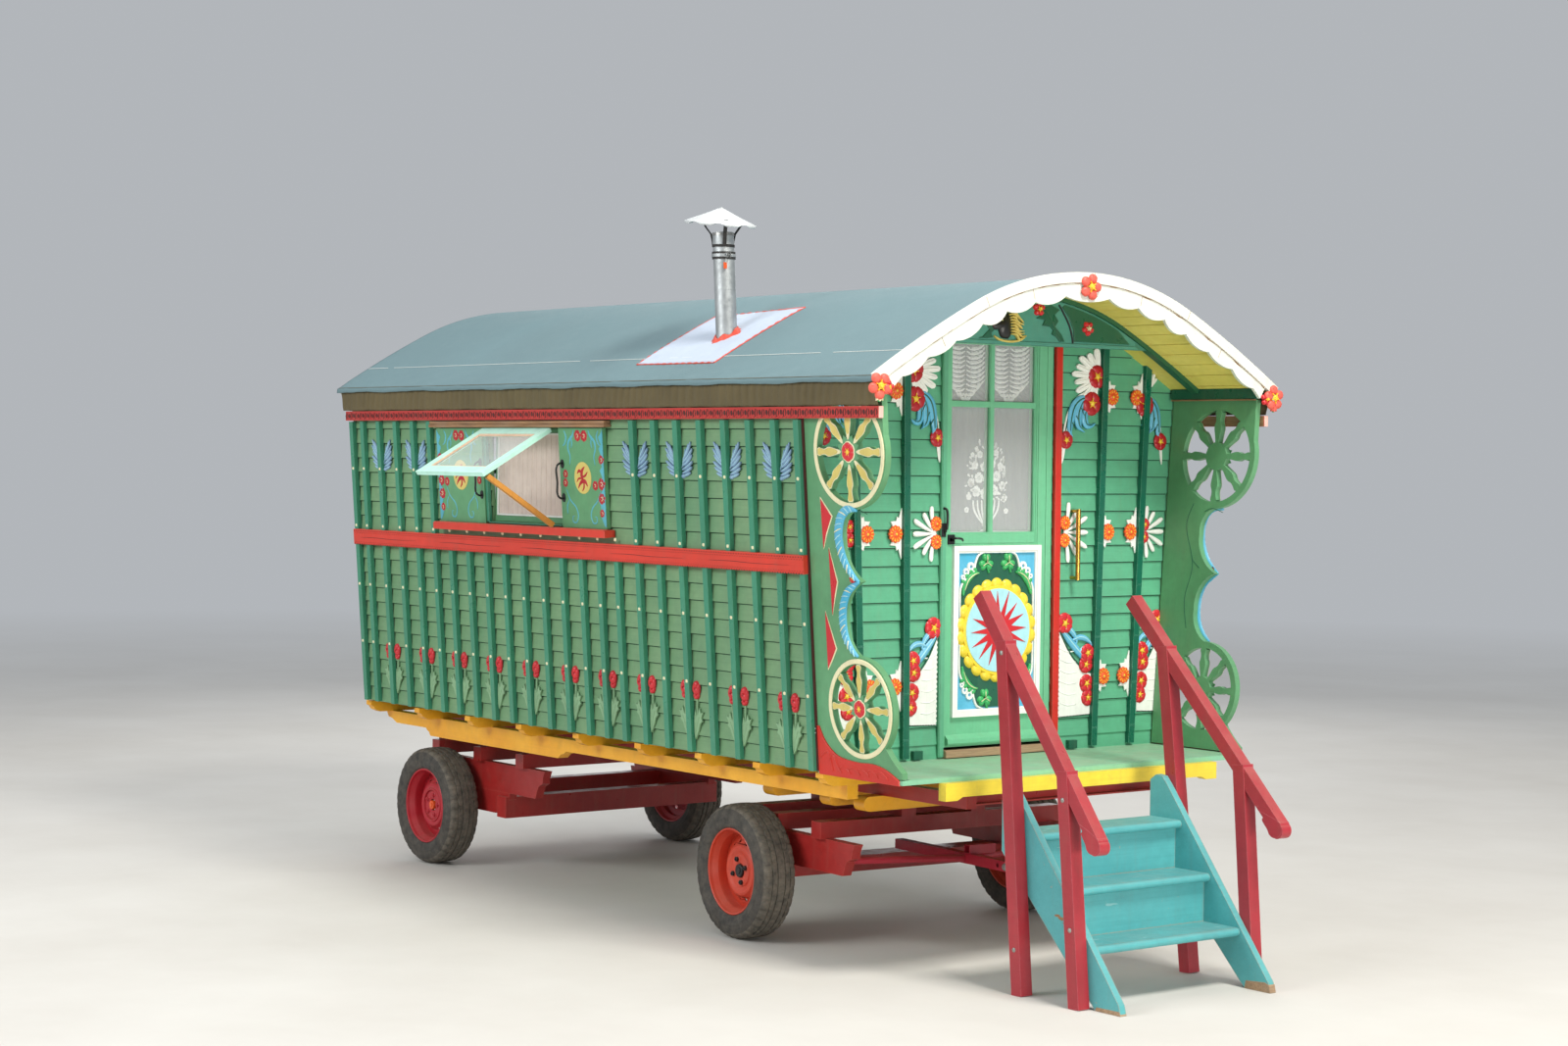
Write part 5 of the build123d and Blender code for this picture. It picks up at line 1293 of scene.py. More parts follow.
def swag(a, b, y, z):
    # two gathered panels, one behind each top pane, in hanging loops
    c = (y + 167) / 120.0 if y < -42 else (y - 93) / 120.0
    c = max(-1.0, min(1.0, c))
    ph = (z + 46.0 * c * c) / 22.0 * pi
    q = ph / pi - floor(ph / pi)
    return (-46 + 8.0 * (1.0 - q) ** 1.4 + 1.0 * sin(y / 6.0) - 4.0 * (abs(c) < 0.05), 0.0)


up_net = make("curtain_swags", net_sheet("upper", -290, 226, 1604, 1876, swag, 110, 92), ["net"], body="door")
lace = Part()
rs = random.Random(21)


def LACE(u, v, t):
    return (-41.0 + t, u, v)


def blossom(u, v, r):
    for k_ in range(5):
        a = 2 * pi * k_ / 5 + 0.3
        plate(lace, LACE, egg((u, v), a, r * 0.22, r, r * 0.95, 8), 0.0, 1.2, 0.4)
    plate(lace, LACE, ell((u, v), r * 0.18, r * 0.18, 0, 8), 0.0, 1.2, 0.3)


def lleaf(u, v, a, l):
    plate(lace, LACE, egg((u, v), a, 1, l, l * 0.5, 8), 0.0, 1.2, 0.4)


vc = -36.0
for q in range(7):   # bowl on a foot, in vertical gores
    a = (q - 3) / 3.0
    if q == 3:
        continue
    stroke(lace, LACE, [(vc + a * 16, 1052, 5), (vc + a * 44, 1078, 9), (vc + a * 72, 1118, 10), (vc + a * 78, 1160, 7)], 0.0, 1.2, 0, 3, True)
for y_, z_, rx, rz in ((vc, 1046, 24, 5), (vc, 1034, 14, 8), (vc, 1020, 34, 7)):
    plate(lace, LACE, ell((y_, z_), rx, rz, 0, 16), 0.0, 1.2, 0.4)
for u, v, r in ((vc - 6, 1190, 30), (vc + 46, 1206, 26), (vc - 60, 1200, 26), (vc + 8, 1250, 30), (vc - 44, 1262, 26), (vc + 60, 1268, 26), (vc - 92, 1240, 20),
                (vc + 96, 1226, 20), (vc - 14, 1312, 24), (vc + 34, 1326, 22), (vc - 70, 1318, 20), (vc + 84, 1316, 18), (vc + 10, 1376, 20), (vc - 40, 1368, 18),
                (vc + 58, 1376, 16), (vc + 12, 1424, 15), (vc - 104, 1176, 16), (vc + 112, 1170, 16), (vc - 116, 1116, 14), (vc + 122, 1110, 14), (vc - 84, 1366, 12), (vc + 4, 1466, 10)):
    blossom(u, v, r)
for _ in range(120):
    a = rs.uniform(0, 2 * pi)
    q = sqrt(rs.uniform(0.35, 1.0))
    u, v = vc + 118 * q * cos(a), 1262 + 172 * q * sin(a)
    if v < 1170 and abs(u - vc) < 84:
        continue
    lleaf(u, v, atan2(v - 1180, u - vc) + rs.uniform(-0.7, 0.7), rs.uniform(14, 24))
SW = lambda u, v, t: (-37.5 + t, u, v)
for c_, h_ in ((-168.5, 113.0), (94.5, 122.0)):
    for k_ in range(12):
        z_ = 1872.0 - 21.0 * k_
        q = 1.0 if k_ < 9 else (0.80, 0.55, 0.28)[k_ - 9]
        for m_ in (-1, 1):
            pts = [(c_ + m_ * h_ * q, z_ + 2, 7.5), (c_ + m_ * h_ * 0.80 * q, z_ - 17, 11), (c_ + m_ * h_ * 0.52 * q, z_ - 27, 13), (c_ + m_ * h_ * 0.26 * q, z_ - 27, 11), (c_ + m_ * 5, z_ - 17, 6)]
            pts = [(u, min(v, 1872.0), w) for u, v, w in pts]
            stroke(lace, SW, pts, -5.0, 4.6, 0, 4)
            stroke(lace, SW, [(u, min(v + 8.5, 1873.0), 2.6) for u, v, w in pts[1:4]], -5.0, 3.2, 0, 3)
    plate(lace, SW, [(c_ - 7, 1640), (c_ + 7, 1640), (c_ + 4, 1618), (c_, 1607), (c_ - 4, 1618)], -5.0, 0.5, 1.0, 0)
    for m_ in (-1, 1):
        stroke(lace, SW, [(c_ + m_ * 36, 1652, 4), (c_ + m_ * 18, 1630, 6), (c_ + m_ * 4, 1612, 4)], -5.0, 4.2, 0, 3)
stroke(lace, LACE, [(-288, 1016, 7), (-150, 1014, 7), (0, 1016, 7), (224, 1014, 7)], -2.0, 3.0, 0, 4, True)
lace_ob = make("curtain_lace", lace, ["lace"], body="door")
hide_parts("door_curtains")

# ------------------------------------------------------------------ windows
wt = Part()
for side in (0, 1):
    q = Part()
    # worn head board, split along its length
    hexa(q, RIGHT, -3137, -1487, 1482, 1497, 0, 42, 0)
    hexa(q, RIGHT, -3130, -1492, 1497.8, 1513, 0, 39, 0)
    hexa(q, RIGHT, -3108, -1498, 957, 992, 0, 62, 1)
    hexa(q, RIGHT, -3100, -1506, 992, 996, 30, 60, 1)
    hexa(q, RIGHT, WX0 - 24, WX0 - 2, 1003, 1476, 0, 18, 2)
    hexa(q, RIGHT, WX1 + 2, WX1 + 16, 1003, 1476, 0, 12, 2)
    # reveal and the shutter runner
    hexa(q, RIGHT, WX0 - 2, WX1 + 2, 998, 1004, -20, 22, 2)
    wt.extend(q if side == 0 else q.mirrored())
o = [(-290, 1000), (290, 1000), (290, 1480), (-290, 1480)]
i_ = [(-250, 1040), (250, 1040), (250, 1440), (-250, 1440)]
holed(wt, REAR, o, [i_], 0.0, 26.0, 2, 2, 2)
holed(wt, REAR, inset(o, 6), [inset(o, 12)], 25.0, 30.0, 3, 3, 3)
block(wt, -4036, -4008, -12, 12, 1040, 1440, 2)
block(wt, -4036, -4008, -250, 250, 1230, 1252, 2)
make("window_boards", wt, ["raw_wood", "belt_red", "side_rib", "cream"], replaces=("window_trims",), bevel=2.0)

ins = Part()
z0, z1 = WIN_Z0, WIN_Z1 = 1005.0, 1470.0
for side in (0, 1):
    q = Part()
    # green inner frame, white bead, tongued boards
    for x0, x1, a, b in ((-2610, -2588, z0, z1), (-2588, -1940, z0, 1034), (-2588, -1940, 1448, z1)):
        block(q, x0, x1, -1078, -1060, a, b, 0)
    for x0, x1, a, b in ((-2588, -2576, 1034, 1448), (-2576, -1940, 1034, 1043), (-2576, -1940, 1440, 1448)):
        block(q, x0, x1, -1083, -1062, a, b, 1)
    x = -2575.0
    rs = random.Random(4)
    while x < -1944:
        w = min(44.0 + rs.uniform(-2, 2), -1942 - x)
        d = rs.uniform(-0.8, 0.8)
        prism(q, [(x + 0.3, -1062), (x + 0.3, -1074 + d), (x + 3, -1077 + d), (x + w - 3, -1077 + d), (x + w - 0.3, -1074 + d), (x + w - 0.3, -1062)], "z", 1043, 1440, 2)
        x += w
    ins.extend(q if side == 0 else q.mirrored())
make("inner_shutter_boards", ins, ["shutter", "white", "rose_white"], replaces=("inner_shutters",), bevel=1.0)


def SASH(u, v, t):
    c, s = cos(radians(30)), sin(radians(30))
    return (u, -1158.0 - v * c - t * s, 1463.0 - v * s + t * c)


sh = Part()
paint("sash_wood", "#dcb596", 0.6, 0.1, "x", 0.4, dust=0.1, col2="#e8c8ac", dirt=0.2)
for side in (0, 1):
    q = Part()
    a0, a1, b0, b1 = -2607 + 55, -1968 - 55, 55, 380
    for x0, x1, v0, v1 in ((a0, a0 + 15, b0, b1), (a1 - 8, a1, b0, b1), (a0 + 15, a1 - 8, b0, b0 + 16), (a0 + 15, a1 - 8, b1 - 8, b1)):
        vs = [SASH(x0, v0, 2.5), SASH(x1, v0, 2.5), SASH(x1, v1, 2.5), SASH(x0, v1, 2.5), SASH(x0, v0, 8), SASH(x1, v0, 8), SASH(x1, v1, 8), SASH(x0, v1, 8)]
        q.add(vs, [(0, 1, 2, 3), (4, 7, 6, 5), (0, 4, 5, 1), (1, 5, 6, 2), (2, 6, 7, 3), (3, 7, 4, 0)], 0)
    # joints of the frame and a worn drip edge
    for x in (a0 - 1, a1 + 1):
        hexa(q, SASH, x - 0.8, x + 0.8, b1, 439, 9.7, 10.5, 0)
    hexa(q, SASH, -2606, -1969, 430, 441, 9.0, 12.0, 1)
    sh.extend(q if side == 0 else q.mirrored())
make("sash_beads", sh, ["sash_wood", "sash_mint", "black_paint"], bevel=0.8)

# painted decoration on the sliding shutters, thin relief
SP = Part()
T = 24.0
paint("vine_blue", "#4aa5b8", 0.42, 0.12, "z", 0.15, dust=0.05, col2="#68bccb", streak=0.1)


def shutter_art(u0, u1, s):
    """s = 1: outer edge at u1; s = -1: outer edge at u0"""
    q = Part()
    cu = -1716.0 if s > 0 else -2862.0
    out, inn = (u1, u0) if s > 0 else (u0, u1)
    zc = 1238
    # scalloped outer edge
    pts = [(out, 1470), (out, 1004)]
    e = []
    z = 1010
    k_ = 0
    rr = random.Random(5)
    while z < 1466:
        d = 15 + (k_ % 3) * 11
        e.append((out - s * d, z))
        z += rr.uniform(14, 22)
        k_ += 1
    poly = [(out, 1004)] + e + [(out, 1470)]
    plate(q, RIGHT, poly, T - 0.5, T + 1.6, 0.6, 0)
    # vines: top scrolls and bottom curls
    for m in (-1, 1):
        a = lambda u: cu + m * u
        stroke(q, RIGHT, [(a(64), 1468, 5), (a(78), 1440, 13), (a(112), 1414, 15), (a(120), 1378, 12), (a(104), 1340, 8), (a(112), 1300, 4)], T - 0.5, 2.2, 0, 4)
        stroke(q, RIGHT, [(a(150), 1466, 4), (a(134), 1436, 12), (a(146), 1404, 10), (a(166), 1392, 4)], T - 0.5, 2.2, 0, 4)
        stroke(q, RIGHT, [(a(96), 1440, 4), (a(84), 1408, 9), (a(92), 1382, 4)], T - 0.5, 2.2, 0, 4)
        stroke(q, RIGHT, [(a(150), 1180, 3), (a(120), 1130, 7), (a(74), 1096, 8), (a(56), 1056, 8), (a(74), 1022, 8), (a(104), 1026, 7), (a(104), 1050, 5), (a(90), 1052, 3)], T - 0.5, 2.2, 0, 5)
        stroke(q, RIGHT, [(a(128), 1132, 3), (a(150), 1100, 8), (a(148), 1062, 4)], T - 0.5, 2.2, 0, 4)
    # oval with a tulip
    plate(q, RIGHT, ell((cu, zc), 73, 77, 0, 36), T - 0.5, T + 1.8, 0.8, 3)
    for pts in ([(cu - 40, zc - 50, 5), (cu - 26, zc - 30, 15), (cu - 4, zc - 16, 22), (cu + 22, zc - 18, 20), (cu + 40, zc - 40, 6)],
                [(cu + 2, zc - 14, 14), (cu - 8, zc + 12, 24), (cu - 2, zc + 36, 20), (cu + 20, zc + 54, 6)],
                [(cu - 6, zc + 26, 10), (cu - 30, zc + 34, 16), (cu - 46, zc + 20, 5)],
                [(cu - 2, zc + 4, 10), (cu + 24, zc + 12, 13), (cu + 44, zc + 30, 4)],
                [(cu + 10, zc - 24, 10), (cu + 8, zc - 46, 13), (cu - 6, zc - 62, 5)],
                [(cu - 10, zc - 2, 8), (cu - 36, zc - 4, 11), (cu - 52, zc - 20, 4)]):
        stroke(q, RIGHT, pts, T + 1, 2.6, 2, 4)
    # red flowers with white rings
    for u, v, r in ((cu - 32, 1441, 29), (cu + 24, 1440, 29), (inn + s * 48, 1256, 21), (inn + s * 44, 1213, 22), (out - s * 20, 1326, 24),
                    (out - s * 26, 1210, 31), (out - s * 82, 1202, 24), (out - s * 28, 1140, 31), (out - s * 30, 1070, 22)):
        flower(q, RIGHT, (u, v), r, T - 0.5, 2, 1, 7, 3.0, 0.2, 0.30)
        plate(q, RIGHT, ell((u, v), r * 0.2, r * 0.2, 0, 10), T + 2, T + 5.4, 0.6, 2)
    return q


SP.extend(shutter_art(-1917, -1530, 1))
SP.extend(shutter_art(-3087, -2638, -1))
SPM = ["vine_blue", "cream", "petal_dark", "mustard"]
make("shutter_paint_right", SP, SPM)
make("shutter_paint_left", SP.mirrored(), SPM)
hd = Part()
for u in (-1893.0, -2662.0):
    P_ = lambda v, t: RIGHT(u, v, t)
    tube(hd, smooth_path([P_(1304, T), P_(1308, T + 14), P_(1296, T + 32), P_(1270, T + 38), P_(1220, T + 34), P_(1172, T + 38), P_(1148, T + 32), P_(1136, T + 14), P_(1140, T)], 4), 5.0, 0, 10)
    for v in (1304, 1140):
        plate(hd, RIGHT, ell((u, v), 15, 22, 0, 14), T - 0.5, T + 3.5, 1.0)
HD = Part()
HD.extend(hd)
HD.extend(hd.mirrored())
make("shutter_handles", HD, ["black_paint"])

# ------------------------------------------------------ side wall carvings
SD = Part()
SM = ["cream", "feather", "petal_red", "sage", "pale_blue", "punch_and_shade_dark", "petal_dark"]
for i, x in enumerate(RIBS):
    for v in (1258, 948, 627, 313):
        if v == 1258 and -3142 < x < -1460:
            continue
        puff(SD, RIGHT, [(x + a, v + b) for a, b in ((-9, -7), (0, -9), (9, -7), (10, 0), (9, 7), (0, 9), (-9, 7), (-10, 0))], (x, v), 22.5, 5.0, 0, 2)
WING = ((0, 2, 64, 20, 15), (1, 16, 77, 46, 17), (3, 32, 83, 72, 18), (6, 50, 79, 101, 18), (9, 66, 84, 130, 18), (12, 80, 74, 160, 18), (5, 66, 54, 150, 15), (0, 40, 33, 128, 13))
for x in (-3714, -3349, -1290, -931, -558, -186):
    for s in (-1, 1):
        bx = x + s * 21
        for k_, (rx, rz, tx, tz, w) in enumerate(WING):
            mx, mz = rx + (tx - rx) * 0.55, rz + (tz - rz) * 0.42
            stroke(SD, RIGHT, [(bx + s * rx, 1254 + rz, w * 0.5), (bx + s * (rx + (mx - rx) * 0.5), 1254 + rz + (mz - rz) * 0.42, w * 0.9), (bx + s * mx, 1254 + mz, w),
                               (bx + s * (tx - (tx - mx) * 0.3), 1254 + tz - (tz - mz) * 0.34, w * 0.85), (bx + s * tx, 1254 + tz, w * 0.2)], 0.0, 7.0 + (k_ % 3) * 1.6, 1, 3)
            stroke(SD, RIGHT, [(bx + s * (rx + 6), 1254 + rz + 3, 1.5), (bx + s * mx, 1254 + mz + 1, 3.0), (bx + s * (tx - (tx - mx) * 0.3), 1254 + tz - (tz - mz) * 0.34, 1.5)], 6.6 + (k_ % 3) * 1.6, 1.6, 4, 2)
        puff(SD, RIGHT, ell((bx + s * 4, 1256), 13, 11, 0, 12), (bx + s * 4, 1256), 0.0, 11.0, 1)
for x in (-186, -558, -931, -1290, -1620, -1952, -2313, -2663, -3011, -3349, -3714):
    for s in (-1, 1):
        c = x + s * 50
        for dv, r1, r2 in ((296, 20, 20), (268, 22, 21), (240, 15, 12)):
            puff(SD, RIGHT, ell((c - s * 3, dv), r1, r2, 0, 14), (c - s * 3, dv), 0.0, 17.0, 2)
        for m in (-1, 1):
            puff(SD, RIGHT, ell((c + m * 16 - s * 3, 276), 12, 27, -m * 0.12, 12), (c + m * 16 - s * 3, 276), 0.0, 13.0, 2)
            puff(SD, RIGHT, ell((c + m * 12 - s * 3, 246), 9, 13, -m * 0.5, 10), (c + m * 12 - s * 3, 246), 0.0, 12.0, 2)
        puff(SD, RIGHT, ell((c - s * 3, 280), 4, 6, 0, 8), (c - s * 3, 280), 16.0, 4.0, 6)
        stroke(SD, RIGHT, [(c, 236, 10), (c - s * 2, 190, 9), (c - s * 5, 130, 9), (c - s * 8, 62, 7)], 0.0, 8.0, 3, 3)
        leaf = [(c - s * 24, 44), (c - s * 8, 62), (c + s * 8, 92), (c + s * 20, 118), (c + s * 38, 130), (c + s * 30, 146), (c + s * 46, 174), (c + s * 26, 168), (c + s * 15, 192),
                (c + s * 5, 162), (c - s * 6, 152), (c - s * 15, 180), (c - s * 24, 152), (c - s * 28, 112), (c - s * 29, 72)]
        plate(SD, RIGHT, leaf, 0.0, 9.0, 3.0, 3)
        stroke(SD, RIGHT, [(c - s * 19, 60, 2), (c - s * 4, 108, 5), (c + s * 16, 150, 2)], 7.5, 3.5, 3, 3)
        stroke(SD, RIGHT, [(c - s * 20, 90, 2), (c - s * 18, 130, 4), (c - s * 15, 166, 1.5)], 7.5, 3.0, 3, 3)
# belt rail: rows of punched dots, a scalloped lower edge and a drying crack
x = -4020.0
while x < -6:
    plate(SD, RIGHT, ell((x, 918), 3.0, 3.4, 0, 6), 31.5, 32.9, 0.4, 5)
    plate(SD, RIGHT, ell((x + 8, 908), 2.2, 2.4, 0, 6), 31.5, 32.8, 0.3, 5)
    plate(SD, RIGHT, [(x - 5, 844.4), (x + 5, 844.4), (x, 852)], 31.2, 33.0, 0.4, 5)
    plate(SD, RIGHT, ell((x + 8, 857), 2.2, 2.4, 0, 6), 31.5, 32.8, 0.3, 5)
    x += 19.0
for x0 in (-3950, -3100, -2300, -1500, -700):
    stroke(SD, RIGHT, [(x0, 882, 1), (x0 + 170, 884, 2.4), (x0 + 350, 880, 2), (x0 + 600, 882, 0.8)], 31.6, 1.0, 5, 3, True)


def CROWNS(u, v, t):
    return (u, -1164.0 - t, v)


# crown board: punched crescents and dots
x = -4032.0
i = 0
rs = random.Random(31)
while x < 552:
    sway = rs.uniform(-2, 2)
    if i % 2 == 0:
        stroke(SD, CROWNS, [(x - 4, 1521 + sway, 3), (x - 10, 1537, 9), (x - 3, 1555 + sway, 3)], -0.5, 1.6, 5, 3, True)
        stroke(SD, CROWNS, [(x + 6, 1526, 2.5), (x + 9, 1539 + sway, 7), (x + 4, 1553, 2.5)], -0.5, 1.6, 5, 3, True)
    else:
        plate(SD, CROWNS, ell((x, 1539 + sway), 8.0, 12.0, 0.25, 10), -0.5, 1.2, 0.4, 5)
    plate(SD, CROWNS, ell((x + 13, 1519), 2.0, 2.0, 0, 6), -0.5, 0.9, 0.3, 5)
    x += 26.0
    i += 1
make("side_carvings_right", SD, SM)
make("side_carvings_left", SD.mirrored(), SM)
ce = Part()
for s in (-1, 1):
    block(ce, 562.5, 565.5, s * 1163.5, s * 1140.5, 1513.5, 1562.5, 0)
    block(ce, 4, 560, s * 1139.9, s * 1138.0, 1515, 1561, 1)
paint("bare_end", "#e3b3a6", 0.7, 0.1, "z", 0.5, dust=0.05, dirt=0.3)
make("crown_ends", ce, ["bare_end", "raw_wood"])

paint("sealant", "#cf3d2c", 0.42, 0.14, "z", 0.1, dust=0.12, col2="#de5440", dirt=0.2)
# ---------------------------------------------------------------- roof end
def arc_pt(s, d, x):
    y, z = roof(s, d)
    return (x, y, z)


def BOARD_F(s, d, t):
    return arc_pt(s, d, 577.0 + t)


def BAND_F(s, d, t):
    return arc_pt(s, d, 585.0 + t)


def BAND_R(s, d, t):
    return arc_pt(s, d, -4098.0 - t)


rs = random.Random(8)
fg = Part()
# drying gap between the band and the scalloped board, uneven along its length; its dark bare-wood line is partly
# painted shade under the proud band
N_ = 220
for k_ in range(N_):
    s0, s1 = -1236 + 2472 * k_ / N_, -1236 + 2472 * (k_ + 1) / N_
    w0, w1 = (2.2 + 5.0 * max(0.0, sin(s0 / 71.0) * sin(s0 / 23.0 + 1.0)), 2.2 + 5.0 * max(0.0, sin(s1 / 71.0) * sin(s1 / 23.0 + 1.0)))
    d0 = 26.6 + 1.2 * sin(s0 / 40.0)
    d1 = 26.6 + 1.2 * sin(s1 / 40.0)
    vs = [BOARD_F(s0, d0, -2.0), BOARD_F(s1, d1, -2.0), BOARD_F(s1, d1 + w1, -2.0), BOARD_F(s0, d0 + w0, -2.0),
          BOARD_F(s0, d0, 0.7), BOARD_F(s1, d1, 0.7), BOARD_F(s1, d1 + w1, 0.7), BOARD_F(s0, d0 + w0, 0.7)]
    fg.add(vs, [(0, 3, 2, 1), (4, 5, 6, 7), (0, 1, 5, 4), (1, 2, 6, 5), (2, 3, 7, 6), (3, 0, 4, 7)], 0)
# butt joints of the scalloped board and of the band
for k_ in (-905, -335, 340, 902):
    plate(fg, BOARD_F, [(k_ - 0.9, 29), (k_ + 0.9, 29), (k_ + 1.4, 74), (k_ - 0.5, 74)], -2.0, 0.8, 0.3, 0)
for k_ in (-610, 30, 640):
    plate(fg, BAND_F, [(k_ - 0.8, -19), (k_ + 0.8, -19), (k_ + 0.8, 25), (k_ - 0.8, 25)], -2.0, 0.8, 0.3, 0)
# nail heads on the band and on the scalloped board
for k_ in range(42):
    q = -1180 + 2360 * (k_ + 0.5) / 42
    puff(fg, BAND_F, ell((q + rs.uniform(-5, 5), 4 + rs.uniform(-4, 4)), 3.0, 3.0, 0, 7), (q, 4), -0.4, 1.6, 1, 2)
    puff(fg, BOARD_F, ell((q + 20 + rs.uniform(-6, 6), 50 + rs.uniform(-5, 5)), 3.0, 3.0, 0, 7), (q + 20, 50), -0.4, 1.6, 1, 2)
make("fascia_gap_shade", fg, ["raw_wood", "ivory"])
paint("fascia_coral", "#e2574a", 0.5, 0.10, "z", 0.2, chip="#f0a090", chip_amt=0.25, dust=0.06, col2="#ea6a58", dirt=0.12)
paint("tym_teal", "#4a9182", 0.45, 0.10, "y", 0.2, chip="#8ab8ac", chip_amt=0.25, dust=0.1, dirt=0.15)
paint("fascia_yolk", "#f6c832", 0.5, 0.08, "z", 0.2, dust=0.05, dirt=0.1)
ff = Part()


def YZ(x0):
    return lambda u, v, t: (x0 + t, u, v)


def big_flower(part, S, c, r, m_pet, m_mid, rot):
    for k_ in range(5):
        a = rot + 2 * pi * k_ / 5
        o = []
        for i in range(20):
            b = 2 * pi * i / 20
            o.append((c[0] + cos(a) * r * 0.60 + cos(b) * r * 0.40, c[1] + sin(a) * r * 0.60 + sin(b) * r * 0.36))
        puff(part, S, o, (c[0] + cos(a) * r * 0.58, c[1] + sin(a) * r * 0.58), 0.0, 15.0, m_pet, 4)
        # vein grooves raised as low ridges
        for e in (-0.22, 0.0, 0.22):
            stroke(part, S, [(c[0] + cos(a + e) * r * 0.34, c[1] + sin(a + e) * r * 0.34, 2.0), (c[0] + cos(a + e * 1.1) * r * 0.60, c[1] + sin(a + e * 1.1) * r * 0.60, 2.6),
                             (c[0] + cos(a + e * 1.3) * r * 0.82, c[1] + sin(a + e * 1.3) * r * 0.82, 1.2)], 9.5, 4.6, m_pet, 3)
        st = [(c[0] + cos(a + 0.62 + e) * q * r, c[1] + sin(a + 0.62 + e) * q * r) for e, q in ((-0.3, 0.14), (0.3, 0.14), (0.06, 0.42), (-0.06, 0.42))]
        plate(part, S, st, 6.0, 14.0, 1.0, m_mid)
    puff(part, S, ell(c, r * 0.24, r * 0.24, 0, 14), c, 9.0, 11.0, m_mid)
    for k_ in range(7):
        a = 2 * pi * k_ / 7
        puff(part, S, ell((c[0] + cos(a) * r * 0.13, c[1] + sin(a) * r * 0.13), 3.2, 3.2, 0, 7), (c[0] + cos(a) * r * 0.13, c[1] + sin(a) * r * 0.13), 16.5, 4.5, m_mid, 2)


F_ = YZ(586.0)
big_flower(ff, F_, (-1178.0, 1646.0), 62.0, 0, 1, 0.9)
big_flower(ff, F_, (5.0, 2107.0), 62.0, 0, 1, 1.25)
big_flower(ff, F_, (1178.0, 1646.0), 62.0, 0, 1, 0.4)
for s_ in (-1, 1):   # bell pendant on its stem, and a bud behind
    yb = s_ * 1178.0
    stroke(ff, YZ(580.0), [(yb, 1616, 9), (yb + s_ * 2, 1596, 10), (yb, 1580, 8)], 0.0, 9.0, 2, 3)
    plate(ff, YZ(580.0), [(yb - 15, 1602), (yb - 17, 1584), (yb - 9, 1590), (yb, 1580), (yb + 9, 1590), (yb + 17, 1584), (yb + 15, 1602), (yb + 6, 1612), (yb - 6, 1612)], 0.0, 12.0, 3.0, 3 if s_ < 0 else 0)
    big_flower(ff, YZ(579.0), (yb - s_ * 46, 1640.0), 34.0, 4, 1, 0.2)
make("fascia_flowers", ff, ["fascia_coral", "fascia_yolk", "leaf_green", "cream", "petal_red"], bevel=0)

# ceiling boards of the porch with open joints, along the wagon
cb = Part()
CEIL_E = roof_at(1112.0)
s_ = -CEIL_E
rs = random.Random(77)
while s_ < CEIL_E - 1:
    w = min(92.0 + rs.uniform(-3, 3), CEIL_E - s_)
    dd = rs.uniform(-0.4, 0.5)
    sub = 3
    for q in range(sub):
        a, b = s_ + 2.2 + (w - 4.4) * q / sub, s_ + 2.2 + (w - 4.4) * (q + 1) / sub
        vs = [arc_pt(e, d, x) for x in (184.0, 560.0) for d in (45.0, 50.6 + dd) for e in (a, b)]
        cb.add(vs, [(0, 2, 3, 1), (4, 5, 7, 6), (0, 1, 5, 4), (2, 6, 7, 3), (0, 4, 6, 2), (1, 3, 7, 5)], 0)
    for x in (230.0, 500.0):
        for e in (s_ + 16, s_ + w - 16):
            puff(cb, lambda u, v, t: arc_pt(u, 50.6 + dd + t, v), ell((e, x + rs.uniform(-4, 4)), 3.0, 3.0, 0, 6), (e, x), -0.3, 1.0, 1, 2)
    s_ += w
for k_ in range(40):
    e = -CEIL_E + 2 * CEIL_E * (k_ + 0.5) / 40
    hw_ = CEIL_E / 40
    vs = [arc_pt(q, d, x) for x in (184.5, 559.5) for d in (44.5, 46.8) for q in (e - hw_, e + hw_)]
    cb.add(vs, [(0, 2, 3, 1), (4, 5, 7, 6), (0, 1, 5, 4), (2, 6, 7, 3), (0, 4, 6, 2), (1, 3, 7, 5)], 2)
make("ceiling_boards", cb, ["ceiling", "sill_yellow", "raw_wood"], bevel=0.9)
# plates along the tops of the porch sides
wp = Part()
for s_ in (-1, 1):
    prism(wp, [(s_ * 1088, 1641), (s_ * 1135, 1641), (s_ * 1135, 1661), (s_ * 1088, 1690)], "x", 10, 560, 0)
    block(wp, 12, 559, s_ * 1084, s_ * 1088.5, 1633, 1640, 1)
make("porch_wall_plates", wp, ["dark_green", "raw_wood"], bevel=1.5)

# ----------------------------------------------------- board over the door
TY = Part()
TYM = ["tym_teal", "dark_green", "petal_red", "flower_yellow", "black_paint", "mustard", "cream", "bow_green"]
T_ = YZ(183.0)
top_ = []
for k_ in range(25):
    y_ = -705 + 1410 * k_ / 24
    y2, z2 = roof(roof_at(y_) * (1 if y_ >= 0 else -1), 74.0)
    top_.append((y2, z2))
base_ = [(y, z) for y, z in top_ if z > 1884]
plate(TY, T_, [(base_[0][0], 1878.0)] + base_ + [(base_[-1][0], 1878.0)], -0.5, 4.0, 1.5, 0)
plate(TY, T_, [(-690, 1861), (690, 1861), (668, 1877), (-668, 1877)], -0.5, 9.0, 2.5, 0)
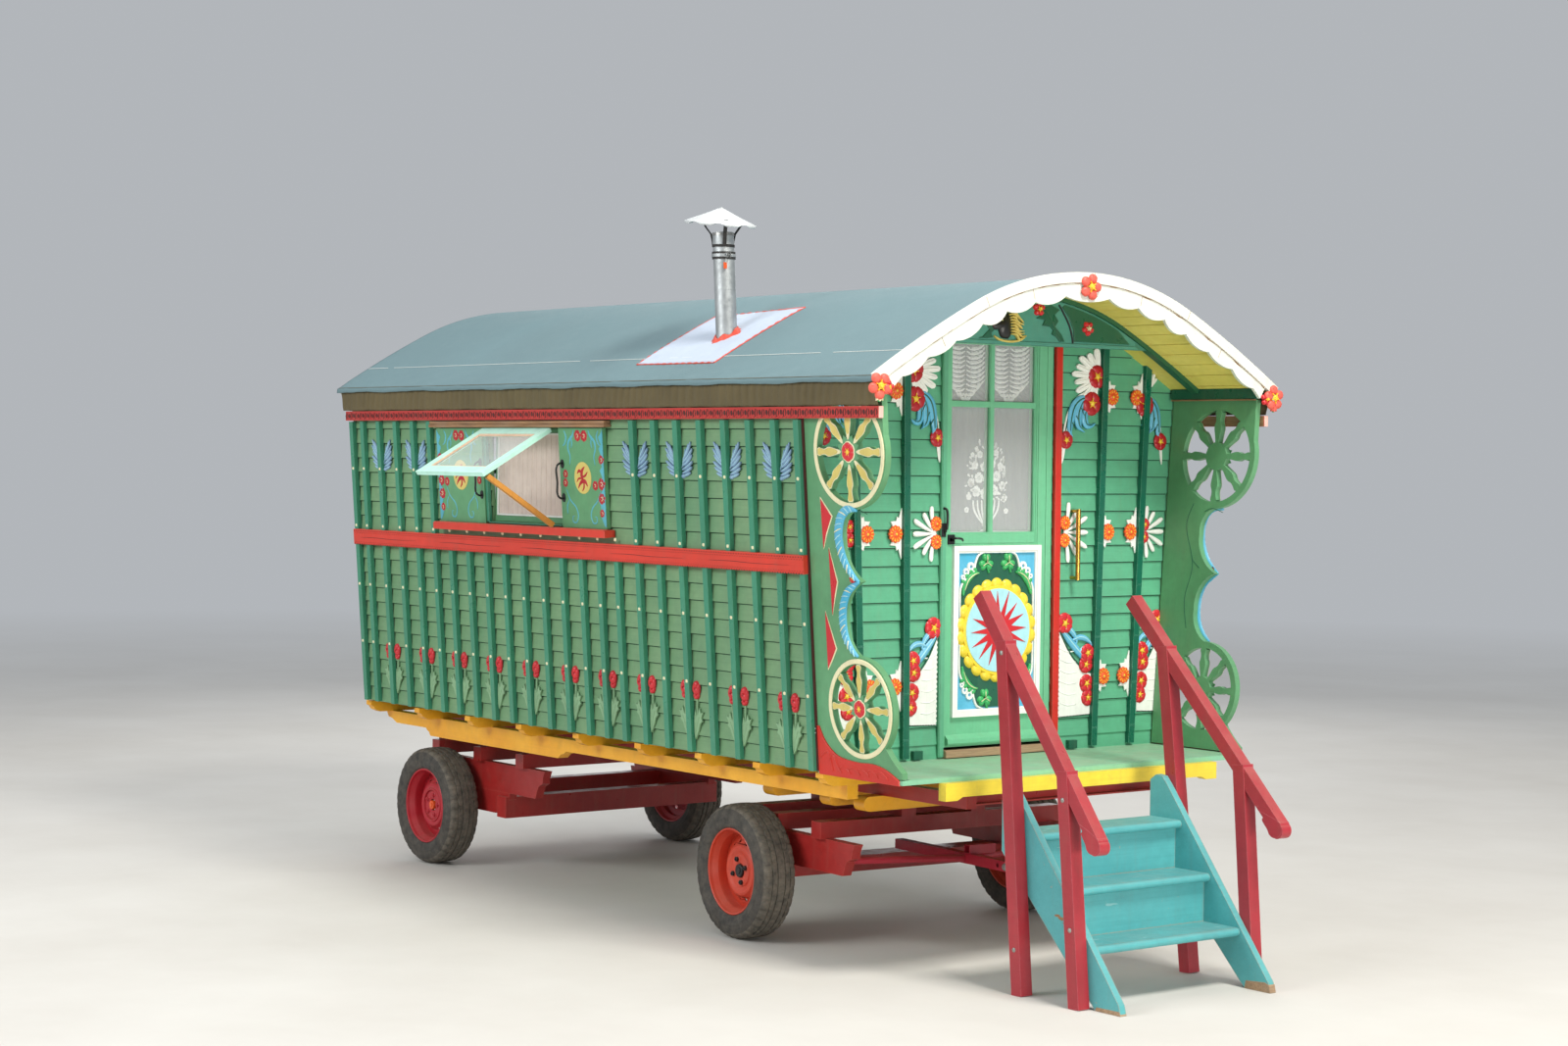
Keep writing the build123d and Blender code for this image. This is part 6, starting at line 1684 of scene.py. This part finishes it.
# dark panel with a flower
pan = [(282, 1886), (632, 1884)] + [(y, z - 8) for y, z in reversed(top_) if 215 < y < 600] + [(206, 2040), (246, 1996), (276, 1940)]
plate(TY, T_, pan, 3.5, 9.0, 2.0, 1)
stroke(TY, T_, [(186, 2050, 7), (214, 2014, 8), (250, 1960, 8), (268, 1912, 8), (274, 1878, 7)], 3.5, 8.0, 4, 6)
big_flower(TY, YZ(190.0), (363.0, 1949.0), 36.0, 2, 6, 0.9)
big_flower(TY, YZ(187.0), (63.0, 2027.0), 36.0, 2, 3, 0.3)
big_flower(TY, YZ(187.0), (-330.0, 1935.0), 32.0, 2, 3, 0.6)
leaf_ = [(72, 2030), (140, 2046), (192, 2028), (160, 2004), (183, 1975), (162, 1950), (201, 1917), (223, 1884), (193, 1882), (172, 1902), (142, 1915), (150, 1934), (133, 1948),
         (84, 1952), (100, 1978), (48, 1984), (82, 2005)]
plate(TY, T_, leaf_, 3.5, 10.0, 3.0, 1)
stroke(TY, T_, [(100, 2020, 3), (132, 1990, 5), (160, 1940, 5), (196, 1892, 3)], 9.5, 3.0, 7, 5)
lf = [(-(y) - 70, z - 26) for y, z in leaf_ if z < 2040]
plate(TY, T_, [(y, max(z, 1884)) for y, z in lf], 3.5, 9.0, 3.0, 1)
# horse's head in relief: dark face, pale mane, on a curved gilt band
hd_ = [(-222, 1944), (-214, 1928), (-198, 1922), (-186, 1930), (-176, 1914), (-166, 1894), (-140, 1886), (-112, 1890), (-104, 1930), (-106, 1968), (-114, 1990), (-124, 2006),
       (-134, 1992), (-150, 1996), (-160, 1984), (-180, 1972), (-204, 1960)]
puff(TY, T_, smooth_closed(hd_, 3), (-146, 1946), 3.0, 22.0, 4, 5)
puff(TY, T_, ell((-166, 1968), 5, 4, 0, 8), (-166, 1968), 15.0, 8.0, 6, 2)
puff(TY, T_, ell((-212, 1940), 3, 3, 0, 7), (-212, 1940), 8.0, 6.0, 2, 2)
for k_ in range(9):
    a = k_ / 8.0
    x0, z0 = -124 + 14 * a, 2004 - 96 * a
    stroke(TY, T_, [(x0, z0, 6), (x0 + 30, z0 + 6 - 8 * a, 12), (x0 + 58 + 10 * sin(k_ * 2.1), z0 - 14 - 8 * a, 11), (x0 + 78 + 8 * sin(k_ * 1.3), z0 - 34 + 20 * a, 4)], 4.0, 14.0 + (k_ % 3) * 3, 5, 5)
stroke(TY, T_, [(-206, 1896, 8), (-170, 1880, 11), (-110, 1874, 12), (-50, 1882, 11), (-18, 1902, 7)], 4.0, 12.0, 5, 6)
make("tympanum_carvings", TY, TYM)

# --------------------------------------------------------- canvas and skirt
def closed_grid(S, nu, nv):
    """closed two-layer sheet: S(i/nu, j/nv, side) for side 0 and 1"""
    p = Part()
    vs, fs = [], []
    for side in (0, 1):
        for j in range(nv + 1):
            for i in range(nu + 1):
                vs.append(S(i / nu, j / nv, side))
    q = (nu + 1) * (nv + 1)
    for j in range(nv):
        for i in range(nu):
            a = j * (nu + 1) + i
            fs.append((a, a + 1, a + nu + 2, a + nu + 1))
            fs.append((q + a, q + a + nu + 1, q + a + nu + 2, q + a + 1))
    for i in range(nu):
        fs.append((i, q + i, q + i + 1, i + 1))
        a = nv * (nu + 1) + i
        fs.append((a, a + 1, q + a + 1, q + a))
    for j in range(nv):
        a = j * (nu + 1)
        fs.append((a, a + nu + 1, q + a + nu + 1, q + a))
        a += nu
        fs.append((a, q + a, q + a + nu + 1, a + nu + 1))
    p.add(vs, fs, 0, True)
    return p


HEM = 20.0
EAVE, SEAM = roof_at(1189.0), roof_at(1005.0)


def canvas_at(a, b, side):
    x = -4097.0 + 4656.0 * b
    L = 2 * (EAVE + HEM)
    s_ = -L / 2 + L * a
    e = abs(s_)
    wr = 0.0
    if e > SEAM + 10:
        k_ = min(1.0, (e - SEAM - 10) / 120.0)
        wr = k_ * (1.6 * sin(x / 47.0 + e / 21.0) + 1.0 * sin(x / 19.0 - e / 33.0) + 0.8 * sin(x / 131.0))
    seam = 1.6 if abs(e - SEAM) < 7 else 0.0
    d = -2.6 - wr * 0.7 - seam - 0.5 * sin(x / 311.0 + s_ / 170.0)
    d = min(d, -0.4) + (2.0 if side else 0.0)
    if e <= EAVE:
        return arc_pt(s_, d, x)
    q = e - EAVE
    y0, z0 = roof(EAVE if s_ > 0 else -EAVE, d)
    wv = 2.4 * sin(x / 38.0) + 1.6 * sin(x / 17.0 + 1.3)
    yy = abs(y0) + 2.5 + wv * q / HEM * 0.6 + (0.0 if side else 1.2)
    zz = z0 - q + 2.2 * sin(x / 90.0) * q / HEM
    return (x, yy if s_ > 0 else -yy, zz)


cv = make("canvas_cover", closed_grid(canvas_at, 128, 196), ["canvas"], replaces=("roof_canvas",))
sm = Part()
for s_ in (-1, 1):
    for e, w in ((SEAM, 1.0), (EAVE - 5.0, 1.0)):
        x = -4080.0
        while x < 548:
            l = 22.0
            if e > SEAM + 40 or abs(sin(x / 610.0)) > 0.06:
                vs = [arc_pt(s_ * q, d, x + c) for d in (-3.6, -5.4) for c in (0.0, l - 3) for q in (e - w, e + w)]
                sm.add(vs, [(0, 1, 3, 2), (4, 6, 7, 5), (0, 4, 5, 1), (2, 3, 7, 6), (0, 2, 6, 4), (1, 5, 7, 3)], 0 if e < SEAM + 40 else 1)
            x += l
make("canvas_stitching", sm, ["white", "skirt"])


def skirt_at(a, b, side, sg):
    x = -4076.0 + 4631.0 * a
    q = 1.0 - b
    z = 1669.0 - 103.0 * b
    ph = x / 9.0 + 1.7 * sin(x / 210.0) + b * (2.9 + 1.2 * sin(x / 320.0))
    am = (1.6 + 3.9 * sin(b * pi) ** 0.7) * (0.75 + 0.25 * sin(x / 77.0))
    y = 1180.5 - 17.0 * b - 3.2 + am * sin(ph) + 1.2 * sin(ph * 2.13 + 0.6) * q
    return (x, sg * (y + (0.8 if side else -0.8)), z + 1.3 * sin(x / 41.0) * b)


for nm, sg in (("right", -1), ("left", 1)):
    pc = closed_grid(lambda a, b, side, g=sg: skirt_at(a, b, side, g), 760, 10)
    o_ = make("skirt_" + nm, pc, ["skirt"], replaces=("canvas_skirts",) if sg < 0 else ())

# ------------------------------------------------------------------ chimney
cl_ = -31.0 / 389.0


def flue(z):
    return (-992.0 + cl_ * (z - 1963.0), -820.0, z)


fs_ = Part()
cor = [(-1380.0, -1053.0), (-752.0, -1056.0), (-732.0, -556.0), (-1362.0, -616.0)]


def PATCH(a, b, t):
    """a along the wagon, b up the roof"""
    x = (cor[0][0] * (1 - a) + cor[1][0] * a) * (1 - b) + (cor[3][0] * (1 - a) + cor[2][0] * a) * b
    y = (cor[0][1] * (1 - a) + cor[1][1] * a) * (1 - b) + (cor[3][1] * (1 - a) + cor[2][1] * a) * b
    return arc_pt(-roof_at(y), -t, x)


def patch_at(a, b, side):
    t = 5.6 + 0.8 * sin(a * 9 + b * 4) * sin(b * 7) + 0.5 * sin(a * 31)
    return PATCH(a, b, t if side else 3.4)


fsh = make("flashing_sheet", closed_grid(patch_at, 40, 24), ["lead_white"], replaces=("chimney_flashing",))
for a0, b0, a1, b1 in ((0, 0, 1, 0), (1, 0, 1, 1), (1, 1, 0, 1), (0, 1, 0, 0)):
    pts = []
    for k_ in range(41):
        f = k_ / 40.0
        a, b = a0 + (a1 - a0) * f, b0 + (b1 - b0) * f
        pts.append(PATCH(a, b, 3.8))
    tube(fs_, pts, [4.0 + 1.6 * sin(k_ * 1.9) + 0.9 * sin(k_ * 4.3) for k_ in range(41)], 0, 7)
# sealant smeared round the pipe, thick and uneven, with runs
col_ = []
n_ = 64
for i in range(n_):
    a = 2 * pi * i / n_
    w = 18 + 9 * sin(3 * a + 0.6) + 6 * sin(7 * a) + 3 * sin(13 * a)
    col_.append((a, max(8.0, w)))
vs, fc_ = [], []
levels = ((0.0, 34.0), (0.25, 30.0), (0.55, 13.0), (1.0, 3.2))
for f, hgt in levels:
    for a, w in col_:
        rr_ = 50.8 + w * f
        x, y = -992.0 + cl_ * (1905 - 1963) + rr_ * cos(a), -820.0 + rr_ * sin(a)
        x0_, y0_, z0_ = arc_pt(-roof_at(y), -(3.4 + hgt * (0.75 + 0.25 * sin(5 * a)) * (1 if f < 1 else 0.7)), x)
        vs.append((x, y, z0_))
for k_ in range(3):
    for i in range(n_):
        j = (i + 1) % n_
        fc_.append((k_ * n_ + i, k_ * n_ + j, (k_ + 1) * n_ + j, (k_ + 1) * n_ + i))
o_ = len(vs)
for a, w in col_:
    rr_ = 50.8 + w
    x, y = -992.0 + cl_ * (1905 - 1963) + rr_ * cos(a), -820.0 + rr_ * sin(a)
    vs.append(arc_pt(-roof_at(y), -2.4, x))
for a, w in col_:
    x, y = -992.0 + cl_ * (1905 - 1963) + 50.8 * cos(a), -820.0 + 50.8 * sin(a)
    vs.append(arc_pt(-roof_at(y), -2.4, x))
for i in range(n_):
    j = (i + 1) % n_
    fc_.append((3 * n_ + i, 3 * n_ + j, o_ + j, o_ + i))
    fc_.append((o_ + i, o_ + j, o_ + n_ + j, o_ + n_ + i))
    fc_.append((o_ + n_ + i, o_ + n_ + j, j, i))
fs_.add(vs, fc_, 0, True)
make("flashing_sealant", fs_, ["sealant"])
cp = Part()
ax_ = Vector((8.0, 0.0, 68.0)).normalized()
ex_ = Vector((68.0, 0.0, -8.0)).normalized()
ey_ = ax_.cross(ex_)
C0 = Vector((-1048.0, -820.0, 2433.0))


def CAPP(r, a, h):
    return tuple(C0 + ex_ * (r * cos(a)) + ey_ * (r * sin(a)) + ax_ * h)


# pressed cap: eight flats, with arched notches cut along its turned-down rim
n_ = 128
prof_ = ((169, -13), (169.5, -4), (168, 0), (120, 20), (70, 41), (16, 66), (0, 70))
vs, fc_, mm_ = [], [], []
for side in (0, 1):
    for r_, h_ in prof_[:-1]:
        for i in range(n_):
            a = 2 * pi * i / n_
            g = 1.0 - 0.018 * (0.5 - 0.5 * cos(8 * a))
            hh = h_
            if h_ == -13:
                hh = -13 + 12.0 * max(0.0, sin(8 * a + 0.7)) ** 0.6
            elif h_ == -4:
                hh = -4 + 3.6 * max(0.0, sin(8 * a + 0.7)) ** 0.6
            vs.append(CAPP((r_ - (1.6 if side else 0.0)) * g, a, hh - (1.6 if side and r_ < 169 else 0.0)))
q_ = len(prof_) - 1
top_i = len(vs)
vs.append(CAPP(0, 0, 70))
vs.append(CAPP(0, 0, 68))
for side in (0, 1):
    o_ = side * q_ * n_
    for k_ in range(q_ - 1):
        for i in range(n_):
            j = (i + 1) % n_
            fc_.append((o_ + k_ * n_ + i, o_ + k_ * n_ + j, o_ + (k_ + 1) * n_ + j, o_ + (k_ + 1) * n_ + i))
    for i in range(n_):
        j = (i + 1) % n_
        fc_.append((o_ + (q_ - 1) * n_ + i, o_ + (q_ - 1) * n_ + j, top_i + side))
for i in range(n_):
    j = (i + 1) % n_
    fc_.append((i, q_ * n_ + i, q_ * n_ + j, j))
cp.add(vs, fc_, 0, True)
puff(cp, lambda u, v, t: CAPP(sqrt(u * u + v * v), atan2(v, u), t), ell((0, 0), 12, 12, 0, 12), (0, 0), 66.0, 8.0, 2, 3)
for k_ in range(3):   # bent flat straps from the clamp up to the rim
    a = radians(90 + 120 * k_)
    fo = flue(2328.0)
    c_, s__ = cos(a), sin(a)
    path = [(51.5, 2322.0), (53.5, 2345.0), (62.0, 2380.0), (88.0, 2412.0), (104.0, 2437.0)]
    for (r0, z0), (r1, z1) in zip(path, path[1:]):
        P0 = [(fo[0] + c_ * (r0 + dr) - s__ * e, fo[1] + s__ * (r0 + dr) + c_ * e, z0) for dr in (0, 3.0) for e in (-9, 9)]
        P1 = [(fo[0] + c_ * (r1 + dr) - s__ * e, fo[1] + s__ * (r1 + dr) + c_ * e, z1) for dr in (0, 3.0) for e in (-9, 9)]
        cp.add(P0 + P1, [(0, 1, 3, 2), (4, 6, 7, 5), (0, 4, 5, 1), (2, 3, 7, 6), (0, 2, 6, 4), (1, 5, 7, 3)], 4)
# clamp band, its ears and bolt, a tag, and the dark bore's rim
def ring_at(z0, z1, r0, r1, m, n=40):
    vs, fc = [], []
    for zz, rr in ((z0, r0), (z0, r1), (z1, r1), (z1, r0)):
        c = flue(zz)
        for i in range(n):
            a = 2 * pi * i / n
            vs.append((c[0] + rr * cos(a), c[1] + rr * sin(a), zz))
    for k in range(4):
        for i in range(n):
            j = (i + 1) % n
            fc.append((k * n + i, k * n + j, ((k + 1) % 4) * n + j, ((k + 1) % 4) * n + i))
    cp.add(vs, fc, m, False)


ring_at(2262.0, 2296.0, 49.5, 55.0, 4)
ring_at(2272.0, 2286.0, 54.0, 57.5, 2)
ring_at(2318.0, 2330.0, 49.5, 53.0, 4)
ring_at(2120.0, 2124.0, 49.8, 51.6, 2)
ring_at(2372.0, 2384.5, 45.5, 51.5, 1)
fo = flue(2279.0)
for e in (-7, 5):
    block(cp, fo[0] + 50, fo[0] + 74, fo[1] - 22 + e, fo[1] - 18 + e, 2268, 2290, 1)
tube(cp, [(fo[0] + 65, fo[1] - 38, 2279), (fo[0] + 65, fo[1] - 4, 2279)], 4.0, 2, 8)
for e in (-38, -8):
    tube(cp, [(fo[0] + 65, fo[1] + e, 2279), (fo[0] + 65, fo[1] + e + 5, 2279)], 7.0, 2, 6)
tube(cp, [(fo[0] + 60, fo[1] - 30, 2262), (fo[0] + 62, fo[1] - 34, 2242)], 1.4, 1, 6)
plate(cp, lambda u, v, t: (fo[0] + 58 + t, fo[1] + u, v), [(-44, 2244), (-26, 2244), (-24, 2216), (-42, 2214)], 0, 3.0, 1.0, 3)
make("chimney_cowl", cp, ["zinc_white", "steel", "zinc", "petal_orange", "soot"], replaces=("chimney_cap",), bevel=0)
paint("step_pale", "#84bfc0", 0.65, 0.10, "y", 0.3, dust=0.1, dirt=0.25)
# ------------------------------------------------------------------- wheels
AXLE = 312.0 - ZF
KING, TURN = -756.0, radians(-4.0)
rim_red = (("rim_crimson", "rear"), ("rim_orange", "front"))


def turned(p):
    dx, dy = p[0] - KING, p[1]
    return (KING + dx * cos(TURN) - dy * sin(TURN), dx * sin(TURN) + dy * cos(TURN), p[2])


TREAD = ((201.5, 78, 0), (210, 86, 0), (222, 90, 0), (236, 92, 0), (243, 93.4, 0), (248, 93.4, 0), (252, 92, 0), (266, 91, 0), (280, 88, 0), (289, 84, 0), (292, 84, 1), (299, 79, 1),
         (305, 71, 1), (308.5, 60, 1), (309.5, 51, 1), (304, 49, 0), (304, 45, 0), (310.6, 43, 2), (311.4, 24, 2), (305, 22, 0), (305, 18, 0), (311.6, 16, 3), (312.0, 6, 3))
N_T = 216


def tyre_part(place):
    out = [(r, w, k) for r, w, k in TREAD] + [(r, -w, k) for r, w, k in reversed(TREAD)] + [(212, -60, 0), (240, -30, 0), (240, 30, 0), (212, 60, 0)]
    vs, fs, mm = [], [], []
    m_ = len(out)
    for i in range(N_T):
        a = 2 * pi * i / N_T
        ph = i % 6
        for r, w, k in out:
            q = r
            if k == 1 and ph in (0, 1):
                q = r - 4.8
            elif k == 2 and ph in (3,):
                q = r - 4.5
            elif k == 3 and ph in (0,):
                q = r - 2.6
            vs.append(place(q, a, w))
    for i in range(N_T):
        j = (i + 1) % N_T
        for k in range(m_):
            kk = (k + 1) % m_
            fs.append((i * m_ + k, i * m_ + kk, j * m_ + kk, j * m_ + k))
            mm.append(1 if out[k][0] > 288 and out[kk][0] > 288 else 0)
    p = Part()
    p.v, p.f, p.m, p.s = vs, fs, mm, [False] * len(fs)
    return p


def loop_ring(p, place, loop, m=0, n=96, smooth=False):
    vs = [place(r, 2 * pi * i / n, w) for i in range(n) for r, w in loop]
    k = len(loop)
    fs = [(i * k + j, i * k + (j + 1) % k, ((i + 1) % n) * k + (j + 1) % k, ((i + 1) % n) * k + j) for i in range(n) for j in range(k)]
    p.add(vs, fs, m, smooth)


def rim_part(place, front):
    p = Part()
    loop_ring(p, place, ((200.5, 78), (197, 80.5), (192, 78), (189, 64), (182, 50), (176, 38), (175, 30), (175, -8), (160, -4), (148, 0.5), (147, -5), (160, -10), (171, -15), (170, -40), (186, -56),
                         (194, -78), (200.5, -78), (200.2, -74), (192, -52), (180, -38), (180, 38), (192, 52), (200, 74)), 0)

    def CONE(u, v, t):
        r = sqrt(u * u + v * v)
        w = 0.5 + (148.5 - r) * 24.0 / 28.5
        return place(r, atan2(v, u), w + t)

    ring_o = [(148.5 * cos(2 * pi * i / 72), 148.5 * sin(2 * pi * i / 72)) for i in range(72)]
    ring_i = [(120.0 * cos(2 * pi * i / 72), 120.0 * sin(2 * pi * i / 72)) for i in range(72)]
    n_v = 16 if front else 8
    holes = [ring_i]
    for k in range(n_v):
        a = 2 * pi * (k + 0.5) / n_v
        c = (134.5 * cos(a), 134.5 * sin(a))
        holes.append(ell(c, 7.0 if front else 6.0, 10.5 if front else 15.0, a, 14))
    holed(p, CONE, ring_o, holes, -5.0, 0.0, 0, 0, 0)
    loop_ring(p, place, ((120, 24.5), (113, 31.5), (104, 34), (94, 31.5), (82, 26), (76, 24), (73, 28.5), (40, 29.5), (32, 26), (30, 10), (60, 12), (80, 17), (94, 23.5), (104, 26), (112, 22), (119, 17)), 0)
    if not front:
        loop_ring(p, place, ((92, 30), (88, 36), (82, 36), (78, 24), (84, 24)), 0)
    nuts = 4 if front else 5
    for k in range(nuts):
        a0 = 2 * pi * k / nuts + (0.35 if front else 0.1)
        cx, cy = 55.0 * cos(a0), 55.0 * sin(a0)

        def AT(u, v, t):
            x, y = cx + u, cy + v
            return place(sqrt(x * x + y * y), atan2(y, x), t)
        loop = [(12.5 * cos(pi * i / 3), 12.5 * sin(pi * i / 3)) for i in range(6)]
        puff(p, AT, ell((0, 0), 16.5, 16.5, 0, 18), (0, 0), 27.5, 5.0, 0, 3)
        plate(p, AT, loop, 27.0, 42.0 if front else 38.0, 2.5, 1 if front else 0)
        plate(p, AT, ell((0, 0), 5.0, 5.0, 0, 10), 36.0, 47.0 if front else 41.0, 1.2, 1 if front else 0)

    def FACE(u, v, t):
        return place(sqrt(u * u + v * v), atan2(v, u), t)
    r_c = 31.0 if front else 24.0
    plate(p, FACE, ell((0, 0), r_c, r_c, 0, 32), 14.0, 38.0, 5.0, 1 if front else 2)
    plate(p, FACE, ell((0, 0), r_c * 0.55, r_c * 0.55, 0, 24), 34.0, 42.0, 2.0, 1 if front else 2)
    # valve stem
    tube(p, [place(178, 0.9, 40), place(172, 0.9, 52), place(168, 0.9, 66)], 4.0, 1, 8)
    return p


for nm, x, y, front in (("rear_right", -3635.0, -808.0, False), ("rear_left", -3635.0, 808.0, False), ("front_right", KING, -808.0, True), ("front_left", KING, 808.0, True)):
    sg = -1.0 if y < 0 else 1.0

    def place(r, a, w, x=x, y=y, sg=sg, front=front):
        q = (x + r * cos(a), y + sg * w, AXLE + r * sin(a))
        return turned(q) if front else q
    make("tyre_blocks_" + nm, tyre_part(place), ["tyre_side", "tyre_tread"], body="wheel_" + nm, replaces=("tyre_" + nm,))
    rm = make("pressed_rim_" + nm, rim_part(place, front), ["rim_orange" if front else "rim_crimson", "black_paint", "petal_orange"], body="wheel_" + nm, replaces=("rim_" + nm,), bevel=0.8)

# ----------------------------------------------------- running gear details
bt = Part()
tip = KING + 985.0
zt = -485.0


def BG(u, v, t):
    return turned((u, -23.0 - t, v))


hexn = [(16.0 * cos(pi * i / 3 + 0.2), 16.0 * sin(pi * i / 3 + 0.2)) for i in range(6)]
plate(bt, BG, [(tip - 36 + a, zt + b) for a, b in ell((0, 0), 19, 19, 0, 18)], -0.5, 3.0, 0.8, 0)
plate(bt, BG, [(tip - 36 + a, zt + b) for a, b in hexn], 2.0, 13.0, 2.5, 0)
make("drawbar_bolt", bt, ["zinc"], body="bogie")


def node_bolts(part, node, places, r, h, m=0):
    """hexagon heads on a face of a node's box: (axis sign, share along x, share up)"""
    lo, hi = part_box(node)
    for sgy, fx, fz in places:
        x = (lo[0] + (hi[0] - lo[0]) * fx) * 1000 - SX
        z = (lo[2] + (hi[2] - lo[2]) * fz) * 1000 - ZF
        y = (hi[1] if sgy > 0 else lo[1]) * 1000

        def S(u, v, t):
            return (u, y + sgy * t, v)
        plate(part, S, [(x + r * cos(pi * i / 3), z + r * sin(pi * i / 3)) for i in range(6)], -2.0, h, 2.0, m)


st = Part()
# rounded noses of the treads
for x, z in ((942.0, -210.0), (1118.0, -420.0), (1294.0, -630.0)):
    rng = random.Random(int(x))
    pts = []
    for k in range(29):
        y = -595.5 + 833.0 * k / 28
        pts.append((x + 1.5 + rng.uniform(-0.5, 0.5), y, z - 18.0 + rng.uniform(-0.3, 0.3)))
    tube(st, pts, 17.6, 0, 20)
make("tread_noses", st, ["steps_teal"])
sw = Part()
rng = random.Random(12)


def wear(S, u0, u1, v0, v1, n, m):
    """thin raised islands of the pale undercoat where the top coat has gone"""
    for _ in range(n):
        cu, cv = rng.uniform(u0, u1), rng.uniform(v0, v1)
        ru, rv = rng.uniform(9, 40), rng.uniform(2.0, 7.0)
        o = []
        k_ = 18
        f1, f2 = rng.uniform(0, 6), rng.uniform(0, 6)
        for i in range(k_):
            a = 2 * pi * i / k_
            q = 1.0 + 0.22 * sin(3 * a + f1) + 0.16 * sin(5 * a + f2)
            o.append((min(u1, max(u0, cu + ru * q * cos(a))), min(v1, max(v0, cv + rv * q * sin(a)))))
        plate(sw, S, o, -0.4, 0.5, 0.2, m)


for x, z in ((942.0, -210.0), (1118.0, -420.0), (1294.0, -630.0)):
    wear(lambda u, v, t, z=z: (v, u, z + t), -560, 200, x - 150, x - 10, 4, 0)
for x, z in ((920.0, -420.0), (1096.0, -630.0)):
    wear(lambda u, v, t, x=x + 4.0: (x + t, u, v), -560, 200, z + 14, z + 150, 3, 0)
wear(lambda u, v, t: (u, -630.0 - t, v), 1080, 1200, -560, -520, 3, 1)
make("step_wear", sw, ["step_pale", "raw_wood"])
fb = Part()
prism(fb, [(1345, -879.6), (1492.5, -879.6), (1485, -846), (1460, -838), (1352, -846)], "y", 236.5, 273.5, 0)
prism(fb, [(1345, -879.6), (1492.5, -879.6), (1486, -862), (1352, -864)], "y", -631.5, -594.5, 0)
make("step_feet", fb, ["worn_wood"], bevel=1.5)
# stepped scroll under the lower end of each handrail and coach bolts through the posts
hr = Part()
for x0, z0, x1, z1, y in ((655.0, 776.0, 1390.0, -198.0, -663.0), (575.0, 728.0, 1476.0, -190.0, 305.0)):
    L = sqrt((x1 - x0) ** 2 + (z1 - z0) ** 2)
    ux, uz = (x1 - x0) / L, (z1 - z0) / L
    nx, nz = uz, -ux      # points under the rail

    def RL(u, v, t, x1=x1, z1=z1, ux=ux, uz=uz, nx=nx, nz=nz, y=y):
        return (x1 + ux * u + nx * v, y + t, z1 + uz * u + nz * v)
    o = smooth_closed([(-112, 24), (-84, 27), (-78, 40), (-56, 43), (-30, 44), (-8, 50), (14, 44), (30, 26), (34, 4), (24, -18), (6, -27), (-20, -27)], 4)
    plate(hr, RL, o, -28.6, 28.6, 3.0, 0)
make("handrail_scrolls", hr, ["raspberry"], bevel=2.0)
cbolt = Part()
for x, z, y, sg in ((816, 540, -663, -1), (1202, -36, -663, -1), (921, -690, -663, -1), (1256, -560, -663, -1), (790, 400, 305, 1), (1256, -118, 305, 1)):
    puff(cbolt, lambda u, v, t: (u, y + sg * (31.0 + t), v), ell((x, z), 11, 11, 0, 16), (x, z), -1.0, 6.0, 0, 3)
make("post_bolts", cbolt, ["steel"])
